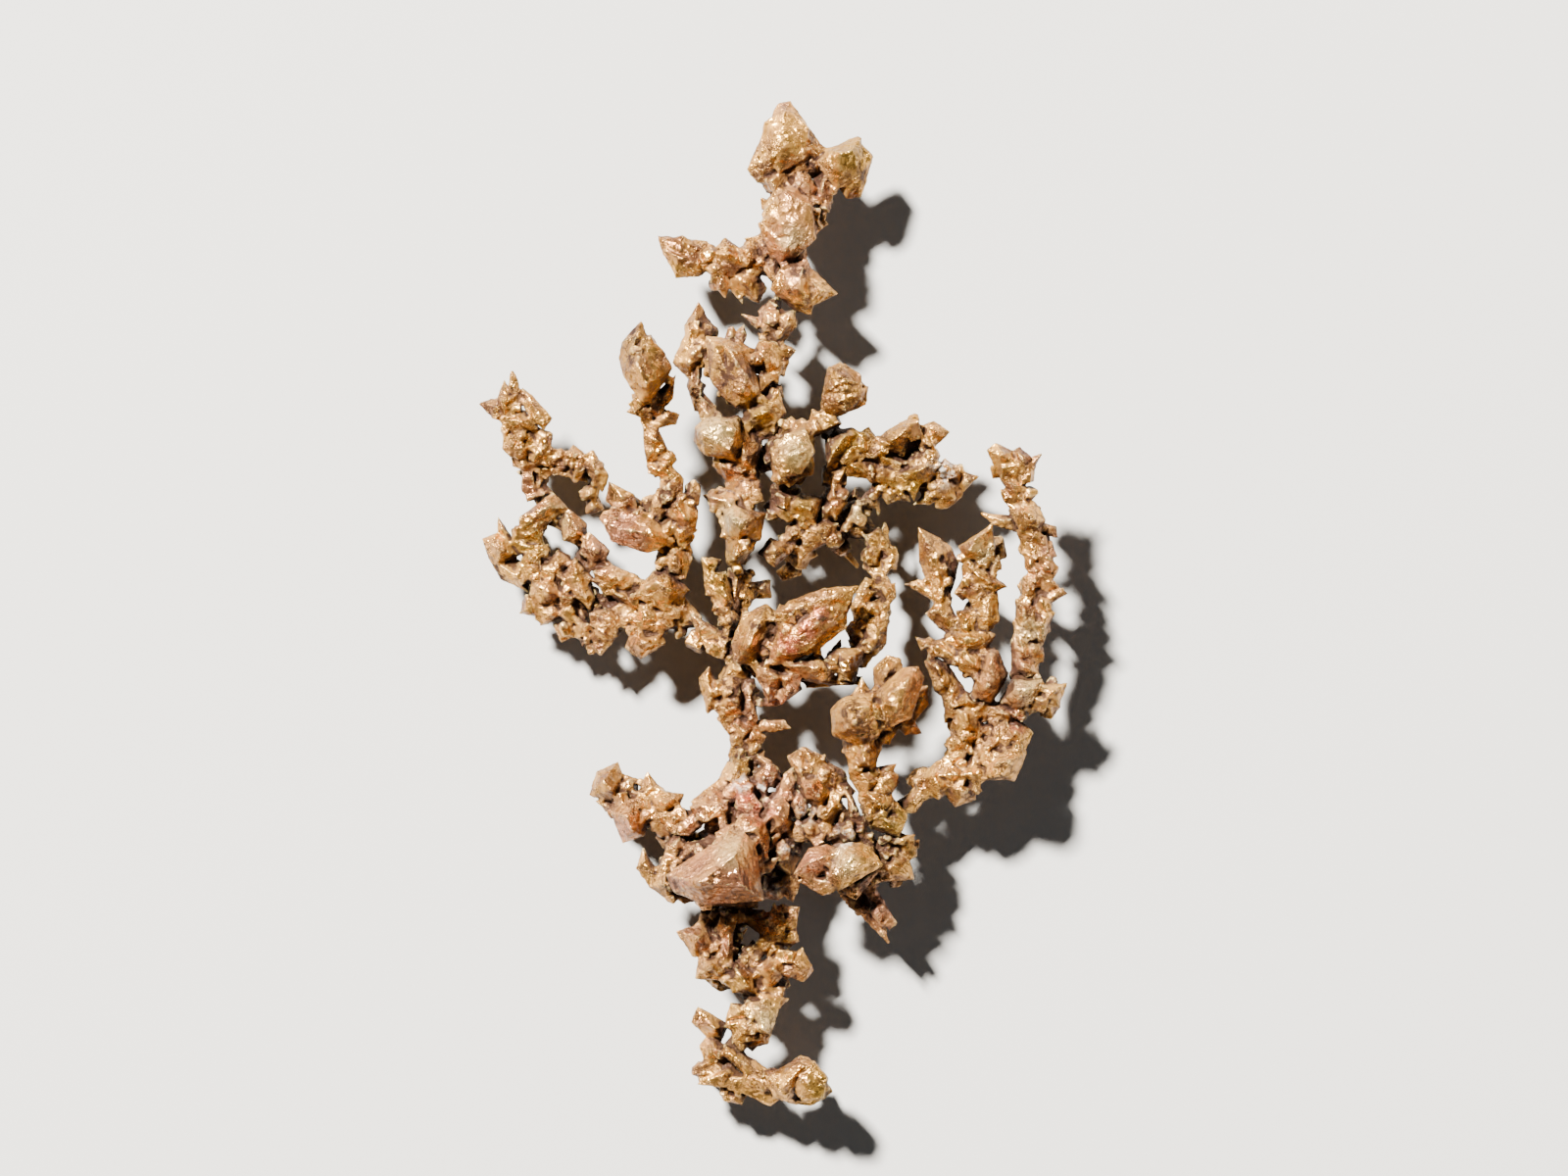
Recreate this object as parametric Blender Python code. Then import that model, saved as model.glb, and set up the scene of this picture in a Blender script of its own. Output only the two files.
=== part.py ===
"""Arborescent native copper: one grown tree of crystals, lying on its back.

The crystals grow along a trunk and its forks. Each fork is its own solid, made of
faceted crystals joined in one body, and it stands clear of the forks beside it by
NODE_GAP. Run it with blender --background --python part.py, or from the text editor.
"""
import math
import random

import bmesh
import bpy
from mathutils import Matrix, Vector

# Driving dimensions, in metres.
MM = 0.001
TREE_LENGTH = 80.0 * MM      # foot to crown, along +Y
NODE_GAP = 0.30 * MM         # between one fork's solid and the next
WELD = 0.0005 * MM           # vertices closer than this are one vertex
SLIVER = 0.004 * MM          # a finished body has no edge or triangle thinner than this
DETAIL = 0.28                # the share of the joined crystals' triangles that is kept
LEAST_ROOT = 0.30 * MM       # how far a root reaches into the crystals that it joins

# The outlines below are drawn on a tree this many units long, so a unit is a millimetre
# while TREE_LENGTH is 80 mm.
DRAWN_LENGTH = 80.0
UNIT = TREE_LENGTH / DRAWN_LENGTH

# How a crystal is cut, as shares of its own half width.
ROOF = 0.85                  # the ridge above the girdle
KEEL = 0.80                  # the ridge below it
WALL = 0.26                  # half the height of a large crystal's straight wall
BIG = 7.0                    # square units: larger outlines have a wall
OVERLAP = 1.14               # each outline reaches this far into its neighbours
UNEVEN = 0.18                # how far the girdle's corners rise and fall
NUB_SIZE = 1.4               # a nub's girdle, as a share of the width it is drawn with

# How far the whole tree is let down, so that its lowest twigs are worn by the ground.
SETTLE = 3.0

# The crust of small crystals on the back of each stem.
CRUST_LEAST = 1.0
CRUST_MOST = 1.9

SEED = 29
DRAWS = 16                   # a fork whose crystals only just touch is drawn again
METAL = 0.80
ROUGHNESS = 0.42


def gem(rise, outline, ridge=None, up=None, down=None):
    """A crystal seen from the front: its outline, and how far it stands forward."""
    return {"kind": "gem", "rise": rise, "outline": outline, "ridge": ridge,
            "up": up, "down": down}


def spear(root, tip, width, flat=0.8):
    """A long crystal from root to tip, each (x, y, rise), with a pointed end."""
    return {"kind": "spear", "root": root, "tip": tip, "width": width, "flat": flat}


def nub(x, y, rise, width):
    """A small equant crystal."""
    return {"kind": "nub", "place": (x, y, rise), "width": width}


def spur(x, y, rise, lean_x, lean_y, width, depth=None):
    """A short twig that grows back from the fork, to the ground if no depth is given."""
    return {"kind": "spur", "place": (x, y, rise), "lean": (lean_x, lean_y),
            "width": width, "depth": depth}


# Each fork: the plane that it grows in, as a point (x, y, z) and the rise of z along
# x and y, then the route of its stem as (x, y, radius), then its crystals. All in mm.

def foot_hook():
    """The foot, which curls to a blunt crystal on the right."""
    plane = (-2.0, -36.0, 8.0, 0.18, -0.05)
    stem = [(-2.4, -34.6, 0.9), (-3.6, -35.8, 0.9), (-4.6, -36.6, 0.9), (-3.2, -38.0, 0.9),
            (-0.6, -38.4, 1.0), (2.2, -38.0, 1.2)]
    crystals = [
        gem(0.6, [(-6.4, -32.8), (-5.9, -32.1), (-4.2, -33.0), (-3.6, -33.6), (-4.1, -34.7),
                  (-4.9, -34.7), (-6.0, -33.9)], [(-5.2, -33.6), (-4.2, -33.8)], 1.5),
        gem(0.4, [(-5.8, -35.2), (-5.4, -34.6), (-4.6, -34.5), (-3.9, -35.2), (-4.1, -36.3),
                  (-4.8, -36.9), (-5.6, -36.6)]),
        gem(0.2, [(-6.0, -37.5), (-5.6, -36.8), (-5.0, -37.0), (-5.1, -37.8), (-5.6, -38.1)]),
        gem(0.9, [(-4.2, -35.0), (-3.2, -35.1), (-1.6, -36.2), (-0.1, -37.1), (-0.2, -37.8),
                  (-1.5, -37.7), (-2.8, -37.0), (-3.9, -35.9)],
            [(-3.4, -35.8), (-0.9, -37.3)], 1.0),
        gem(0.5, [(-5.1, -37.3), (-3.2, -36.6), (-2.5, -37.1), (-3.0, -37.9), (-4.2, -38.4),
                  (-5.9, -38.2)], [(-4.6, -37.6), (-3.3, -37.2)], 1.2),
        gem(-0.4, [(-4.3, -38.3), (-3.2, -37.9), (-2.0, -37.8), (-2.4, -38.7), (-3.2, -39.0),
                   (-3.9, -38.9)]),
        gem(-0.6, [(-4.4, -39.0), (-3.9, -38.7), (-2.0, -39.0), (-2.3, -39.7), (-3.0, -39.85),
                   (-3.9, -39.6)]),
        gem(0.0, [(-2.6, -38.2), (-1.3, -38.5), (0.5, -38.8), (0.9, -39.6), (0.0, -39.95),
                  (-1.0, -39.7), (-2.0, -39.3)], [(-1.2, -38.9), (0.0, -39.3)], 0.8),
        gem(0.9, [(-1.4, -38.0), (-1.0, -37.6), (-0.3, -37.6), (0.1, -38.3), (-0.1, -38.9),
                  (-0.8, -38.9)]),
        gem(1.0, [(-0.3, -37.6), (0.7, -37.0), (2.1, -36.1), (2.7, -36.15), (3.3, -36.7),
                  (2.7, -38.0), (1.2, -39.4), (0.2, -39.1), (-0.1, -38.3)],
            [(2.3, -36.8), (0.9, -38.3)], 1.3),
        gem(0.8, [(2.5, -36.2), (4.1, -37.25), (4.7, -38.4), (4.4, -39.1), (3.6, -39.4),
                  (2.6, -38.6), (2.2, -37.4)], [(3.2, -37.0), (3.9, -38.2)], 1.3),
        gem(-0.5, [(1.2, -39.5), (2.2, -38.8), (3.3, -38.5), (4.2, -39.3), (3.0, -39.9),
                   (1.7, -39.9)]),
        spur(-4.4, -37.3, -0.4, -0.2, 0.1, 2.3),
        spur(2.6, -38.0, -0.4, 0.1, 0.0, 2.1, 3.4),
    ]
    return plane, stem, crystals


def lower_stem():
    """The stem between the foot and the hub, ringed by blocky crystals."""
    plane = (-2.0, -30.0, 8.6, 0.02, 0.06)
    stem = [(-1.4, -34.6, 1.0), (-1.2, -32.6, 1.0), (-0.9, -31.0, 0.9), (-2.1, -30.0, 0.9),
            (-3.3, -28.2, 0.8), (-3.7, -26.0, 0.8), (-3.4, -24.4, 0.9)]
    crystals = [
        gem(0.8, [(-1.8, -32.0), (0.0, -31.9), (0.45, -32.3), (0.1, -33.2), (-0.2, -34.2),
                  (-1.2, -34.3), (-1.8, -32.9)], [(-0.9, -32.4), (-0.8, -33.8)], 1.2),
        gem(0.5, [(-1.6, -34.1), (-0.2, -34.1), (-0.3, -34.9), (-0.9, -35.3), (-1.8, -35.5),
                  (-2.3, -35.0)], [(-1.4, -34.4), (-0.8, -34.8)], 0.9),
        gem(0.9, [(-3.7, -33.1), (-3.5, -32.0), (-3.0, -31.6), (-2.2, -31.7), (-1.6, -32.4),
                  (-1.7, -33.2), (-3.0, -33.4)], [(-2.9, -32.3), (-2.2, -32.6)], 1.2),
        gem(0.8, [(-3.4, -33.4), (-1.8, -33.3), (-1.5, -34.2), (-1.8, -34.9), (-2.6, -35.0),
                  (-3.4, -34.6)], [(-2.8, -33.9), (-2.1, -34.3)], 1.0),
        gem(0.3, [(-2.5, -31.1), (-1.3, -30.9), (-1.2, -32.0), (-2.0, -32.2)]),
        gem(0.8, [(-1.6, -31.0), (-0.4, -30.7), (0.6, -31.0), (0.4, -32.2), (-0.6, -31.9),
                  (-1.4, -31.8)]),
        gem(0.3, [(0.2, -31.0), (1.3, -31.3), (1.0, -31.8), (0.4, -32.3), (0.0, -31.6)]),
        gem(0.4, [(-1.2, -30.1), (0.3, -29.9), (0.9, -30.5), (0.4, -30.9), (-1.2, -31.0)]),
        gem(-0.9, [(0.2, -29.8), (1.2, -29.7), (1.4, -30.4), (0.6, -30.8)]),
        gem(0.9, [(-1.2, -29.0), (-0.6, -28.2), (0.6, -28.0), (1.2, -28.3), (1.1, -29.5),
                  (0.3, -30.1), (-0.6, -30.2)], [(-0.2, -28.8), (0.3, -29.3)], 1.2),
        gem(0.6, [(1.0, -28.3), (2.2, -27.45), (2.7, -27.8), (3.2, -29.1), (2.6, -29.9),
                  (2.0, -29.8), (1.1, -29.4)], [(1.9, -28.3), (2.3, -29.0)], 1.2),
        gem(1.2, [(-3.5, -28.7), (-2.7, -28.4), (-1.8, -29.4), (-1.4, -30.9), (-2.4, -31.0),
                  (-3.3, -30.6)], [(-2.9, -29.0), (-2.0, -30.3)], 1.0),
        gem(0.9, [(-6.15, -29.3), (-5.9, -28.1), (-4.2, -27.9), (-3.4, -29.4), (-4.2, -30.1),
                  (-5.8, -29.9)], [(-5.2, -28.6), (-4.5, -28.9)], 1.2),
        gem(-0.5, [(-5.4, -29.9), (-3.9, -29.6), (-3.1, -30.3), (-3.9, -30.75), (-4.7, -30.7)]),
        gem(1.4, [(-4.2, -27.0), (-3.9, -25.8), (-3.2, -25.3), (-3.1, -26.6), (-3.2, -28.2),
                  (-3.6, -28.9), (-4.2, -28.4)], [(-3.6, -26.0), (-3.6, -28.0)], 0.9),
        gem(0.3, [(-5.1, -25.3), (-4.4, -25.0), (-3.8, -25.7), (-4.1, -26.8), (-4.6, -27.2),
                  (-5.0, -26.4)]),
        gem(0.6, [(-6.0, -25.3), (-5.8, -24.7), (-5.1, -24.4), (-4.7, -25.0), (-5.1, -25.8),
                  (-5.9, -25.8)]),
        gem(1.0, [(-7.6, -26.2), (-7.1, -25.8), (-6.0, -25.6), (-5.1, -25.8), (-4.7, -27.2),
                  (-5.2, -28.0), (-6.3, -27.9), (-6.9, -27.2)],
            [(-6.6, -26.5), (-5.6, -26.4)], 1.2),
        gem(0.4, [(-5.9, -24.3), (-5.3, -23.8), (-4.2, -24.0), (-4.3, -24.7), (-5.5, -24.7)]),
        gem(1.2, [(-4.4, -24.3), (-3.0, -23.9), (-2.3, -24.2), (-2.8, -25.2), (-3.4, -25.6),
                  (-4.1, -25.3)], [(-3.6, -24.4), (-3.2, -25.0)], 0.9),
        gem(0.7, [(-2.9, -24.8), (-2.1, -24.2), (-1.4, -24.3), (-0.8, -25.0), (-0.9, -26.0),
                  (-1.5, -25.9)], [(-2.1, -24.8), (-1.2, -25.4)], 0.8),
        gem(0.0, [(-3.2, -25.1), (-2.6, -24.9), (-2.4, -25.6), (-2.9, -26.8), (-3.4, -26.6)]),
        gem(-0.9, [(-2.9, -26.2), (-2.1, -25.5), (-1.8, -26.2), (-2.6, -27.5), (-3.4, -27.3)]),
        gem(1.2, [(-1.1, -25.2), (-0.8, -24.6), (0.3, -24.5), (0.9, -25.4), (0.8, -26.3),
                  (0.2, -27.0), (-0.8, -26.3)], [(-0.5, -25.1), (0.3, -26.0)], 1.0),
        gem(0.8, [(0.3, -25.2), (1.2, -24.8), (2.05, -24.9), (2.1, -25.3), (1.7, -25.9),
                  (0.8, -26.1)]),
        gem(0.9, [(0.6, -26.7), (1.1, -26.0), (1.9, -25.9), (2.1, -26.4), (1.9, -27.0),
                  (1.3, -27.3)]),
        gem(1.0, [(-1.1, -26.9), (-1.0, -26.2), (-0.4, -26.0), (0.3, -26.9), (-0.1, -27.4)]),
        gem(0.7, [(-0.7, -27.3), (0.2, -26.8), (0.9, -27.1), (0.5, -28.2), (-0.3, -28.1)]),
        nub(0.2, -24.3, 0.7, 0.9),
        nub(1.7, -24.5, 0.4, 0.9),
        gem(0.0, [(-2.4, -27.6), (-1.9, -26.9), (-1.5, -26.9), (-1.0, -27.6), (-0.8, -28.4),
                  (-1.4, -29.2), (-2.0, -28.9)], [(-1.9, -27.4), (-1.5, -28.2)], 0.8),
        nub(-1.3, -28.8, 0.4, 1.0),
        spur(-1.0, -30.4, -0.5, 0.3, 0.0, 1.6, 3.8),
    ]
    return plane, stem, crystals


def hub():
    """The hub, where the lower forks meet behind one large front crystal."""
    plane = (-2.0, -20.0, 8.8, 0.04, 0.0)
    stem = [(-3.4, -23.2, 1.1), (-3.2, -20.6, 1.5), (-2.4, -17.4, 1.5), (-2.3, -14.4, 1.1),
            (-2.4, -12.8, 0.8)]
    arms = [(-8.8, -21.4, 0.9), (-6.0, -20.0, 1.2), (-3.0, -18.0, 1.3), (-0.6, -17.6, 1.1),
            (1.2, -18.2, 0.9)]
    crystals = [
        gem(4.2, [(-8.0, -21.4), (-6.2, -20.1), (-4.0, -19.0), (-2.5, -18.4), (-1.7, -19.2),
                  (-1.3, -22.0), (-1.1, -23.2), (-3.4, -23.4), (-5.3, -23.5), (-7.4, -22.6)],
            [(-5.8, -21.6), (-3.0, -19.8), (-2.4, -22.2), (-5.0, -22.6)], 1.7, 3.4),
        gem(1.8, [(-5.3, -22.9), (-3.4, -22.6), (-1.2, -22.8), (-1.2, -23.8), (-3.0, -24.1),
                  (-4.8, -23.9)], None, 0.8, 1.6),
        gem(0.9, [(-10.8, -20.7), (-10.4, -19.5), (-9.9, -19.7), (-9.1, -20.9), (-9.2, -22.0),
                  (-9.9, -22.4), (-10.5, -21.6)], [(-10.2, -20.3), (-9.6, -21.6)], 1.0),
        gem(1.2, [(-9.4, -21.6), (-8.5, -20.8), (-7.8, -21.5), (-7.6, -22.6), (-8.1, -23.4),
                  (-8.9, -23.2), (-9.8, -22.6)], [(-8.7, -21.6), (-8.4, -22.6)], 1.0),
        gem(1.0, [(-9.0, -20.6), (-8.6, -19.7), (-7.9, -20.2), (-7.1, -20.0), (-7.2, -20.8),
                  (-7.9, -21.5)]),
        gem(0.9, [(-8.1, -23.0), (-7.4, -22.2), (-6.0, -23.0), (-5.8, -23.6), (-7.0, -23.8)]),
        gem(1.0, [(-7.2, -19.0), (-5.2, -18.5), (-4.4, -18.9), (-5.4, -19.8), (-7.2, -20.2)]),
        gem(0.0, [(-6.2, -18.4), (-4.4, -17.2), (-3.6, -17.6), (-4.4, -19.2), (-6.0, -19.4)]),
        gem(1.1, [(-6.6, -15.9), (-5.4, -14.7), (-3.2, -13.0), (-2.9, -13.8), (-3.6, -14.9),
                  (-5.4, -16.0), (-6.4, -16.4)], [(-5.2, -15.3), (-3.6, -14.0)], 0.9),
        gem(1.7, [(-6.4, -16.1), (-5.2, -15.4), (-3.5, -15.3), (-2.9, -16.3), (-3.2, -17.3),
                  (-5.0, -17.5), (-6.0, -17.0)], [(-5.4, -16.0), (-3.6, -16.2)], 1.1),
        gem(2.4, [(-4.4, -18.2), (-3.6, -17.7), (-1.6, -16.7), (-0.8, -17.3), (-0.4, -18.6),
                  (-0.5, -19.6), (-2.6, -19.4), (-4.2, -18.9)],
            [(-3.0, -18.0), (-1.3, -17.7)], 1.2),
        gem(1.0, [(-3.3, -12.9), (-3.1, -12.1), (-2.2, -11.95), (-1.6, -12.6), (-1.6, -13.8),
                  (-2.2, -14.3), (-3.0, -14.0)], [(-2.8, -12.6), (-2.1, -13.4)], 1.0),
        gem(1.4, [(-1.5, -13.5), (-0.4, -12.6), (-0.1, -13.3), (0.1, -13.9), (-0.5, -14.7),
                  (-1.3, -14.5)], [(-0.9, -13.3), (-0.5, -14.0)], 1.0),
        gem(0.6, [(-1.3, -11.9), (-0.4, -12.2), (0.3, -12.9), (0.9, -13.7), (0.1, -14.6),
                  (-0.5, -13.6)]),
        gem(0.6, [(-3.5, -14.7), (-1.8, -14.6), (-0.4, -15.3), (-0.3, -16.3), (-1.6, -16.8),
                  (-2.9, -16.1)], [(-2.6, -15.2), (-1.0, -15.8)], 0.7),
        spear((-3.6, -14.0, 1.3), (-2.0, -14.9, 1.5), 0.6),
        spear((-1.8, -14.4, 1.3), (0.0, -15.1, 1.5), 0.6),
        gem(1.3, [(-0.1, -15.3), (0.3, -14.4), (1.0, -13.6), (1.3, -14.0), (1.3, -15.0),
                  (1.1, -15.8), (0.2, -15.9)], [(0.7, -14.3), (0.5, -15.2)], 0.9),
        gem(1.9, [(-0.7, -16.6), (0.0, -15.8), (1.2, -15.6), (1.5, -16.5), (1.6, -17.2),
                  (0.9, -18.0), (0.0, -18.0), (-0.5, -17.3)], [(0.2, -16.4), (0.9, -17.2)], 1.2),
        gem(1.2, [(0.7, -18.0), (1.6, -16.9), (2.0, -17.3), (2.0, -18.3), (1.5, -18.7)]),
        gem(1.6, [(-0.6, -18.4), (0.3, -17.9), (0.9, -18.7), (0.3, -19.4), (-0.3, -19.3)]),
        gem(0.4, [(0.5, -19.2), (1.4, -18.5), (2.4, -18.9), (2.2, -19.9), (1.0, -20.0)]),
        gem(2.6, [(-1.3, -18.6), (-0.5, -18.7), (-0.3, -20.2), (-1.3, -20.6)]),
        gem(1.8, [(-1.8, -20.2), (-0.6, -20.2), (0.5, -20.1), (0.1, -20.9), (-0.4, -21.4),
                  (-1.2, -21.6)]),
        gem(-1.6, [(-1.6, -21.2), (0.1, -20.9), (0.8, -22.3), (0.4, -23.4), (-0.9, -23.4)],
            None, 1.0, 1.4),
        gem(-1.2, [(0.0, -20.4), (1.7, -20.2), (2.2, -22.0), (1.6, -23.6), (0.4, -22.8)]),
        spur(-6.2, -20.6, -0.2, -0.1, 0.2, 2.8),
        spur(-1.2, -16.2, -0.4, 0.1, 0.1, 2.6, 4.6),
    ]
    return plane, [stem, arms], crystals


def lower_left_branch():
    """The short branch on the lower left."""
    plane = (-8.0, -17.0, 8.4, 0.28, 0.0)
    stem = [(-6.6, -17.2, 0.8), (-8.4, -17.0, 0.9), (-10.2, -15.9, 1.0), (-12.0, -15.4, 1.0),
            (-13.2, -14.4, 1.0)]
    crystals = [
        gem(0.8, [(-14.55, -14.9), (-14.0, -13.4), (-12.7, -12.65), (-12.3, -12.8),
                  (-12.0, -13.8), (-12.1, -15.4), (-12.9, -15.7), (-14.2, -15.3)],
            [(-13.5, -14.0), (-12.8, -14.8)], 1.5),
        gem(0.4, [(-14.15, -15.6), (-13.0, -15.4), (-12.2, -15.9), (-12.6, -16.7),
                  (-13.5, -16.3)]),
        gem(0.4, [(-12.2, -13.9), (-11.7, -13.4), (-11.1, -13.9), (-11.1, -14.7),
                  (-11.7, -15.0)]),
        gem(0.3, [(-11.4, -13.8), (-11.0, -13.55), (-10.5, -13.9), (-10.7, -14.8),
                  (-11.3, -15.0)]),
        gem(0.8, [(-10.9, -15.3), (-10.4, -13.9), (-9.9, -13.25), (-9.4, -13.7),
                  (-9.6, -15.2), (-10.5, -15.8)], [(-10.0, -13.9), (-10.2, -15.0)], 1.0),
        gem(0.8, [(-9.8, -14.2), (-9.3, -13.95), (-8.8, -14.6), (-9.1, -15.4), (-9.8, -15.4)]),
        gem(1.2, [(-9.8, -15.3), (-8.8, -14.55), (-7.3, -14.95), (-7.3, -15.5), (-7.7, -16.2),
                  (-8.5, -16.6), (-9.4, -16.3)], [(-8.4, -15.2), (-8.6, -15.9)], 1.1),
        gem(1.3, [(-12.7, -16.7), (-12.3, -15.8), (-11.2, -15.6), (-9.8, -16.7),
                  (-10.3, -18.2), (-11.4, -18.85), (-12.2, -18.4)],
            [(-11.6, -16.8), (-11.2, -17.9)], 1.4),
        gem(1.5, [(-11.8, -15.6), (-11.0, -15.2), (-10.0, -15.3), (-9.2, -16.2),
                  (-9.6, -17.0), (-10.9, -16.4)], [(-10.8, -15.8), (-9.8, -16.2)], 0.9),
        gem(0.9, [(-9.9, -17.2), (-9.2, -16.6), (-8.3, -16.7), (-7.9, -17.3), (-8.2, -18.0),
                  (-9.0, -18.3), (-9.7, -18.0)], [(-9.2, -17.1), (-8.5, -17.4)], 0.8),
        gem(0.9, [(-8.5, -16.6), (-7.4, -16.2), (-6.1, -16.5), (-6.0, -17.7), (-7.0, -18.0),
                  (-8.0, -17.9)], [(-7.8, -16.9), (-6.6, -17.1)], 1.0),
        gem(0.2, [(-8.8, -17.9), (-7.6, -17.7), (-6.5, -18.2), (-7.0, -19.0), (-8.0, -19.0)]),
        gem(-0.2, [(-9.3, -18.5), (-8.6, -18.0), (-7.2, -18.8), (-7.2, -19.8), (-7.9, -20.3),
                   (-8.6, -19.8)]),
        spur(-12.2, -15.0, -0.4, -0.1, 0.1, 2.2, 3.6),
    ]
    return plane, stem, crystals


def middle_trunk():
    """The trunk between the hub and the leaf crystals."""
    plane = (-2.0, -5.0, 9.0, 0.0, 0.03)
    stem = [(-2.4, -12.0, 0.75), (-2.0, -10.0, 0.8), (-2.6, -7.4, 1.0), (-2.7, -4.6, 1.0),
            (-2.9, -2.4, 0.9), (-3.2, 0.0, 0.9), (-2.9, 2.6, 0.9)]
    crystals = [
        gem(0.3, [(-3.5, -12.0), (-3.3, -11.2), (-2.0, -10.9), (-1.4, -11.5), (-1.8, -12.3),
                  (-3.2, -12.4)]),
        gem(0.5, [(-3.5, -10.8), (-3.2, -10.0), (-2.6, -9.8), (-2.1, -10.6), (-2.5, -11.4),
                  (-3.3, -11.3)]),
        gem(0.6, [(-2.2, -10.9), (-1.6, -9.8), (-0.7, -10.3), (-0.55, -10.8), (-1.0, -11.4),
                  (-1.7, -11.4)], [(-1.6, -10.4), (-1.2, -11.0)], 0.8),
        gem(0.6, [(-1.4, -9.2), (0.3, -9.05), (1.2, -9.35), (1.4, -9.7), (0.9, -10.0),
                  (-0.3, -10.15), (-1.3, -9.9)], [(-0.4, -9.5), (0.7, -9.6)], 0.6),
        gem(0.4, [(-4.5, -8.9), (-3.7, -8.8), (-3.0, -9.5), (-3.4, -10.3), (-3.9, -9.9)]),
        gem(0.4, [(-3.2, -9.2), (-2.2, -8.9), (-1.2, -9.3), (-1.6, -10.2), (-2.9, -10.2)]),
        gem(1.0, [(-5.85, -5.9), (-5.4, -5.1), (-5.0, -5.0), (-4.7, -5.3), (-4.3, -6.8),
                  (-4.6, -8.3), (-5.2, -8.5), (-5.5, -7.5)], [(-5.2, -5.7), (-4.9, -7.2)], 0.9),
        gem(1.1, [(-3.6, -5.2), (-2.9, -5.3), (-3.2, -6.6), (-3.8, -7.5), (-4.4, -7.2),
                  (-4.2, -6.1)], [(-3.4, -5.7), (-3.9, -6.9)], 0.8),
        gem(0.7, [(-4.7, -8.2), (-4.2, -7.2), (-3.0, -6.2), (-2.2, -7.4), (-2.2, -8.9),
                  (-3.9, -9.1)], [(-3.6, -7.6), (-2.8, -7.6)], 1.1),
        gem(1.0, [(-2.3, -6.0), (-1.5, -5.9), (-1.35, -7.0), (-1.35, -8.2), (-1.2, -9.0),
                  (-2.3, -9.0), (-2.5, -7.5)], [(-1.9, -6.6), (-1.8, -8.2)], 0.9),
        gem(1.0, [(-3.5, -5.0), (-3.1, -4.2), (-1.9, -4.4), (-1.5, -5.0), (-2.0, -5.9),
                  (-2.9, -5.8)], [(-2.8, -4.8), (-2.2, -5.2)], 0.9),
        gem(0.6, [(-5.0, -3.3), (-4.2, -3.5), (-3.3, -3.2), (-3.0, -4.0), (-3.3, -4.7),
                  (-4.2, -4.1)]),
        gem(0.8, [(-4.8, -2.8), (-3.9, -2.3), (-3.2, -2.6), (-3.2, -3.3), (-4.4, -3.6)]),
        gem(0.9, [(-6.65, -0.8), (-6.1, -0.7), (-4.7, -1.8), (-3.8, -2.2), (-3.8, -2.6),
                  (-4.8, -3.0), (-5.8, -2.6)], [(-5.6, -1.5), (-4.5, -2.3)], 0.8),
        gem(0.3, [(-6.0, -2.3), (-5.2, -2.2), (-4.6, -2.9), (-5.2, -3.5), (-6.0, -3.0)]),
        gem(0.1, [(-6.45, -3.3), (-5.9, -2.8), (-4.9, -3.1), (-5.3, -3.7), (-6.0, -3.75)]),
        nub(-6.5, -2.6, -0.1, 0.8),
        gem(1.0, [(-3.9, -0.6), (-3.3, -0.4), (-2.55, -1.2), (-2.8, -1.8), (-3.3, -2.2),
                  (-4.0, -1.9), (-4.3, -1.4)], [(-3.4, -1.0), (-3.5, -1.6)], 1.0),
        gem(0.8, [(-4.8, 0.6), (-4.2, 0.1), (-3.5, -0.1), (-3.7, -0.8), (-4.3, -0.8)]),
        gem(1.0, [(-5.75, 3.5), (-5.3, 3.95), (-4.7, 3.7), (-4.6, 2.2), (-4.7, 1.0),
                  (-5.2, 0.8), (-5.6, 2.0)], [(-5.2, 3.2), (-5.0, 1.6)], 0.9),
        gem(1.3, [(-4.8, 2.5), (-4.0, 2.65), (-3.5, 2.3), (-3.15, 1.0), (-3.1, 0.0),
                  (-3.9, -0.1), (-4.7, 0.8)], [(-4.1, 2.0), (-3.7, 0.7)], 1.1),
        gem(0.6, [(-5.0, 3.8), (-4.3, 3.75), (-4.0, 3.3), (-4.3, 2.5), (-4.8, 2.6)]),
        gem(-0.4, [(-3.1, 2.0), (-1.9, 1.5), (-1.6, 0.9), (-1.7, 0.1), (-2.4, -0.5),
                   (-3.2, 0.0)], [(-2.5, 1.4), (-2.3, 0.4)], 0.8),
        gem(-0.2, [(-2.6, 2.1), (-1.75, 2.0), (-1.65, 1.5), (-2.3, 1.3)]),
        gem(-0.1, [(-3.5, 3.1), (-2.3, 3.0), (-2.1, 2.4), (-2.6, 2.1), (-3.3, 2.3)]),
        nub(-1.7, 2.6, -0.4, 0.7),
        gem(-1.6, [(-1.9, 1.8), (-0.4, 2.05), (-0.05, 1.6), (0.0, 0.9), (-0.6, 0.5),
                   (-1.9, 0.6)]),
        spur(-3.0, -7.0, -0.2, 0.2, 0.0, 1.8, 3.2),
    ]
    return plane, stem, crystals


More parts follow.
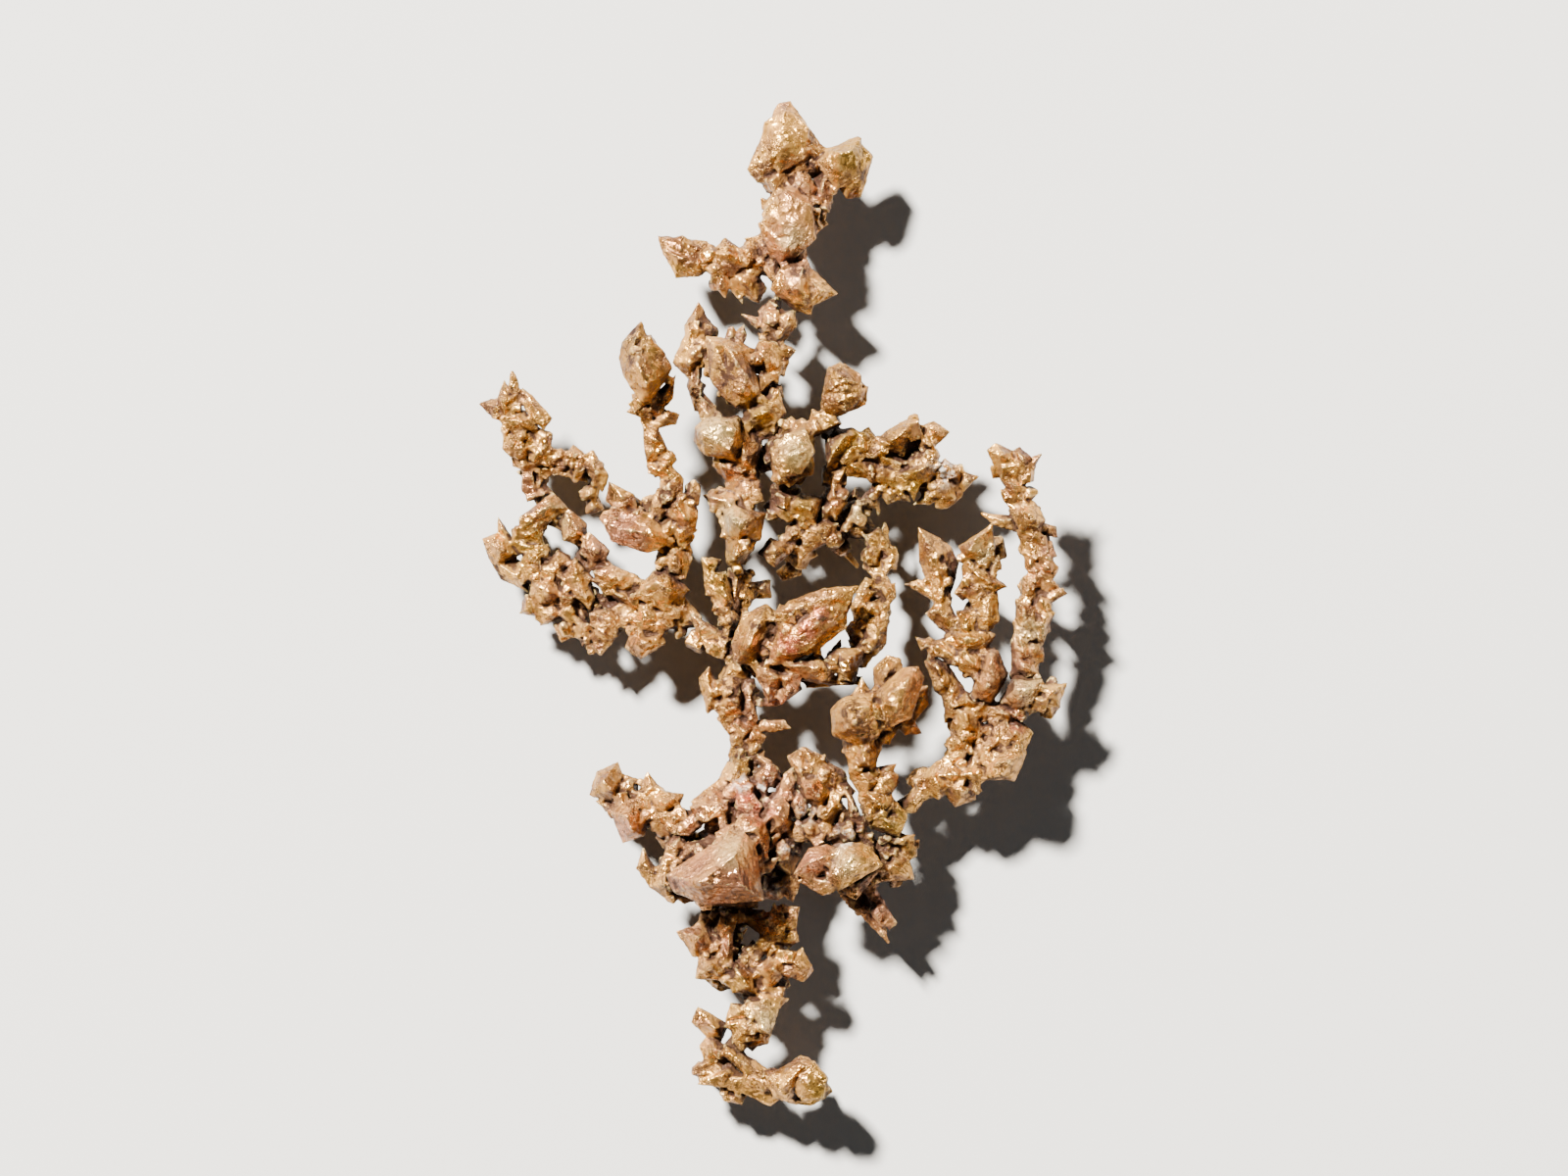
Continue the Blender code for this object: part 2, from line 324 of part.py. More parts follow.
def leaf_cluster():
    """The broad leaf crystal, the long bud and the fan below them."""
    plane = (0.0, -5.0, 10.4, 0.12, 0.16)
    stem = [(-1.9, -3.6, 0.8), (-0.8, -4.6, 0.8), (0.2, -5.2, 0.8), (2.0, -5.4, 0.7),
            (4.4, -5.9, 0.6), (6.4, -6.0, 0.5)]
    crystals = [
        gem(0.9, [(-1.05, -0.2), (-0.4, -0.15), (0.3, -0.8), (0.4, -1.2), (-0.1, -2.2),
                  (-0.7, -3.6), (-1.7, -4.5), (-2.9, -4.3), (-3.1, -3.0), (-2.6, -1.5),
                  (-1.9, -0.6)], [(-0.9, -0.9), (-1.6, -2.8), (-2.2, -3.6)], 1.2),
        gem(0.6, [(-0.5, -2.4), (0.1, -2.0), (0.05, -3.0), (-0.2, -4.3), (-0.8, -4.4),
                  (-1.0, -3.4)]),
        gem(1.3, [(-0.1, -4.5), (0.0, -3.0), (0.4, -1.3), (0.9, -0.3), (1.8, 0.4),
                  (3.5, -1.4), (2.2, -3.6), (1.0, -4.4)], [(0.9, -2.0), (0.8, -3.6)], 0.9),
        gem(1.5, [(0.8, -0.5), (1.5, 0.3), (2.4, 0.65), (3.5, 1.0), (4.6, 1.4), (6.3, 1.5),
                  (6.6, 1.2), (5.8, 0.0), (3.0, -1.0), (1.6, -1.4)],
            [(2.4, 0.0), (4.9, 0.8)], 1.0),
        gem(1.3, [(0.6, -4.6), (1.6, -3.0), (3.0, -1.2), (5.6, 0.1), (5.7, -1.8),
                  (4.3, -2.9), (3.5, -3.5), (2.2, -3.85)], [(2.6, -2.4), (4.7, -0.9)], 1.0),
        gem(0.4, [(5.3, 0.4), (6.6, 1.3), (6.0, 0.3), (5.8, -0.9), (5.7, -1.9), (5.2, -2.0)]),
        gem(1.0, [(0.5, -4.9), (1.4, -4.4), (3.5, -3.7), (4.2, -4.4), (4.85, -5.3),
                  (4.4, -6.0), (2.5, -5.75), (1.0, -5.4)], [(1.8, -4.8), (3.6, -4.9)], 1.0),
        gem(1.2, [(-1.2, -4.6), (-0.2, -4.6), (0.6, -5.0), (1.3, -5.6), (0.7, -6.6),
                  (-0.6, -6.7), (-1.2, -5.8)], [(-0.6, -5.2), (0.3, -5.8)], 1.1),
        gem(1.0, [(-1.0, -6.2), (0.6, -6.0), (0.6, -7.1), (0.0, -7.7), (-0.5, -7.6)],
            None, 1.0),
        gem(1.1, [(1.1, -5.7), (1.9, -5.85), (2.3, -6.4), (2.2, -7.0), (1.6, -7.5),
                  (0.6, -7.75), (0.3, -6.9)], [(1.6, -6.3), (1.1, -7.1)], 1.1),
        gem(-0.2, [(-1.3, -7.6), (0.0, -7.2), (1.3, -7.3), (0.5, -8.0), (-0.4, -8.15)]),
        gem(-1.0, [(2.0, -5.9), (3.8, -5.7), (5.6, -5.9), (6.4, -5.6), (7.1, -5.8),
                   (7.0, -6.25), (4.6, -6.4), (2.8, -6.6)], [(3.4, -6.1), (5.8, -6.0)], 0.6),
        spur(0.6, -5.6, -0.3, 0.1, -0.1, 1.9, 3.6),
    ]
    return plane, stem, crystals


def ring_twig():
    """The stepped twig that closes the ring to the right of the leaf."""
    plane = (7.0, -2.0, 9.6, -0.20, -0.26)
    stem = [(6.4, -4.6, 0.8), (7.4, -3.0, 0.9), (7.4, -1.4, 0.9), (8.2, 0.6, 0.9),
            (8.4, 1.9, 0.7), (8.6, 3.2, 0.7), (8.4, 4.6, 0.7)]
    crystals = [
        gem(1.1, [(5.1, -3.6), (5.7, -3.4), (7.25, -3.5), (7.0, -4.9), (6.5, -5.6),
                  (6.1, -5.9), (5.3, -5.4), (4.9, -4.5)], [(6.2, -4.1), (5.9, -5.0)], 1.3),
        gem(0.7, [(7.1, -2.5), (7.7, -2.3), (8.1, -3.2), (8.1, -4.1), (7.5, -4.9),
                  (6.8, -5.1), (7.0, -3.6)], [(7.4, -3.0), (7.3, -4.2)], 0.9),
        gem(0.6, [(4.7, -3.2), (5.1, -2.8), (5.5, -2.65), (5.5, -3.3), (5.0, -3.7)]),
        gem(0.5, [(4.3, -4.2), (4.8, -3.4), (5.2, -4.0), (4.8, -4.6)]),
        gem(0.8, [(7.0, -1.0), (8.3, -1.0), (9.1, -1.2), (9.2, -1.9), (9.0, -3.0),
                  (8.1, -3.95), (7.5, -2.9), (6.9, -2.3)], [(8.0, -1.6), (8.3, -2.8)], 1.0),
        gem(0.9, [(5.75, -1.9), (6.4, -1.6), (7.1, -1.9), (7.5, -2.5), (6.9, -2.9),
                  (6.0, -2.8)]),
        gem(0.5, [(5.9, -2.7), (6.6, -2.7), (7.0, -3.3), (6.0, -3.5)]),
        gem(1.0, [(6.05, -0.4), (6.5, 0.4), (7.2, 0.2), (7.2, -1.1), (6.9, -1.9),
                  (6.3, -1.7)], [(6.6, -0.1), (6.7, -1.2)], 0.9),
        gem(1.2, [(6.3, 0.0), (6.9, 1.2), (7.8, 1.4), (8.3, 0.9), (7.6, 0.3), (7.0, -0.5)],
            [(7.0, 0.7), (7.7, 1.0)], 0.8),
        gem(1.2, [(8.4, 1.5), (9.3, 1.75), (9.9, 1.5), (9.85, 0.7), (9.4, 0.0), (8.7, 0.3)],
            [(9.0, 1.2), (9.2, 0.5)], 0.9),
        gem(1.0, [(8.3, 0.3), (9.4, 0.2), (9.3, -0.4), (8.6, -1.1), (7.7, -1.0), (8.0, -0.3)],
            [(8.9, -0.1), (8.3, -0.7)], 0.8),
        gem(0.9, [(6.3, 1.1), (6.9, 1.4), (7.1, 2.0), (7.5, 2.2), (8.1, 2.0), (7.9, 1.2),
                  (6.9, 0.9)]),
        gem(0.6, [(7.8, 1.9), (8.5, 2.2), (9.1, 1.8), (8.7, 1.2), (7.9, 1.3)]),
        gem(0.3, [(7.6, 2.7), (8.3, 3.0), (9.1, 2.9), (9.1, 2.0), (8.2, 1.9)]),
        gem(0.0, [(7.0, 3.7), (8.0, 3.8), (9.1, 3.4), (8.8, 2.8), (7.2, 2.9)]),
        gem(0.4, [(7.1, 4.3), (7.5, 4.6), (8.1, 4.3), (8.2, 3.8), (7.5, 3.7)]),
        gem(0.6, [(8.8, 3.6), (9.4, 4.0), (10.1, 4.1), (10.0, 3.5), (9.9, 2.8), (9.2, 3.0)]),
        gem(0.7, [(8.2, 4.9), (8.9, 5.1), (9.8, 4.7), (10.1, 4.0), (9.2, 3.7), (8.4, 4.2)],
            [(8.9, 4.6), (9.5, 4.2)], 0.8),
        gem(0.3, [(7.4, 5.5), (7.8, 5.8), (8.5, 5.6), (8.7, 5.0), (8.0, 4.5), (7.4, 4.9)],
            [(7.9, 5.3), (8.1, 4.9)], 0.7),
        spear((9.0, 4.6, 0.2), (8.95, 6.9, 0.3), 0.8),
    ]
    return plane, stem, crystals


def left_branch():
    """The main branch on the left, with its rough outer end."""
    plane = (-4.0, -1.0, 8.8, 0.12, 0.05)
    stem = [(-6.4, -1.2, 0.8), (-8.6, -1.2, 0.9), (-10.6, -0.8, 0.9), (-12.8, 0.2, 0.9),
            (-14.8, 0.4, 1.0), (-17.0, 1.2, 1.1), (-18.8, 3.0, 1.1), (-19.6, 5.2, 1.0)]
    side = [(-15.0, 0.0, 0.8), (-15.8, 2.4, 0.8), (-14.8, 4.4, 0.8), (-15.8, 6.0, 0.8),
            (-18.0, 7.0, 0.8)]
    crystals = [
        gem(1.2, [(-20.1, 7.0), (-19.2, 7.8), (-18.1, 8.65), (-17.4, 8.7), (-16.5, 7.8),
                  (-17.0, 7.1), (-18.9, 6.0), (-20.0, 6.0)], [(-18.6, 7.5), (-17.7, 7.9)], 1.2),
        gem(0.8, [(-16.5, 7.7), (-15.6, 7.3), (-14.9, 6.5), (-15.1, 5.3), (-15.7, 4.9),
                  (-16.7, 5.3), (-17.0, 6.5)], [(-15.9, 6.8), (-15.7, 5.8)], 1.0),
        gem(1.1, [(-20.7, 6.1), (-19.5, 6.1), (-18.1, 5.9), (-18.0, 5.0), (-19.0, 4.7),
                  (-20.7, 5.1)], [(-20.0, 5.6), (-18.7, 5.4)], 0.8),
        gem(0.8, [(-20.7, 5.0), (-19.5, 4.9), (-18.0, 4.8), (-17.7, 3.6), (-18.9, 3.7),
                  (-20.1, 4.1)]),
        gem(0.7, [(-21.9, 7.0), (-21.5, 7.0), (-20.6, 5.7), (-20.7, 5.0), (-21.8, 5.0),
                  (-22.0, 6.3)]),
        gem(1.0, [(-23.05, 4.8), (-22.9, 5.5), (-22.3, 5.8), (-21.5, 5.5), (-20.2, 4.2),
                  (-21.0, 3.6), (-22.0, 3.4), (-22.7, 3.7)], [(-22.2, 4.9), (-21.2, 4.3)], 1.1),
        gem(0.2, [(-22.7, 3.8), (-21.3, 3.7), (-20.3, 3.6), (-19.4, 1.9), (-19.7, 1.2),
                  (-21.5, 2.0), (-22.1, 2.8)], [(-21.5, 3.0), (-20.4, 2.3)], 1.1),
        gem(1.1, [(-20.2, 3.5), (-19.5, 3.9), (-18.4, 3.3), (-17.8, 2.6), (-17.9, 1.9),
                  (-19.7, 2.1), (-20.3, 2.9)]),
        gem(1.0, [(-18.1, 3.2), (-17.6, 3.9), (-16.9, 4.4), (-16.2, 4.0), (-16.4, 3.1),
                  (-17.0, 1.8), (-17.8, 2.2)], [(-17.3, 3.5), (-17.1, 2.6)], 0.9),
        gem(1.3, [(-19.2, 1.9), (-18.8, 2.4), (-17.6, 2.2), (-16.8, 1.4), (-16.8, 0.5),
                  (-17.4, 0.1), (-18.6, 0.0), (-19.3, 0.9)], [(-18.4, 1.4), (-17.6, 0.9)], 1.1),
        gem(0.4, [(-20.15, -0.2), (-19.8, 0.45), (-19.3, 0.6), (-18.8, 0.2), (-18.8, -0.6),
                  (-19.4, -0.95), (-20.0, -0.8)]),
        gem(0.8, [(-19.0, 0.1), (-17.3, 0.4), (-16.8, -0.4), (-17.1, -1.1), (-18.2, -1.6),
                  (-18.9, -1.1)], [(-18.3, -0.3), (-17.5, -0.6)], 1.0),
        nub(-18.2, -1.3, 0.3, 0.8),
        gem(0.9, [(-17.0, 0.0), (-16.2, 0.4), (-15.7, -0.1), (-16.2, -0.7), (-16.9, -0.7)]),
        gem(0.6, [(-16.9, -0.6), (-16.1, -0.3), (-15.4, -0.9), (-15.7, -1.7), (-16.6, -1.5)]),
        gem(0.2, [(-17.5, -1.5), (-16.8, -1.1), (-15.8, -1.6), (-15.9, -2.6), (-16.7, -2.95),
                  (-17.2, -2.5)]),
        gem(0.6, [(-15.8, -1.0), (-15.1, -0.8), (-14.5, -1.6), (-14.6, -2.4), (-15.4, -2.4),
                  (-15.9, -1.8)]),
        gem(1.4, [(-16.2, 3.4), (-15.6, 3.7), (-15.1, 2.9), (-14.3, 0.7), (-14.4, -0.1),
                  (-15.0, -0.1), (-16.6, 1.4), (-16.7, 2.0)], [(-15.7, 2.6), (-15.0, 0.8)], 0.9),
        gem(1.0, [(-15.4, 3.6), (-14.8, 3.4), (-14.2, 2.2), (-14.8, 1.9), (-15.4, 2.9)]),
        gem(1.0, [(-15.2, 4.7), (-14.9, 5.6), (-14.4, 5.8), (-13.4, 4.9), (-13.1, 4.2),
                  (-13.4, 3.6), (-14.7, 3.4)], [(-14.4, 5.0), (-14.0, 4.2)], 0.9),
        gem(0.7, [(-15.0, 3.9), (-13.0, 3.8), (-12.7, 3.1), (-13.9, 2.6), (-14.4, 2.7)]),
        gem(1.4, [(-14.3, 2.3), (-13.8, 2.9), (-12.9, 3.2), (-11.1, 2.6), (-10.7, 1.6),
                  (-11.0, 0.9), (-12.6, 1.2), (-14.2, 1.7)], [(-13.2, 2.3), (-11.7, 1.9)], 1.0),
        gem(1.0, [(-14.3, 2.0), (-13.0, 1.4), (-11.0, 0.9), (-8.0, -0.9), (-10.0, -0.8),
                  (-11.6, -0.5), (-13.4, 0.9)], [(-12.6, 0.9), (-10.2, -0.1)], 0.9),
        gem(1.3, [(-10.8, 0.7), (-10.3, 1.7), (-9.5, 2.6), (-8.7, 2.8), (-7.7, 2.3),
                  (-6.8, 1.2), (-7.4, 0.6), (-8.6, -0.4)], [(-9.3, 1.8), (-8.1, 1.2)], 1.1),
        gem(1.1, [(-14.6, -0.8), (-14.1, -0.4), (-13.0, -0.2), (-12.1, -0.6), (-12.0, -1.5),
                  (-12.9, -2.15), (-14.4, -1.6)], [(-13.6, -0.9), (-12.7, -1.2)], 0.9),
        gem(0.9, [(-12.5, -0.3), (-11.6, -0.4), (-11.2, -1.1), (-11.5, -2.0), (-12.2, -1.8)]),
        gem(0.6, [(-14.5, -1.7), (-13.9, -1.5), (-13.3, -2.0), (-13.5, -2.95), (-14.4, -3.0)]),
        gem(0.6, [(-13.5, -2.0), (-12.3, -1.9), (-12.0, -2.2), (-12.9, -3.35), (-13.4, -3.0)]),
        gem(0.1, [(-15.1, -3.3), (-14.3, -2.8), (-13.0, -2.9), (-13.2, -3.5), (-14.7, -3.95)]),
        gem(-0.2, [(-15.8, -2.3), (-14.9, -2.2), (-14.6, -3.0), (-15.2, -3.35)]),
        gem(0.9, [(-11.5, -1.2), (-10.5, -1.0), (-7.9, -1.0), (-8.0, -1.8), (-9.3, -2.4),
                  (-11.2, -2.3)], [(-10.4, -1.5), (-8.8, -1.6)], 0.9),
        gem(1.0, [(-11.55, -3.0), (-11.2, -2.2), (-10.4, -2.1), (-9.0, -2.2), (-8.65, -2.8),
                  (-9.2, -3.6), (-10.5, -4.25), (-11.4, -3.8)],
            [(-10.5, -2.8), (-9.8, -3.2)], 1.1),
        gem(0.6, [(-8.4, -0.4), (-7.0, 0.5), (-6.0, -0.4), (-5.9, -0.9), (-7.2, -1.6),
                  (-8.2, -1.4)], [(-7.6, -0.3), (-6.7, -0.6)], 0.8),
        gem(0.0, [(-7.9, -1.6), (-6.8, -1.4), (-6.9, -2.4), (-7.6, -2.9)]),
        spur(-17.2, 1.0, -0.4, -0.1, 0.0, 2.5),
        spur(-19.6, 5.6, -0.4, 0.1, 0.2, 1.8, 3.0),
    ]
    return plane, [stem, side], crystals


def left_outer_branch():
    """The slender upright at the far left."""
    plane = (-19.0, 8.0, 7.2, 0.05, 0.28)
    stem = [(-18.8, 8.6, 0.5), (-19.4, 9.8, 0.6), (-19.6, 11.4, 0.6), (-20.2, 12.8, 0.7),
            (-19.8, 14.4, 0.7), (-20.6, 15.8, 0.6), (-20.8, 16.8, 0.5)]
    side = [(-18.6, 11.4, 0.5), (-17.0, 11.4, 0.6), (-15.4, 11.2, 0.6), (-14.2, 11.0, 0.6),
            (-14.2, 9.4, 0.5), (-14.4, 8.0, 0.4)]
    crystals = [
        spear((-20.5, 16.2, 0.4), (-20.75, 18.8, 0.7), 1.1),
        gem(0.3, [(-22.15, 16.5), (-21.85, 17.4), (-21.3, 17.85), (-20.4, 16.4),
                  (-20.9, 15.8), (-21.6, 15.9)]),
        gem(0.3, [(-23.35, 16.05), (-22.4, 16.45), (-21.5, 16.3), (-21.5, 15.4),
                  (-22.2, 15.0), (-22.7, 15.3)]),
        gem(0.8, [(-19.9, 17.25), (-19.3, 16.8), (-17.8, 15.2), (-17.8, 14.5), (-18.3, 14.0),
                  (-19.4, 15.1), (-20.0, 16.3)], [(-19.3, 16.3), (-18.4, 15.0)], 0.7),
        gem(0.7, [(-21.8, 15.0), (-20.4, 15.5), (-18.9, 14.9), (-18.8, 14.1), (-20.2, 13.9),
                  (-21.3, 14.1)], [(-20.9, 14.7), (-19.5, 14.5)], 0.8),
        gem(0.7, [(-21.4, 14.2), (-20.6, 14.1), (-20.0, 13.3), (-20.1, 12.3), (-20.9, 11.9),
                  (-21.5, 12.5)], [(-20.9, 13.6), (-20.7, 12.7)], 0.8),
        gem(0.5, [(-20.2, 13.3), (-19.0, 14.1), (-18.4, 12.3), (-18.9, 11.8), (-20.0, 12.0)],
            [(-19.6, 13.2), (-19.1, 12.5)], 0.8),
        gem(0.7, [(-18.9, 14.2), (-18.2, 14.0), (-17.6, 13.1), (-17.7, 12.2), (-18.5, 11.9),
                  (-18.9, 12.9)], [(-18.3, 13.4), (-18.2, 12.6)], 0.7),
        nub(-17.9, 13.5, 0.5, 0.8),
        gem(0.3, [(-20.8, 11.95), (-19.1, 12.1), (-19.1, 10.9), (-19.9, 10.7), (-20.7, 11.1)]),
        gem(0.4, [(-20.05, 10.8), (-19.3, 11.1), (-19.1, 9.6), (-18.9, 9.1), (-19.5, 8.5),
                  (-20.1, 9.1)], [(-19.6, 10.3), (-19.4, 9.3)], 0.7),
        gem(-0.5, [(-19.4, 10.9), (-18.1, 10.9), (-17.9, 9.9), (-19.0, 8.9)]),
        gem(0.2, [(-19.3, 8.95), (-18.2, 9.0), (-18.5, 8.1), (-18.9, 8.0)]),
        nub(-17.9, 9.0, 0.1, 0.8),
        gem(0.6, [(-19.0, 11.7), (-17.7, 12.2), (-16.9, 12.5), (-16.2, 11.9), (-16.5, 11.3),
                  (-18.0, 11.1)], [(-17.9, 11.7), (-16.8, 11.9)], 0.7),
        gem(0.3, [(-19.0, 11.1), (-16.2, 11.2), (-15.6, 10.4), (-16.2, 10.05),
                  (-18.0, 10.5)], [(-18.0, 10.9), (-16.4, 10.7)], 0.6),
        gem(0.5, [(-16.3, 12.4), (-15.9, 12.85), (-15.3, 12.3), (-14.9, 12.0), (-15.5, 11.2),
                  (-16.3, 11.5)]),
        gem(0.8, [(-15.1, 12.0), (-14.5, 12.25), (-14.0, 12.0), (-13.5, 11.2), (-13.1, 10.1),
                  (-13.6, 9.1), (-14.2, 10.2), (-15.1, 10.9)],
            [(-14.5, 11.4), (-13.7, 10.3)], 0.8),
        gem(0.3, [(-15.8, 11.2), (-15.1, 11.3), (-14.8, 9.8), (-15.6, 9.9)]),
        gem(0.2, [(-15.5, 9.1), (-15.0, 9.7), (-13.8, 9.6), (-13.7, 8.6), (-15.2, 8.4)]),
        gem(-0.2, [(-15.0, 8.6), (-13.9, 8.6), (-13.5, 7.6), (-14.9, 7.3)]),
        spur(-19.4, 10.6, -0.3, 0.1, 0.0, 1.4, 2.4),
    ]
    return plane, [stem, side], crystals


def left_inner_branch():
    """The upright inside the left branch, ending in a leaf bud."""
    plane = (-8.0, 2.0, 9.4, 0.0, 0.15)
    stem = [(-7.4, 3.2, 0.8), (-7.4, 5.6, 0.9), (-8.2, 8.0, 1.0), (-8.4, 10.4, 0.8),
            (-9.2, 12.6, 0.7), (-10.0, 14.8, 0.7), (-10.0, 17.0, 0.7), (-10.6, 19.4, 0.8)]
    link = [(-8.6, 6.0, 0.8), (-10.6, 6.4, 0.8), (-12.4, 6.6, 0.7), (-12.0, 8.2, 0.6)]
    crystals = [
        gem(0.6, [(-10.4, 22.4), (-10.7, 22.4), (-11.4, 21.7), (-12.0, 20.5), (-12.1, 19.7),
                  (-11.2, 18.8), (-10.0, 19.6), (-9.9, 21.1)],
            [(-10.9, 21.2), (-11.3, 19.8)], 1.1),
        gem(0.7, [(-12.0, 19.6), (-11.7, 18.3), (-11.0, 17.2), (-10.3, 16.4), (-9.7, 16.5),
                  (-8.7, 17.9), (-8.2, 18.9), (-8.9, 20.2), (-10.1, 21.2)],
            [(-10.8, 19.2), (-10.0, 17.6)], 1.3),
        gem(0.3, [(-9.7, 15.6), (-9.3, 16.8), (-8.6, 17.6), (-7.8, 18.25), (-7.6, 17.8),
                  (-8.0, 16.4), (-8.7, 15.6), (-9.3, 15.1)], [(-8.9, 16.3), (-8.2, 17.4)], 0.7),
        spear((-10.5, 15.4, 0.1), (-11.25, 16.9, 0.3), 0.8),
        gem(0.5, [(-11.65, 15.4), (-11.0, 15.95), (-9.8, 16.1), (-9.5, 15.4), (-10.2, 14.9),
                  (-11.0, 15.0)], [(-10.9, 15.5), (-10.0, 15.6)], 0.6),
        gem(0.4, [(-9.4, 14.9), (-8.5, 15.55), (-7.45, 15.2), (-7.7, 14.4), (-8.7, 14.1),
                  (-9.4, 14.2)], [(-8.7, 14.9), (-8.0, 15.0)], 0.7),
        gem(0.6, [(-10.4, 14.2), (-9.2, 14.1), (-8.6, 13.2), (-8.6, 12.6), (-9.8, 12.4),
                  (-10.45, 13.1)], [(-9.8, 13.6), (-9.2, 13.0)], 0.7),
        gem(0.5, [(-10.2, 12.7), (-9.0, 12.9), (-8.9, 11.7), (-10.1, 11.4)]),
        gem(0.6, [(-9.2, 12.5), (-8.0, 12.3), (-7.6, 11.6), (-8.2, 10.9), (-9.2, 11.5)],
            [(-8.6, 12.0), (-8.2, 11.4)], 0.7),
        gem(0.5, [(-10.0, 11.3), (-9.2, 11.5), (-8.7, 10.9), (-9.1, 10.1), (-9.9, 10.5)]),
        gem(0.6, [(-9.0, 10.9), (-8.1, 11.2), (-7.1, 10.1), (-7.4, 9.4), (-8.6, 9.8)]),
        gem(0.8, [(-9.1, 9.9), (-7.3, 10.0), (-7.2, 9.0), (-8.2, 8.4), (-9.0, 8.8)],
            [(-8.6, 9.4), (-7.8, 9.2)], 0.8),
        gem(0.9, [(-9.8, 7.8), (-9.2, 9.3), (-8.4, 9.0), (-8.2, 7.6), (-9.0, 6.9)],
            [(-9.2, 8.3), (-8.8, 7.6)], 0.7),
        gem(1.1, [(-8.6, 8.4), (-7.2, 8.7), (-6.4, 7.9), (-6.0, 7.2), (-6.3, 6.0),
                  (-7.2, 5.9), (-8.4, 7.0)], [(-7.6, 8.0), (-6.9, 6.9)], 1.0),
        nub(-6.5, 8.6, -0.3, 0.8),
        gem(0.8, [(-8.3, 6.1), (-7.4, 6.3), (-6.2, 6.2), (-6.1, 5.7), (-6.8, 5.1),
                  (-8.0, 5.1)], [(-7.6, 5.8), (-6.7, 5.7)], 0.7),
        gem(0.9, [(-8.2, 5.3), (-7.4, 5.2), (-7.2, 3.6), (-7.5, 2.6), (-8.2, 2.9),
                  (-8.5, 4.2)], [(-7.8, 4.6), (-7.8, 3.4)], 0.8),
        gem(0.6, [(-7.6, 5.2), (-6.6, 5.1), (-6.5, 3.6), (-6.9, 2.2), (-7.5, 2.4)],
            [(-7.1, 4.5), (-7.0, 3.2)], 0.8),
        gem(1.0, [(-13.15, 6.5), (-12.0, 6.8), (-10.2, 7.3), (-9.0, 6.4), (-8.0, 5.2),
                  (-8.9, 4.7), (-10.1, 4.3), (-10.9, 4.9), (-12.6, 5.2)],
            [(-11.6, 6.0), (-9.6, 5.7)], 1.1),
        gem(0.9, [(-13.65, 7.1), (-13.1, 7.65), (-12.0, 7.8), (-10.5, 7.5), (-10.7, 6.9),
                  (-11.8, 6.5), (-13.0, 6.6)], [(-12.8, 7.2), (-11.4, 7.2)], 0.6),
        gem(0.5, [(-13.25, 9.5), (-12.7, 9.85), (-11.4, 9.1), (-11.0, 8.7), (-10.9, 7.4),
                  (-12.3, 7.5), (-13.2, 8.3)], [(-12.4, 9.0), (-11.6, 8.3)], 0.9),
        gem(0.5, [(-9.6, 3.6), (-9.1, 4.3), (-8.4, 4.4), (-7.8, 3.9), (-8.0, 3.0),
                  (-9.0, 2.7)]),
        gem(-0.3, [(-10.4, 8.6), (-9.4, 8.8), (-9.0, 7.4), (-10.4, 7.0)]),
        spur(-9.0, 6.2, -0.3, 0.0, 0.2, 1.8, 4.2),
        spur(-9.6, 14.6, -0.3, 0.0, -0.1, 1.3, 2.6),
    ]
    return plane, [stem, link], crystals


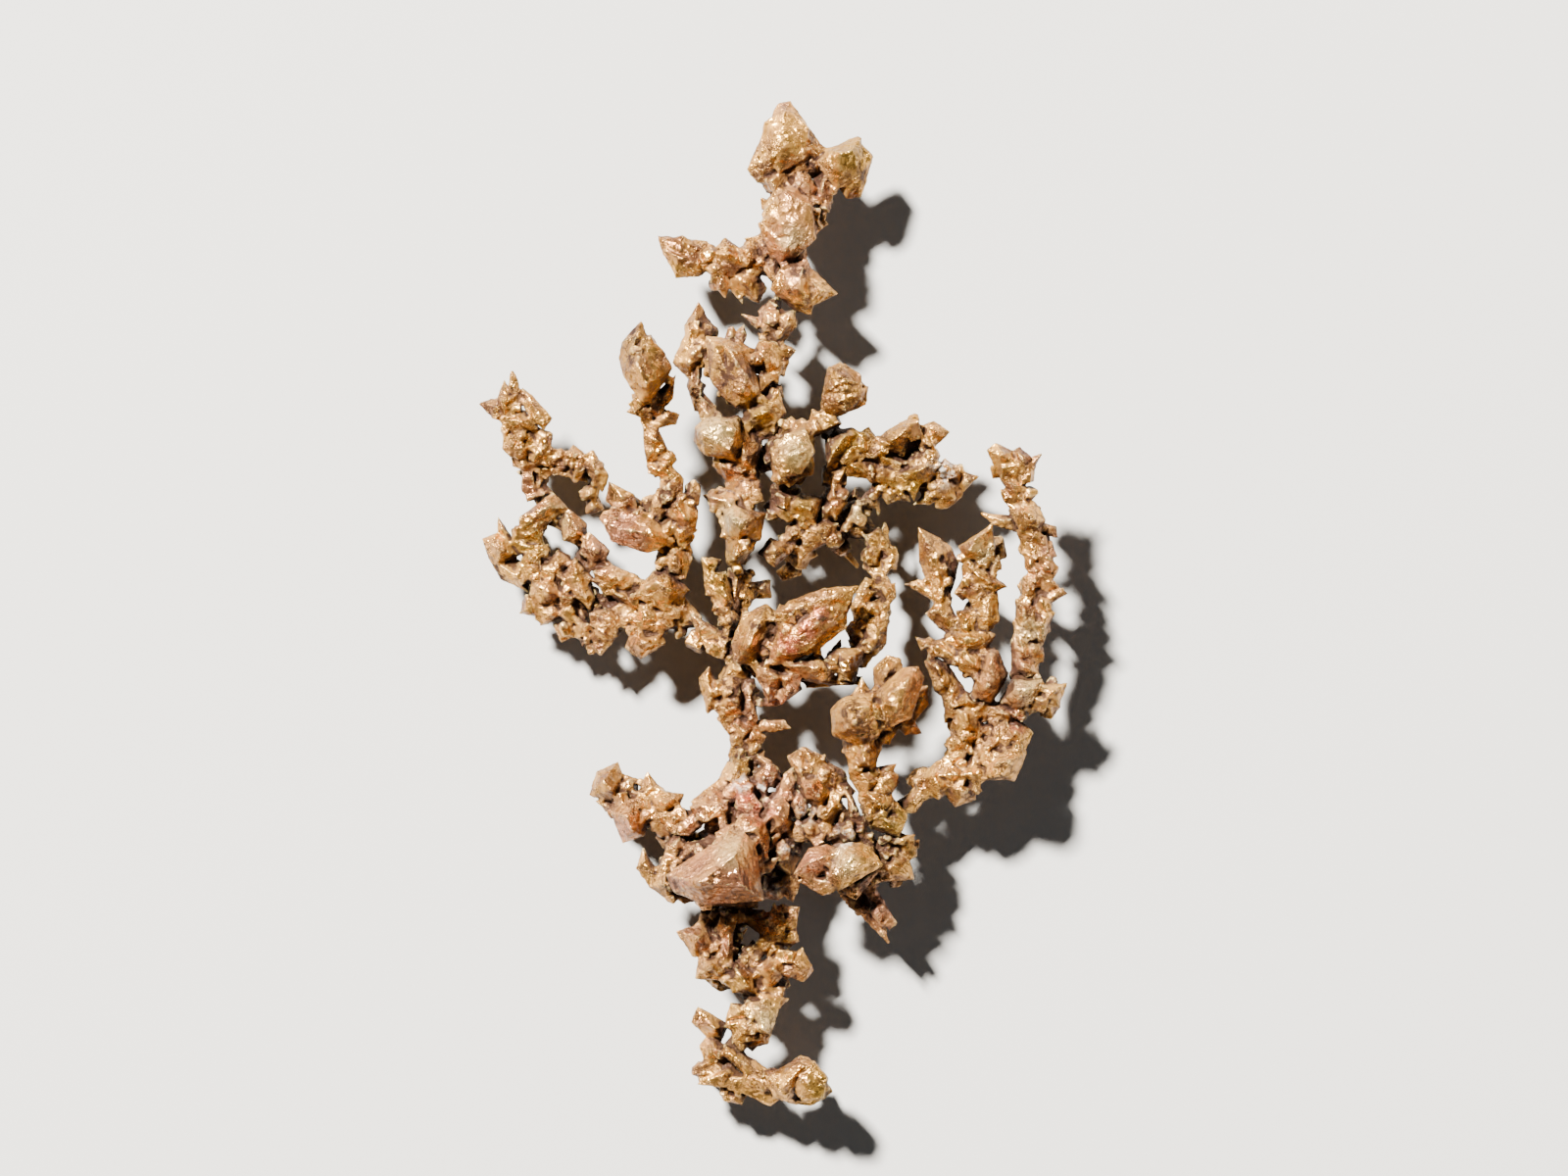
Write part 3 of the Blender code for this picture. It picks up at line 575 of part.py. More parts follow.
def upper_trunk():
    """The trunk above the left branch, with its large bud and bright crystals."""
    plane = (-2.0, 5.0, 9.2, 0.04, -0.02)
    stem = [(-2.8, 3.6, 0.9), (-2.4, 6.4, 1.2), (-2.0, 8.6, 1.0), (-2.0, 10.4, 0.9),
            (-1.6, 12.6, 0.9), (-0.9, 15.0, 1.0), (-0.7, 17.0, 0.7), (-0.3, 18.8, 0.7),
            (-0.2, 20.6, 0.8), (0.2, 22.4, 0.6), (0.2, 24.4, 0.6)]
    side = [(-1.4, 16.8, 0.8), (-3.2, 18.4, 0.9), (-5.2, 20.2, 0.7), (-6.4, 20.6, 0.7),
            (-6.0, 22.6, 0.5)]
    crystals = [
        gem(1.4, [(-3.8, 7.4), (-3.3, 7.8), (-2.6, 7.85), (-1.7, 7.6), (-0.95, 7.4),
                  (-0.7, 7.0), (-1.1, 5.3), (-2.1, 5.0), (-3.6, 5.4)],
            [(-3.2, 6.9), (-1.6, 6.9), (-2.6, 5.9)], 1.4),
        gem(1.1, [(-3.6, 5.6), (-1.2, 5.6), (-1.6, 4.4), (-2.2, 3.8), (-2.7, 3.15),
                  (-3.3, 3.1), (-3.6, 3.5), (-3.5, 4.4)], [(-2.7, 5.2), (-2.9, 3.9)], 1.2),
        gem(0.7, [(-4.35, 7.1), (-3.6, 7.3), (-3.4, 5.4), (-3.7, 5.25), (-4.15, 5.8)]),
        gem(0.3, [(-5.15, 9.0), (-4.4, 9.45), (-3.7, 9.4), (-2.9, 9.2), (-2.8, 8.6),
                  (-4.0, 8.6)]),
        gem(0.8, [(-5.45, 8.6), (-5.0, 8.9), (-2.9, 8.9), (-1.8, 8.8), (-1.8, 7.9),
                  (-3.4, 7.7), (-4.8, 7.9)], [(-4.4, 8.4), (-2.8, 8.3)], 0.9),
        gem(0.6, [(-4.9, 7.6), (-4.5, 7.9), (-3.7, 7.7), (-3.9, 7.1), (-4.4, 6.95)]),
        gem(0.7, [(-3.1, 9.7), (-2.2, 10.1), (-1.1, 10.0), (-1.0, 9.2), (-1.5, 8.5),
                  (-2.5, 8.7), (-3.1, 9.2)], [(-2.4, 9.5), (-1.7, 9.2)], 0.9),
        gem(0.7, [(-2.6, 10.0), (-2.0, 10.9), (-1.3, 10.8), (-1.0, 10.0), (-1.6, 9.6)]),
        gem(1.0, [(-4.7, 11.1), (-4.3, 11.8), (-3.0, 11.7), (-1.9, 10.8), (-2.3, 10.1),
                  (-3.4, 9.85), (-4.1, 10.3)], [(-3.8, 11.0), (-2.8, 10.6)], 1.0),
        gem(1.6, [(-6.1, 13.1), (-6.0, 14.1), (-5.3, 14.7), (-4.0, 14.9), (-2.8, 14.8),
                  (-2.6, 12.6), (-3.2, 11.6), (-4.7, 11.9), (-5.4, 12.2)],
            [(-5.6, 13.7), (-4.4, 14.4), (-2.9, 14.0), (-3.4, 12.4)], 1.2),
        gem(1.4, [(-3.1, 14.7), (-2.2, 14.1), (-1.3, 13.5), (-0.95, 12.8), (-1.2, 11.9),
                  (-1.5, 10.9), (-2.5, 10.9), (-3.2, 12.0)],
            [(-2.3, 13.4), (-2.2, 11.7)], 1.1),
        gem(0.2, [(-6.25, 16.3), (-5.7, 16.6), (-4.9, 15.7), (-4.0, 15.1), (-4.4, 14.4),
                  (-5.6, 14.6)], [(-5.6, 15.8), (-4.8, 15.0)], 0.6),
        gem(-0.8, [(-6.9, 17.3), (-6.0, 17.55), (-5.4, 16.7), (-4.6, 15.9), (-4.6, 15.2),
                   (-6.2, 15.6)]),
        gem(1.5, [(-5.1, 21.2), (-4.2, 21.15), (-2.9, 20.7), (-2.4, 18.6), (-3.8, 16.7),
                  (-4.6, 17.7), (-5.1, 19.2)], [(-4.6, 20.6), (-3.8, 18.6)], 1.3),
        gem(1.6, [(-4.0, 21.0), (-3.0, 20.7), (-1.9, 20.1), (-1.3, 18.2), (-1.1, 16.8),
                  (-1.7, 15.9), (-2.9, 16.0), (-4.0, 16.9), (-3.4, 18.8)],
            [(-3.2, 20.0), (-2.1, 18.2), (-2.3, 17.0)], 1.3),
        gem(0.9, [(-5.45, 19.3), (-4.8, 19.6), (-3.6, 17.4), (-3.0, 16.2), (-3.5, 16.0),
                  (-4.5, 17.4)]),
        spear((-3.6, 20.4, 0.2), (-3.2, 22.5, 0.2), 1.0),
        spear((-2.7, 20.4, 0.2), (-2.3, 22.5, 0.2), 1.0),
        gem(0.9, [(-3.3, 21.4), (-2.8, 21.45), (-1.5, 20.3), (-1.7, 19.8), (-3.0, 20.5)]),
        gem(0.3, [(-6.0, 21.4), (-5.4, 21.75), (-4.8, 21.1), (-4.8, 19.9), (-5.6, 19.5),
                  (-6.0, 20.2)], [(-5.5, 21.1), (-5.3, 20.3)], 0.7),
        gem(-0.6, [(-7.0, 21.3), (-6.0, 21.4), (-5.5, 20.0), (-5.6, 18.9), (-6.5, 18.0),
                   (-7.9, 19.4), (-7.4, 20.4)], [(-6.7, 20.5), (-6.6, 19.3)], 0.9),
        gem(-0.7, [(-5.85, 24.1), (-6.4, 23.4), (-6.95, 22.3), (-6.8, 21.2), (-5.9, 20.9),
                   (-5.1, 21.4), (-5.0, 22.6)], [(-6.2, 23.0), (-6.3, 22.0)], 0.8),
        nub(-4.9, 21.8, -0.6, 0.8),
        gem(1.2, [(-2.3, 15.8), (-1.3, 15.8), (-0.1, 16.7), (0.1, 15.2), (-0.3, 14.0),
                  (-1.3, 13.9), (-2.15, 14.4)], [(-1.4, 15.1), (-0.4, 15.4)], 1.1),
        gem(1.1, [(-0.5, 16.4), (0.3, 17.0), (0.85, 16.4), (1.05, 15.3), (0.5, 14.4),
                  (0.1, 13.6), (-0.3, 14.2), (-0.2, 15.4)], [(0.1, 16.1), (0.3, 14.9)], 1.1),
        gem(0.8, [(-2.0, 14.0), (-0.6, 14.3), (0.15, 14.1), (0.0, 13.3), (-1.1, 13.2)]),
        gem(0.4, [(-0.2, 17.1), (0.5, 17.65), (0.9, 17.3), (0.9, 16.6), (0.1, 16.5)]),
        gem(0.5, [(-1.5, 17.1), (-0.2, 17.4), (0.0, 16.6), (-1.0, 16.0)]),
        gem(1.1, [(-1.0, 21.05), (-1.5, 19.9), (-1.1, 18.8), (-0.3, 18.6), (0.6, 18.9),
                  (0.55, 20.0), (0.3, 20.9)], [(-0.9, 20.2), (-0.3, 19.3)], 1.1),
        gem(0.9, [(-0.9, 18.9), (-0.7, 17.9), (0.4, 17.7), (0.65, 18.3), (0.75, 18.8),
                  (-0.1, 19.2)], [(-0.3, 18.4), (0.3, 18.5)], 0.8),
        gem(0.6, [(0.2, 20.9), (0.9, 21.0), (1.3, 20.5), (1.8, 20.45), (1.8, 20.1),
                  (1.2, 19.4), (0.6, 18.8), (0.4, 19.6)], [(0.8, 20.4), (0.8, 19.7)], 0.8),
        gem(0.5, [(-1.35, 21.75), (-1.0, 21.85), (-0.2, 21.5), (-0.5, 20.9), (-1.2, 21.2)]),
        gem(0.5, [(-0.7, 21.4), (0.3, 21.4), (0.6, 20.8), (-0.7, 20.7)]),
        gem(0.4, [(-0.1, 21.3), (0.7, 21.5), (1.15, 21.8), (1.0, 22.2), (0.1, 22.3)]),
        gem(0.7, [(0.0, 24.3), (0.5, 23.8), (0.7, 22.8), (0.9, 22.2), (0.3, 21.9),
                  (-0.1, 22.9)], [(0.2, 23.6), (0.5, 22.5)], 0.6),
        gem(0.4, [(0.5, 23.0), (1.5, 23.1), (1.6, 22.7), (1.1, 22.3), (0.6, 22.4)]),
        gem(0.2, [(-1.2, 23.5), (-0.6, 24.2), (0.2, 24.0), (0.1, 22.7), (-0.8, 22.7)]),
        gem(0.4, [(-2.65, 23.1), (-2.0, 23.3), (-1.3, 23.1), (-0.7, 22.4), (-1.1, 22.1),
                  (-1.7, 22.2)], [(-2.0, 22.8), (-1.3, 22.6)], 0.6),
        spear((-1.4, 22.6, 0.2), (-0.3, 23.0, 0.1), 0.7),
        spur(-2.4, 11.6, -0.3, -0.1, 0.1, 2.0, 4.4),
    ]
    return plane, [stem, side], crystals


def paddle_twig():
    """The twig right of the trunk, with a paddle crystal at its end."""
    plane = (1.0, 12.0, 9.8, 0.22, 0.18)
    stem = [(-0.5, 11.6, 0.7), (0.9, 12.2, 0.9), (2.4, 13.6, 0.9), (3.8, 14.6, 0.7),
            (4.9, 16.0, 0.8)]
    crystals = [
        gem(0.8, [(0.2, 12.9), (0.8, 13.6), (1.6, 14.1), (2.4, 14.4), (3.0, 14.25),
                  (3.0, 12.6), (1.2, 12.0), (0.2, 12.2)],
            [(1.5, 13.5), (2.6, 13.9), (2.6, 13.0), (1.3, 12.5)], 1.2),
        gem(1.0, [(2.6, 14.3), (3.05, 14.2), (3.35, 13.6), (3.45, 12.8), (3.4, 11.1),
                  (2.9, 10.4), (2.1, 10.3), (2.2, 12.6)], [(2.8, 13.4), (2.4, 11.3)], 1.3),
        gem(0.9, [(0.0, 12.2), (2.7, 12.7), (2.4, 10.9), (1.2, 10.2), (0.2, 10.4),
                  (-0.05, 11.2)], [(0.6, 11.4), (2.1, 11.4)], 1.3),
        gem(0.3, [(0.3, 10.5), (1.6, 11.0), (3.0, 10.7), (2.2, 9.65), (1.5, 9.7),
                  (0.6, 10.1)], [(1.2, 10.4), (2.0, 10.2)], 0.8),
        nub(0.5, 9.9, -0.3, 0.8),
        nub(1.5, 9.9, -0.4, 0.8),
        gem(0.1, [(0.4, 14.9), (0.9, 15.15), (1.5, 15.05), (2.3, 14.6), (2.2, 14.3),
                  (1.4, 13.8), (0.5, 13.7)], [(1.2, 14.7), (1.2, 14.2)], 0.7),
        gem(-0.4, [(0.2, 14.0), (0.8, 14.2), (1.0, 13.0), (0.2, 12.8)]),
        gem(-0.6, [(-1.0, 12.9), (0.3, 13.0), (0.4, 11.0), (-0.9, 10.6)]),
        gem(0.5, [(3.0, 14.6), (3.1, 15.2), (3.9, 15.6), (4.7, 15.5), (5.0, 15.1),
                  (4.3, 14.5), (3.5, 13.8)], [(3.6, 15.1), (4.1, 14.9)], 0.8),
        gem(-0.4, [(3.6, 13.9), (3.8, 14.8), (5.2, 15.4), (5.45, 14.7), (4.7, 14.2)]),
        gem(0.8, [(5.1, 19.15), (5.7, 19.05), (7.1, 17.9), (7.3, 17.3), (5.2, 16.8),
                  (4.1, 16.9), (4.25, 17.8), (4.6, 18.9)],
            [(5.3, 18.3), (6.2, 17.8), (4.9, 17.4)], 1.1),
        gem(0.8, [(4.1, 17.1), (7.4, 17.4), (7.45, 16.7), (7.3, 16.1), (6.8, 15.7),
                  (5.3, 15.15), (4.6, 15.5), (4.0, 15.7)],
            [(5.0, 16.5), (6.6, 16.7), (5.4, 15.9)], 1.2),
        spur(2.2, 12.2, -0.4, 0.0, 0.1, 1.7, 3.4),
    ]
    return plane, stem, crystals


def right_upper_branch():
    """The tangled branch on the upper right."""
    plane = (1.0, 7.0, 8.4, -0.04, 0.12)
    stem = [(-0.4, 7.3, 0.6), (0.9, 7.6, 0.7), (2.4, 7.6, 0.8), (4.4, 7.8, 0.8),
            (4.9, 9.6, 0.7), (5.6, 11.4, 0.9), (7.4, 11.4, 0.9), (9.4, 11.9, 1.0),
            (11.2, 12.6, 0.9), (12.4, 13.6, 0.7)]
    side = [(8.6, 11.4, 0.9), (9.8, 10.2, 0.9), (11.6, 10.0, 0.9), (13.4, 9.8, 0.9),
            (15.0, 9.8, 0.8)]
    lower = [(2.6, 7.4, 0.6), (3.0, 5.6, 0.7), (4.4, 5.8, 0.7), (6.0, 6.6, 0.6),
             (7.2, 8.2, 0.6), (8.4, 9.2, 0.7), (9.4, 10.4, 0.7)]
    crystals = [
        gem(0.7, [(-0.75, 7.2), (-0.1, 7.8), (0.35, 8.1), (0.8, 7.9), (0.8, 7.0),
                  (-0.3, 6.8)], [(-0.1, 7.4), (0.4, 7.5)], 0.8),
        gem(0.8, [(0.3, 8.1), (0.7, 8.9), (1.05, 9.25), (1.65, 9.25), (1.75, 8.8),
                  (1.2, 7.9), (0.6, 7.7)], [(0.9, 8.6), (1.2, 8.4)], 0.8),
        gem(0.1, [(-0.35, 8.7), (0.1, 9.25), (0.9, 9.2), (0.7, 8.4), (-0.1, 8.3)]),
        gem(1.1, [(1.1, 7.9), (1.6, 8.6), (2.1, 8.85), (3.3, 8.75), (3.9, 8.4),
                  (3.6, 7.6), (3.4, 6.7), (2.8, 6.6), (1.2, 7.2)],
            [(2.0, 8.0), (3.0, 7.7)], 1.2),
        gem(0.8, [(0.9, 7.3), (1.3, 7.5), (2.3, 7.4), (2.3, 6.9), (1.3, 6.9)]),
        nub(2.2, 6.7, 0.4, 0.8),
        spear((3.5, 7.8, 0.4), (4.7, 9.2, 0.6), 0.9),
        gem(1.0, [(4.15, 8.2), (4.4, 8.65), (4.9, 8.8), (5.6, 8.65), (5.85, 8.2),
                  (5.3, 7.3), (5.0, 6.75), (4.4, 7.6)], [(4.9, 8.1), (5.0, 7.4)], 0.9),
        gem(-0.4, [(3.4, 7.2), (3.9, 8.2), (4.5, 7.8), (4.8, 6.8), (3.6, 6.6)]),
        gem(0.8, [(1.05, 6.2), (1.4, 6.45), (1.9, 6.5), (2.5, 6.0), (2.5, 5.4),
                  (1.8, 5.0), (1.05, 5.0)], [(1.5, 6.0), (1.9, 5.5)], 0.9),
        gem(-0.6, [(1.4, 6.0), (2.9, 6.4), (3.0, 5.2), (1.6, 5.0)]),
        gem(1.4, [(-1.05, 4.2), (-0.2, 5.35), (0.4, 5.15), (1.1, 4.7), (1.35, 4.2),
                  (0.9, 3.7), (0.15, 3.1), (-0.4, 3.8)],
            [(0.1, 4.6), (0.3, 4.0)], 1.1),
        gem(-0.3, [(0.4, 5.6), (1.6, 5.4), (1.8, 4.4), (0.6, 3.9)]),
        gem(0.9, [(2.6, 6.0), (3.4, 6.35), (3.7, 6.75), (4.7, 6.75), (5.25, 6.2),
                  (4.8, 5.4), (3.9, 5.0), (2.8, 5.1)], [(3.6, 6.1), (4.4, 5.9)], 1.0),
        gem(0.6, [(2.05, 4.5), (2.6, 5.2), (3.4, 5.4), (4.7, 5.3), (4.5, 4.9),
                  (3.3, 4.6), (2.7, 4.0), (2.2, 4.1)], [(2.9, 4.9), (3.9, 5.0)], 0.8),
        gem(-0.7, [(1.4, 4.6), (3.2, 4.8), (3.6, 4.0), (2.6, 3.4), (1.4, 3.6)]),
        gem(-1.2, [(0.3, 2.7), (1.5, 3.6), (2.4, 3.4), (2.35, 2.6), (1.8, 2.15),
                   (0.8, 1.95)], [(1.0, 2.7), (1.8, 2.8)], 0.6),
        gem(-0.6, [(4.4, 5.4), (5.9, 5.3), (6.3, 4.6), (5.8, 3.9), (5.2, 4.0),
                   (4.6, 4.6)]),
        spear((5.6, 4.6, -0.8), (6.9, 2.9, -1.0), 0.9),
        gem(-0.6, [(5.0, 6.9), (6.8, 7.6), (8.0, 6.4), (7.2, 5.3), (5.4, 5.4)]),
        gem(0.9, [(6.35, 8.0), (6.8, 8.05), (7.15, 7.8), (7.5, 6.4), (7.1, 6.0),
                  (6.2, 6.8), (6.4, 7.3)], [(6.8, 7.5), (6.9, 6.8)], 0.8),
        gem(0.3, [(5.9, 8.4), (6.3, 9.1), (6.5, 9.45), (6.85, 9.2), (7.0, 8.4),
                  (6.3, 8.2)]),
        gem(0.2, [(7.0, 8.2), (7.6, 8.8), (8.4, 8.6), (8.3, 7.8), (7.4, 7.7)]),
        gem(0.4, [(7.9, 9.7), (8.7, 9.7), (8.8, 9.1), (8.4, 8.4), (7.9, 8.6)]),
        spear((8.4, 8.4, 0.0), (8.4, 7.0, 0.1), 0.7),
        gem(0.9, [(4.45, 11.0), (5.2, 11.4), (5.5, 10.4), (5.6, 9.2), (5.2, 8.8),
                  (4.4, 9.0), (4.3, 10.2)], [(4.9, 10.7), (4.9, 9.5)], 0.8),
        gem(1.2, [(4.15, 13.6), (4.5, 14.0), (5.9, 14.1), (6.5, 13.95), (7.1, 13.6),
                  (6.6, 12.6), (5.2, 11.9), (4.8, 11.2), (4.3, 11.2), (4.2, 12.2)],
            [(5.9, 13.5), (5.1, 12.9), (4.8, 12.1)], 1.2),
        gem(0.7, [(4.1, 13.6), (4.95, 14.4), (5.4, 13.8), (4.8, 13.0)]),
        gem(0.9, [(6.9, 13.7), (7.65, 14.15), (7.8, 13.5), (8.35, 13.1), (8.2, 12.4),
                  (7.2, 11.5), (6.6, 11.6), (6.3, 12.6)], [(7.2, 13.2), (7.3, 12.4)], 1.1),
        gem(1.0, [(5.05, 11.6), (5.8, 11.9), (6.9, 11.8), (7.4, 11.2), (8.0, 10.8),
                  (7.9, 10.1), (6.4, 10.2), (5.4, 10.4)], [(6.0, 11.3), (7.1, 10.8)], 1.1),
        gem(0.9, [(7.8, 10.6), (8.2, 11.1), (9.0, 11.1), (9.7, 10.5), (9.75, 9.9),
                  (9.2, 9.6), (8.1, 9.9)], [(8.6, 10.7), (9.1, 10.2)], 0.9),
        gem(0.6, [(7.6, 12.1), (8.0, 12.4), (8.6, 12.5), (10.1, 11.9), (9.8, 11.0),
                  (8.6, 10.9), (7.8, 11.2)], [(8.3, 11.9), (9.2, 11.6)], 1.0),
        gem(1.2, [(8.35, 13.0), (8.9, 13.6), (9.6, 14.15), (11.0, 14.85), (11.4, 14.5),
                  (11.0, 13.6), (10.4, 12.2), (9.0, 12.2), (8.4, 12.5)],
            [(9.4, 13.3), (10.6, 14.0), (9.9, 12.8)], 1.2),
        gem(0.9, [(10.9, 14.7), (12.0, 14.4), (12.4, 13.2), (12.2, 12.1), (11.6, 12.3),
                  (11.8, 13.2), (11.2, 13.8)], [(11.6, 13.9), (12.0, 12.9)], 0.8),
        gem(-0.5, [(10.5, 13.4), (11.8, 13.6), (12.1, 12.0), (10.6, 11.9)], None, 0.4, 1.2),
        gem(0.7, [(11.9, 14.3), (12.5, 14.55), (13.3, 14.5), (14.0, 14.1), (13.9, 13.4),
                  (13.1, 12.85), (12.1, 13.1)], [(12.7, 14.0), (13.3, 13.7)], 1.0),
        gem(0.6, [(11.0, 11.6), (11.9, 12.1), (12.2, 12.35), (12.6, 12.0), (12.2, 11.3),
                  (11.4, 11.2)]),
        gem(0.6, [(9.8, 11.6), (10.4, 12.0), (11.1, 11.8), (10.9, 11.0), (10.0, 11.0)]),
        gem(1.2, [(10.1, 10.5), (11.0, 11.0), (12.2, 11.7), (12.65, 11.75), (12.9, 11.3),
                  (12.9, 10.4), (12.4, 9.8), (10.3, 9.9)],
            [(11.2, 10.5), (12.3, 11.1)], 1.1),
        gem(1.0, [(10.5, 9.9), (11.4, 10.3), (12.1, 10.2), (11.8, 9.4), (11.35, 8.4),
                  (10.9, 8.9)], [(11.2, 9.8), (11.4, 9.1)], 0.9),
        gem(0.4, [(8.6, 9.6), (9.6, 9.8), (10.1, 9.2), (9.9, 8.4), (9.2, 8.1),
                  (8.7, 8.7)], [(9.1, 9.2), (9.5, 8.8)], 0.8),
        gem(0.5, [(10.0, 9.7), (10.7, 9.5), (11.1, 8.6), (10.7, 8.15), (10.0, 8.5)]),
        gem(0.4, [(11.2, 8.2), (11.8, 8.7), (12.8, 8.7), (12.6, 8.0), (11.7, 7.85)]),
        gem(0.3, [(11.9, 9.7), (12.9, 9.9), (13.1, 9.2), (12.7, 8.6), (11.9, 8.9)]),
        gem(0.9, [(12.8, 10.9), (13.3, 11.4), (14.0, 11.7), (14.5, 11.4), (14.3, 10.4),
                  (13.2, 10.0)], [(13.5, 11.0), (14.0, 10.8)], 0.9),
        gem(0.7, [(14.2, 11.0), (15.1, 11.25), (15.3, 10.5), (14.9, 9.7), (14.0, 10.0)]),
        gem(0.6, [(12.8, 10.2), (14.4, 10.2), (14.6, 9.2), (13.9, 8.6), (12.9, 9.0)],
            [(13.5, 9.8), (13.8, 9.2)], 0.9),
        gem(0.3, [(12.9, 8.9), (14.2, 9.0), (14.9, 8.5), (14.0, 7.75), (13.1, 7.8)]),
        gem(0.2, [(14.4, 9.5), (15.4, 9.4), (15.3, 8.8), (14.6, 8.5)]),
        gem(0.7, [(14.9, 10.4), (15.4, 10.6), (16.2, 10.45), (16.45, 10.2), (15.8, 9.3),
                  (15.1, 9.1)], [(15.4, 10.1), (15.6, 9.8)], 0.8),
        spur(10.8, 11.6, -0.4, 0.1, 0.0, 2.2),
        spur(4.8, 7.8, -0.4, 0.0, -0.1, 1.8, 3.6),
    ]
    return plane, [stem, side, lower], crystals


def crown():
    """The crown: spires, a lantern-shaped crystal and a twig on its left."""
    plane = (1.0, 27.0, 8.8, 0.06, -0.10)
    stem = [(0.3, 25.2, 0.7), (0.8, 27.4, 0.8), (1.0, 29.6, 1.0), (1.2, 31.8, 1.0),
            (1.4, 34.0, 1.1), (1.2, 36.8, 1.0)]
    side = [(0.4, 26.6, 0.7), (-1.4, 27.0, 0.7), (-3.6, 27.6, 0.8), (-5.6, 27.6, 0.8),
            (-7.4, 28.0, 0.8)]
    crystals = [
        gem(1.3, [(0.6, 39.8), (1.3, 39.85), (2.1, 39.0), (2.0, 37.4), (0.5, 34.3),
                  (-1.1, 34.0), (-1.75, 35.0), (-1.2, 36.6), (-0.1, 38.9)],
            [(0.9, 39.2), (0.5, 36.4), (-0.4, 35.2)], 1.4),
        gem(1.1, [(1.8, 39.2), (3.6, 37.0), (3.6, 36.0), (2.8, 34.4), (0.4, 34.1),
                  (1.2, 36.4)], [(2.1, 37.8), (2.5, 36.0)], 1.3),
        gem(1.0, [(2.2, 37.3), (3.6, 36.6), (4.25, 36.1), (3.4, 34.6), (2.2, 33.3),
                  (0.3, 33.9), (0.9, 35.4)], [(2.5, 35.8), (1.8, 34.6)], 1.0),
        gem(0.6, [(-0.8, 34.3), (1.0, 34.4), (1.2, 33.2), (0.2, 32.9), (-0.7, 33.4)]),
        gem(0.9, [(4.2, 36.1), (5.2, 36.7), (6.6, 37.15), (6.95, 37.1), (7.2, 35.6),
                  (7.0, 34.0), (5.2, 33.4), (4.3, 34.5), (3.7, 35.4)],
            [(5.4, 36.0), (6.4, 36.3), (5.4, 34.6)], 1.2),
        gem(0.7, [(6.8, 37.1), (7.95, 35.7), (7.4, 34.3), (7.3, 33.3), (6.9, 32.6),
                  (6.0, 32.6), (5.2, 33.2), (6.6, 34.4)], [(7.1, 35.4), (6.8, 33.8)], 0.9),
        gem(0.8, [(3.7, 35.1), (4.9, 34.95), (5.4, 34.2), (4.7, 32.3), (4.1, 31.85),
                  (3.3, 31.9), (2.9, 33.0)], [(4.1, 34.2), (3.9, 32.9)], 0.9),
        gem(1.3, [(0.4, 33.2), (2.0, 33.3), (3.0, 32.1), (2.9, 30.8), (1.4, 30.0),
                  (-0.3, 30.6), (-0.7, 31.2), (0.0, 32.5)],
            [(1.4, 32.6), (1.1, 31.0), (2.2, 31.2)], 1.2),
        gem(1.3, [(-0.9, 30.4), (1.0, 31.0), (3.2, 31.0), (3.7, 30.2), (3.1, 29.2),
                  (1.6, 27.6), (0.6, 27.4), (-0.1, 28.2), (-0.5, 29.6)],
            [(0.9, 30.0), (2.4, 30.1), (1.1, 28.4)], 1.2),
        nub(-0.6, 32.2, 0.5, 1.0),
        spear((0.2, 29.0, 0.7), (-2.35, 29.3, 0.6), 1.4),
        spear((2.8, 30.5, 0.6), (4.55, 30.4, 0.6), 1.0),
        nub(4.1, 31.6, 0.5, 0.9),
        nub(2.3, 27.8, 0.6, 0.9),
        gem(0.8, [(0.0, 25.3), (0.7, 26.6), (2.6, 27.4), (3.2, 26.2), (3.1, 24.2),
                  (3.0, 23.4), (1.8, 23.6), (0.8, 24.5)], [(1.4, 25.8), (2.2, 24.8)], 1.1),
        gem(0.8, [(2.2, 26.9), (3.6, 26.6), (5.05, 25.2), (4.4, 24.5), (3.0, 24.0),
                  (2.2, 25.4)], [(3.2, 25.8), (4.0, 25.1)], 0.9),
        gem(0.8, [(-9.05, 29.2), (-8.8, 29.55), (-6.9, 29.4), (-5.2, 28.8), (-4.8, 27.9),
                  (-6.3, 27.5), (-8.6, 28.2)], [(-8.2, 29.0), (-6.0, 28.4)], 0.9),
        gem(0.9, [(-8.9, 28.6), (-6.2, 28.0), (-4.9, 27.9), (-5.1, 26.9), (-6.0, 26.3),
                  (-7.4, 26.2), (-8.1, 26.9)], [(-7.6, 27.8), (-6.0, 27.2)], 0.9),
        gem(0.7, [(-5.0, 28.2), (-4.2, 29.0), (-3.2, 28.95), (-2.3, 28.3), (-1.8, 27.1),
                  (-2.1, 26.4), (-4.6, 26.9)], [(-4.0, 28.2), (-2.9, 27.6)], 1.0),
        gem(0.6, [(-4.95, 27.2), (-3.7, 27.1), (-4.0, 25.5), (-4.9, 25.8)]),
        gem(0.6, [(-2.0, 27.8), (-1.3, 28.25), (-0.3, 28.0), (0.3, 27.2), (-0.3, 26.2),
                  (-1.3, 26.5), (-1.9, 27.1)], [(-1.2, 27.6), (-0.6, 27.0)], 0.8),
        gem(0.2, [(-4.7, 25.5), (-3.5, 25.9), (-3.6, 24.7), (-4.0, 24.5)]),
        spear((-3.2, 25.9, 0.0), (-2.4, 23.9, -0.1), 1.0),
        gem(0.0, [(-3.7, 26.6), (-1.4, 26.7), (-0.6, 25.4), (-1.2, 24.2), (-2.4, 24.8),
                  (-3.4, 25.4)], [(-2.6, 26.0), (-1.6, 25.4)], 0.9),
        spur(1.6, 30.6, -0.4, 0.0, 0.1, 2.2),
        spur(-6.2, 27.6, -0.3, 0.1, -0.1, 1.8, 3.0),
    ]
    return plane, [stem, side], crystals


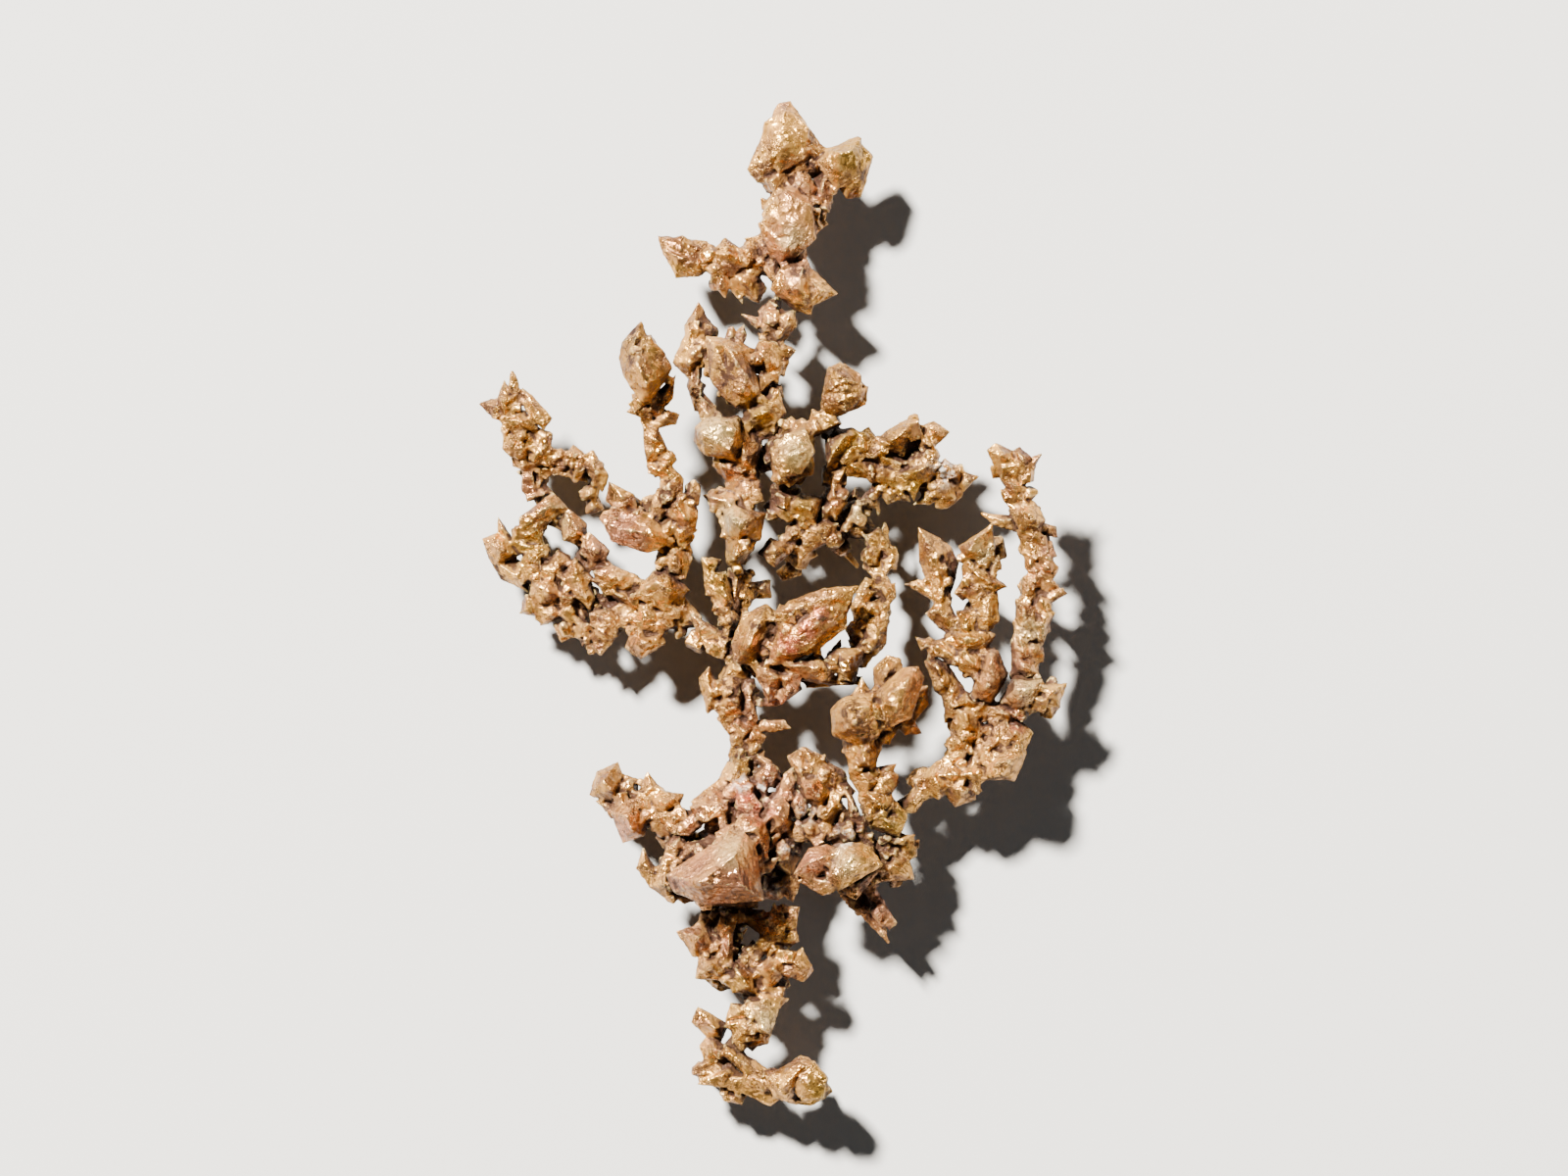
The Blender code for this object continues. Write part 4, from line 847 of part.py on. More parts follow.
def middle_right_branch():
    """The branch with two broad lobes, right of the trunk."""
    plane = (8.0, -17.0, 9.8, 0.0, 0.20)
    stem = [(8.2, -16.4, 1.0), (7.9, -14.4, 1.0), (7.0, -12.4, 1.0), (7.0, -10.2, 1.2),
            (7.6, -8.4, 1.2), (9.6, -7.0, 1.2)]
    crystals = [
        gem(1.4, [(8.1, -7.2), (8.8, -6.4), (10.3, -5.2), (11.1, -5.05), (11.6, -5.3),
                  (11.8, -5.9), (11.3, -7.9), (10.9, -8.7), (10.2, -9.1), (8.7, -9.7),
                  (8.0, -9.2)], [(10.7, -5.9), (9.2, -7.0), (9.8, -8.4)], 1.5),
        gem(1.3, [(4.8, -8.6), (5.1, -8.0), (5.7, -7.5), (6.3, -7.3), (8.3, -7.0),
                  (8.8, -9.2), (8.2, -10.4), (6.6, -10.9), (5.0, -10.2)],
            [(6.1, -8.1), (7.6, -8.0), (6.4, -9.6)], 1.5),
        gem(0.9, [(6.3, -7.3), (6.7, -6.5), (7.1, -5.85), (7.5, -6.4), (8.0, -7.3),
                  (7.2, -7.9)], [(7.0, -6.7), (7.1, -7.4)], 0.8),
        gem(0.3, [(8.0, -5.6), (8.1, -5.0), (8.5, -4.5), (9.1, -4.05), (9.8, -4.1),
                  (10.3, -4.6), (10.3, -5.2), (9.4, -6.1), (8.2, -6.7)],
            [(9.3, -4.8), (8.8, -5.7)], 1.1),
        gem(0.8, [(5.6, -10.4), (8.4, -10.0), (8.55, -11.3), (8.1, -12.3), (8.0, -13.0),
                  (6.2, -13.0), (5.9, -11.8)], [(6.9, -11.0), (7.3, -12.4)], 1.3),
        nub(5.8, -10.9, 0.4, 0.8),
        nub(6.0, -11.6, 0.4, 0.9),
        gem(0.3, [(8.3, -10.9), (8.4, -9.8), (9.6, -9.6), (9.85, -10.1), (9.6, -10.7),
                  (9.1, -11.05)], [(8.9, -10.2), (9.2, -10.6)], 0.8),
        gem(-0.8, [(9.6, -9.4), (11.0, -8.9), (11.5, -9.6), (11.8, -10.2), (11.2, -10.35),
                   (10.2, -10.1)]),
        gem(-1.2, [(10.9, -6.4), (12.3, -6.5), (12.4, -7.9), (11.6, -9.0), (10.6, -9.1)]),
        gem(0.8, [(6.1, -12.8), (8.1, -12.8), (8.9, -13.9), (7.9, -14.8), (6.9, -14.9),
                  (6.2, -13.8)], [(7.0, -13.4), (7.7, -14.0)], 1.1),
        gem(0.7, [(8.0, -13.2), (8.6, -12.8), (9.4, -12.55), (9.85, -12.7), (9.7, -13.2),
                  (9.2, -13.9), (8.0, -14.1)], [(8.7, -13.2), (9.3, -13.1)], 0.8),
        gem(0.7, [(8.8, -14.2), (9.2, -13.7), (9.9, -13.8), (10.2, -14.3), (9.8, -14.8),
                  (9.0, -15.0)], [(9.3, -14.2), (9.7, -14.3)], 0.8),
        gem(1.0, [(6.9, -14.5), (8.4, -14.3), (9.3, -14.8), (9.6, -15.8), (8.9, -16.6),
                  (7.5, -16.5), (6.9, -15.6)], [(7.8, -15.2), (8.5, -15.8)], 1.2),
        gem(0.8, [(9.0, -14.9), (9.8, -15.3), (10.7, -16.6), (10.7, -17.7), (10.1, -17.6),
                  (9.3, -16.4)], [(9.6, -15.6), (10.2, -16.9)], 0.9),
        gem(1.1, [(7.6, -16.8), (8.5, -16.2), (9.6, -16.5), (10.35, -17.3), (10.1, -18.2),
                  (9.5, -18.3), (7.7, -17.8)], [(8.4, -16.8), (9.4, -17.2)], 1.2),
        spur(7.6, -11.0, -0.3, 0.0, 0.0, 2.0, 4.0),
    ]
    return plane, stem, crystals


def lower_right_cluster():
    """The tight cluster right of the hub, with its paired front crystals and wing."""
    plane = (6.0, -19.0, 9.2, 0.0, 0.06)
    stem = [(2.9, -18.2, 0.8), (4.2, -17.8, 1.0), (5.0, -16.4, 1.1), (3.6, -14.6, 1.2),
            (2.9, -12.8, 1.0)]
    core = [(4.4, -17.6, 1.1), (6.2, -18.0, 1.3), (6.6, -20.2, 1.3), (8.6, -19.4, 1.0),
            (10.4, -18.9, 0.8)]
    wing = [(6.4, -20.6, 1.1), (7.6, -22.4, 0.8), (8.4, -24.4, 0.7)]
    crystals = [
        gem(2.9, [(1.8, -20.9), (2.4, -20.0), (3.2, -19.3), (4.2, -19.15), (5.1, -19.4),
                  (5.1, -20.2), (4.6, -21.2), (2.6, -21.5), (2.0, -21.4)],
            [(3.0, -20.4), (4.3, -19.9)], 1.1, 2.2),
        gem(2.4, [(2.0, -21.3), (2.9, -21.4), (5.2, -21.6), (5.3, -22.5), (4.3, -22.95),
                  (3.4, -22.8), (2.2, -22.0)], [(3.1, -21.9), (4.6, -22.1)], 0.9, 1.6),
        gem(3.2, [(4.7, -21.0), (5.1, -20.0), (5.5, -19.2), (6.4, -19.0), (7.5, -19.25),
                  (8.5, -20.4), (8.3, -20.9), (7.5, -21.3), (5.8, -22.4), (5.2, -22.4),
                  (4.6, -21.7)], [(6.3, -19.8), (5.7, -21.3), (7.4, -20.4)], 1.1, 2.4),
        gem(1.9, [(5.0, -22.6), (6.2, -22.0), (8.5, -20.9), (8.3, -21.5), (7.4, -22.1),
                  (6.8, -23.3), (6.2, -23.25)], [(6.4, -22.4), (7.4, -21.6)], 0.7, 1.4),
        gem(0.6, [(7.9, -21.9), (8.5, -20.8), (9.7, -20.05), (10.3, -19.95), (10.9, -20.4),
                  (11.1, -21.1), (11.15, -21.7), (10.6, -22.0), (8.4, -22.1)],
            [(9.6, -20.7), (10.3, -21.2)], 1.1),
        gem(-0.1, [(9.1, -21.8), (10.5, -21.8), (10.2, -22.45), (9.3, -22.45)]),
        gem(-0.4, [(6.5, -23.5), (7.1, -22.9), (7.7, -22.1), (8.6, -23.9), (8.9, -25.2),
                   (9.2, -26.4), (8.9, -26.75), (8.2, -26.4), (6.9, -25.0)],
            [(7.6, -23.6), (7.9, -25.2)], 0.5),
        gem(0.3, [(7.5, -22.0), (8.0, -22.2), (9.3, -24.2), (9.75, -25.1), (9.8, -25.7),
                  (9.3, -25.95), (8.5, -24.7), (7.7, -23.0)],
            [(8.2, -23.0), (9.2, -24.9)], 0.7),
        spear((5.2, -22.6, 0.2), (6.9, -24.6, -0.6), 0.9),
        gem(1.0, [(1.35, -12.2), (1.7, -11.7), (2.6, -11.25), (3.0, -12.6), (3.1, -14.0),
                  (2.0, -14.2), (1.6, -13.2)], [(2.0, -12.3), (2.4, -13.4)], 1.0),
        gem(1.1, [(2.5, -11.3), (3.4, -11.8), (3.95, -12.3), (4.1, -13.2), (3.4, -14.2),
                  (2.9, -13.6)], [(3.0, -12.2), (3.5, -13.2)], 1.0),
        gem(1.1, [(1.85, -13.8), (3.2, -13.6), (4.2, -13.6), (4.45, -15.0), (4.2, -15.9),
                  (3.5, -16.15), (2.5, -15.4)], [(2.9, -14.4), (3.7, -15.2)], 1.3),
        gem(0.7, [(4.0, -12.6), (4.4, -12.45), (5.0, -12.7), (5.8, -13.3), (5.9, -14.1),
                  (4.8, -14.6), (4.1, -13.7)], [(4.6, -13.1), (5.2, -13.7)], 1.0),
        gem(0.8, [(4.6, -14.2), (5.7, -13.8), (6.55, -14.8), (6.2, -15.3), (5.2, -15.3)],
            [(5.2, -14.4), (5.8, -14.8)], 0.9),
        gem(1.3, [(5.8, -15.0), (6.4, -15.1), (7.0, -16.4), (6.9, -17.3), (6.3, -17.6),
                  (5.9, -16.5)], [(6.3, -15.6), (6.5, -16.8)], 0.9),
        gem(1.3, [(4.3, -15.0), (5.5, -15.2), (5.3, -16.1), (4.9, -17.1), (4.3, -17.3),
                  (4.0, -16.3)], [(4.8, -15.6), (4.6, -16.6)], 1.0),
        gem(1.2, [(3.3, -16.1), (4.2, -16.2), (4.9, -17.2), (4.6, -17.8), (3.8, -17.4)]),
        gem(0.8, [(1.95, -17.1), (2.4, -16.4), (3.1, -16.1), (3.5, -16.5), (2.9, -17.3)]),
        gem(1.3, [(2.1, -17.5), (3.0, -16.9), (3.75, -17.5), (4.0, -18.2), (3.3, -18.9),
                  (2.5, -18.6)], [(2.8, -17.5), (3.3, -18.1)], 1.1),
        gem(1.1, [(3.9, -17.7), (4.7, -17.6), (4.7, -18.9), (4.0, -18.9)]),
        gem(0.9, [(5.3, -17.1), (6.2, -17.0), (6.7, -17.9), (6.2, -18.5), (5.3, -18.4)]),
        gem(1.0, [(4.7, -18.1), (6.7, -18.0), (6.6, -19.1), (5.0, -19.1)]),
        gem(1.1, [(6.8, -17.0), (7.5, -16.6), (7.7, -18.0), (7.3, -18.9), (6.6, -18.6)],
            [(7.2, -17.3), (7.1, -18.2)], 0.8),
        gem(0.9, [(7.6, -18.1), (8.1, -18.1), (8.2, -19.4), (7.5, -19.3)]),
        gem(1.0, [(8.4, -18.4), (10.1, -18.5), (10.0, -19.0), (8.5, -19.1)]),
        gem(0.2, [(8.4, -18.9), (10.0, -18.9), (10.1, -19.9), (9.6, -20.6), (8.7, -20.5)],
            None, 0.6),
        gem(0.9, [(10.3, -18.2), (11.3, -18.1), (11.5, -18.4), (11.0, -18.9), (10.1, -19.0)]),
        gem(0.3, [(9.9, -18.9), (10.9, -18.9), (10.4, -19.6), (9.9, -19.6)]),
        gem(-0.2, [(10.7, -18.7), (11.75, -18.7), (11.7, -19.4), (10.9, -19.5)]),
        spur(4.6, -17.0, -0.3, -0.2, 0.2, 2.4, 4.2),
        spur(8.0, -20.4, -0.3, 0.2, -0.1, 2.2),
    ]
    return plane, [stem, core, wing], crystals


def right_arm():
    """The arm that swings out to the lower right."""
    plane = (9.0, -17.0, 9.0, -0.06, 0.08)
    stem = [(10.6, -16.0, 0.7), (12.4, -14.4, 0.9), (14.2, -12.9, 1.0), (15.0, -10.8, 0.8),
            (15.4, -8.8, 0.8)]
    side = [(13.4, -14.4, 0.9), (15.4, -14.2, 1.0), (16.6, -12.6, 1.0), (17.6, -10.6, 1.0),
            (18.2, -8.8, 0.8), (20.0, -7.2, 1.0), (22.0, -7.1, 0.9)]
    crystals = [
        gem(0.6, [(9.95, -15.7), (10.8, -15.0), (11.6, -14.6), (12.4, -14.7), (12.5, -15.2),
                  (11.8, -16.2), (11.0, -16.55), (10.3, -16.4)],
            [(10.9, -15.5), (11.7, -15.4)], 1.0),
        gem(-1.0, [(10.65, -13.9), (11.0, -13.4), (11.6, -12.95), (12.5, -12.9),
                   (12.6, -13.9), (11.4, -14.4)], [(11.4, -13.6), (12.0, -13.6)], 0.5),
        gem(0.8, [(11.8, -13.9), (12.3, -13.3), (13.0, -12.6), (14.0, -13.4), (14.2, -14.2),
                  (13.8, -15.1), (13.2, -15.4), (12.0, -14.6)],
            [(12.8, -13.6), (13.3, -14.4)], 1.2),
        gem(1.1, [(12.9, -12.7), (13.9, -11.9), (15.0, -11.5), (15.75, -11.3),
                  (15.3, -12.4), (14.7, -13.1), (13.9, -13.5), (13.1, -13.3)],
            [(13.8, -12.6), (15.0, -11.9)], 1.0),
        gem(1.1, [(14.0, -11.0), (14.2, -10.4), (14.8, -9.9), (16.4, -9.8), (16.6, -10.4),
                  (16.0, -10.9), (15.4, -11.6), (14.1, -11.7)],
            [(14.8, -10.7), (15.8, -10.4)], 1.1),
        gem(1.1, [(14.5, -8.4), (14.8, -7.9), (16.4, -8.2), (16.65, -9.2), (16.4, -10.0),
                  (14.8, -10.1), (14.6, -9.3)], [(15.3, -8.6), (15.6, -9.5)], 1.2),
        gem(1.2, [(14.4, -8.3), (14.6, -7.6), (15.2, -7.05), (15.8, -6.85), (16.4, -7.4),
                  (16.95, -8.0), (16.3, -8.6)], [(15.3, -7.6), (16.1, -7.9)], 1.2),
        gem(0.9, [(12.3, -4.4), (12.8, -4.2), (13.4, -4.4), (14.2, -5.0), (14.3, -6.4),
                  (13.4, -7.2), (12.8, -6.6), (12.4, -5.4)],
            [(13.1, -4.9), (13.6, -6.2)], 1.1),
        gem(0.8, [(14.0, -4.9), (14.8, -5.8), (15.2, -6.5), (15.2, -7.2), (14.5, -8.8),
                  (13.7, -8.8), (13.5, -7.2), (13.8, -6.0)],
            [(14.5, -6.2), (14.2, -7.8)], 1.0),
        nub(14.0, -8.9, 0.3, 0.9),
        gem(1.3, [(14.2, -13.6), (15.3, -12.8), (16.1, -12.3), (17.0, -13.0), (16.9, -13.9),
                  (16.2, -14.5), (15.2, -14.2)], [(15.3, -13.4), (16.2, -13.4)], 1.1),
        gem(0.9, [(13.8, -14.8), (14.4, -13.8), (15.3, -13.6), (16.2, -14.2), (16.2, -15.0),
                  (15.9, -15.6), (14.6, -16.0), (14.0, -15.4)],
            [(14.7, -14.4), (15.4, -14.9)], 1.2),
        gem(1.2, [(16.05, -11.5), (16.5, -10.9), (17.3, -10.3), (18.4, -10.6),
                  (18.3, -11.6), (17.0, -12.9), (16.4, -13.0), (16.1, -12.4)],
            [(16.9, -11.5), (17.4, -11.3)], 1.3),
        gem(1.1, [(17.2, -10.5), (17.6, -9.3), (18.4, -9.2), (18.8, -10.2), (18.5, -11.1),
                  (17.6, -11.2)], [(18.0, -9.8), (18.0, -10.6)], 1.1),
        gem(1.9, [(16.9, -13.0), (17.5, -12.2), (18.3, -11.65), (19.0, -11.35),
                  (19.8, -11.6), (20.1, -12.2), (19.6, -13.4), (18.9, -14.0), (17.4, -14.15),
                  (16.9, -13.7)], [(18.0, -12.6), (19.2, -12.2), (18.2, -13.5)], 1.4),
        gem(1.0, [(18.4, -9.8), (19.2, -9.3), (20.0, -9.25), (20.65, -10.2), (20.2, -11.1),
                  (20.0, -11.6), (19.2, -11.4), (18.3, -10.8)],
            [(19.2, -9.9), (19.6, -10.7)], 1.1),
        gem(1.1, [(16.8, -7.6), (17.8, -7.8), (19.1, -7.8), (19.6, -8.4), (19.0, -9.4),
                  (18.0, -9.4), (17.1, -8.9)], [(17.8, -8.3), (18.7, -8.6)], 1.1),
        gem(1.5, [(18.3, -6.8), (19.0, -5.85), (19.8, -5.65), (21.3, -6.0), (21.5, -6.8),
                  (21.0, -8.0), (19.4, -8.3), (18.2, -7.9)],
            [(19.5, -6.6), (20.5, -6.6), (19.6, -7.5)], 1.3),
        gem(1.1, [(21.0, -6.4), (22.0, -6.05), (23.0, -6.15), (23.4, -6.5), (23.2, -7.2),
                  (22.6, -8.15), (21.0, -8.1)], [(21.9, -6.8), (22.6, -7.0)], 1.1),
        gem(-0.3, [(19.2, -7.8), (22.2, -7.9), (21.6, -8.5), (20.2, -9.1), (19.2, -9.2)]),
        gem(0.6, [(16.2, -8.0), (17.2, -7.7), (17.4, -8.8), (16.4, -9.2)]),
        spur(15.2, -10.6, -0.3, 0.0, 0.0, 2.0, 3.2),
        spur(18.4, -9.6, -0.3, 0.1, -0.1, 2.6),
    ]
    return plane, [stem, side], crystals


def right_outer_branch():
    """The long upright on the far right."""
    plane = (20.0, -5.0, 9.8, -0.06, 0.10)
    stem = [(20.2, -5.6, 0.8), (20.1, -3.6, 0.9), (20.6, -1.6, 0.9), (20.9, 0.6, 0.9),
            (21.4, 2.6, 0.9), (20.9, 4.8, 0.8), (20.4, 6.8, 0.9), (19.6, 8.6, 0.8),
            (19.2, 10.2, 0.8), (19.0, 11.4, 0.8)]
    crystals = [
        gem(0.9, [(19.0, -4.2), (20.4, -4.0), (21.1, -4.7), (21.15, -5.7), (20.0, -5.9),
                  (19.2, -5.5)], [(19.8, -4.8), (20.4, -5.1)], 1.1),
        gem(0.9, [(19.2, -1.9), (19.9, -1.8), (20.5, -3.0), (20.7, -4.3), (19.1, -4.5),
                  (19.0, -3.0)], [(19.7, -2.7), (19.9, -3.8)], 1.1),
        gem(1.2, [(20.0, -1.6), (20.6, -1.6), (20.9, -2.3), (20.6, -3.0), (20.0, -2.9)]),
        gem(1.1, [(20.7, -1.5), (21.5, -1.5), (21.95, -2.3), (21.6, -2.95), (20.8, -2.8)],
            [(21.2, -2.0), (21.3, -2.5)], 0.8),
        gem(0.9, [(20.4, -3.1), (21.4, -2.9), (21.55, -3.5), (21.0, -4.4), (20.5, -4.1)]),
        gem(0.9, [(19.4, 0.4), (19.5, -1.0), (19.35, -2.0), (21.0, -2.0), (21.2, -0.4),
                  (20.6, 0.5)], [(20.0, -0.3), (20.1, -1.4)], 1.1),
        gem(0.9, [(20.7, 0.3), (21.6, -0.2), (22.4, -0.5), (22.3, -1.05), (21.8, -1.7),
                  (20.9, -1.8)], [(21.2, -0.5), (21.7, -1.0)], 1.0),
        gem(0.8, [(19.8, 1.6), (20.0, 2.25), (20.5, 2.5), (21.2, 1.4), (20.9, 0.2),
                  (20.0, 0.2)], [(20.3, 1.7), (20.4, 0.8)], 1.0),
        gem(0.9, [(20.8, 0.4), (21.3, 0.8), (22.2, 1.05), (23.0, 1.35), (23.4, 1.1),
                  (23.3, 0.7), (22.3, 0.1), (21.3, 0.0)], [(21.8, 0.6), (22.8, 0.8)], 0.8),
        gem(0.6, [(20.6, 1.1), (21.4, 2.0), (22.2, 2.1), (22.75, 1.6), (22.4, 1.0),
                  (21.4, 0.7)], [(21.4, 1.5), (22.1, 1.5)], 0.8),
        gem(0.9, [(20.4, 2.5), (21.2, 3.0), (22.0, 2.9), (22.5, 2.3), (22.0, 1.8),
                  (20.8, 1.8)], [(21.1, 2.4), (21.7, 2.3)], 0.9),
        gem(0.9, [(21.1, 3.4), (22.3, 3.65), (22.75, 3.0), (22.5, 2.4), (21.6, 2.3)],
            [(21.7, 3.1), (22.2, 2.9)], 0.9),
        gem(0.9, [(20.05, 3.6), (20.4, 4.2), (21.0, 3.9), (21.2, 3.0), (20.6, 2.5),
                  (20.1, 3.0)], [(20.5, 3.6), (20.6, 3.1)], 0.8),
        gem(0.8, [(20.6, 3.9), (21.4, 4.6), (22.1, 4.0), (21.9, 3.2), (21.0, 3.0)],
            [(21.2, 4.0), (21.5, 3.6)], 0.9),
        gem(0.5, [(21.4, 4.4), (21.9, 5.0), (22.5, 5.0), (22.75, 4.3), (22.4, 3.8),
                  (21.7, 3.7)], [(21.9, 4.5), (22.2, 4.2)], 0.8),
        gem(0.7, [(19.4, 5.95), (20.1, 6.1), (20.5, 5.2), (20.5, 4.3), (20.1, 3.95),
                  (19.7, 4.5)], [(19.9, 5.5), (20.2, 4.7)], 0.8),
        gem(0.8, [(20.2, 5.1), (20.9, 5.2), (21.7, 4.7), (21.3, 4.0), (20.4, 4.0)]),
        gem(0.9, [(20.0, 5.9), (20.5, 6.4), (21.1, 6.3), (21.5, 5.6), (21.0, 4.8),
                  (20.3, 5.0)], [(20.5, 5.8), (21.0, 5.4)], 0.8),
        gem(0.4, [(21.1, 6.6), (22.1, 6.45), (22.7, 6.2), (22.8, 5.8), (22.5, 5.35),
                  (21.3, 5.7)], [(21.8, 6.1), (22.3, 5.9)], 0.8),
        gem(0.9, [(19.2, 7.5), (20.2, 8.25), (20.8, 8.15), (21.3, 7.4), (21.6, 6.7),
                  (21.1, 6.0), (19.8, 6.0), (19.3, 6.7)],
            [(20.2, 7.4), (20.8, 6.8)], 1.2),
        gem(-0.6, [(16.7, 7.25), (17.3, 7.4), (18.4, 7.4), (19.8, 7.0), (19.4, 5.85),
                   (18.2, 6.2), (17.2, 6.7)], [(17.6, 7.0), (18.9, 6.7)], 0.6),
        gem(0.7, [(18.6, 8.2), (19.0, 8.5), (19.8, 8.1), (19.8, 7.2), (19.0, 7.1)]),
        gem(0.8, [(18.5, 8.4), (19.4, 9.1), (20.25, 9.2), (20.35, 8.7), (20.2, 8.0),
                  (19.2, 7.9)], [(19.2, 8.7), (19.8, 8.5)], 0.8),
        gem(0.5, [(17.8, 9.1), (18.3, 9.4), (19.0, 9.1), (19.0, 8.6), (18.3, 8.45)]),
        gem(0.8, [(18.2, 10.0), (19.2, 10.3), (20.1, 9.65), (20.3, 9.1), (19.6, 8.6),
                  (18.8, 8.9), (18.4, 9.5)], [(19.0, 9.8), (19.5, 9.2)], 1.0),
        gem(0.9, [(18.0, 10.9), (19.3, 11.2), (20.2, 10.9), (20.2, 10.1), (19.2, 9.8),
                  (18.3, 10.1)], [(18.7, 10.6), (19.5, 10.4)], 1.0),
        gem(1.0, [(17.15, 12.4), (17.7, 12.85), (18.3, 12.7), (19.0, 12.3), (19.2, 11.4),
                  (18.6, 10.9), (17.5, 11.0), (17.2, 11.8)],
            [(17.9, 12.3), (18.5, 11.7)], 1.1),
        gem(0.4, [(17.3, 11.2), (18.1, 10.9), (18.4, 10.2), (17.9, 10.0), (17.4, 10.3)]),
        gem(0.9, [(19.1, 12.2), (19.6, 12.55), (20.0, 12.35), (20.5, 11.8), (20.5, 11.0),
                  (19.7, 10.7), (19.1, 11.1)], [(19.6, 12.0), (19.9, 11.3)], 0.9),
        gem(0.6, [(20.3, 11.7), (21.2, 12.1), (21.5, 12.0), (21.3, 11.4), (20.9, 10.9),
                  (20.2, 10.8)], [(20.8, 11.7), (20.9, 11.3)], 0.7),
        gem(0.5, [(19.9, 11.1), (20.9, 11.0), (20.7, 10.4), (20.0, 10.2)]),
        spur(20.8, 1.0, -0.3, -0.1, 0.0, 1.8, 3.4),
        spur(19.6, 8.8, -0.3, 0.0, 0.1, 1.5, 2.6),
    ]
    return plane, stem, crystals


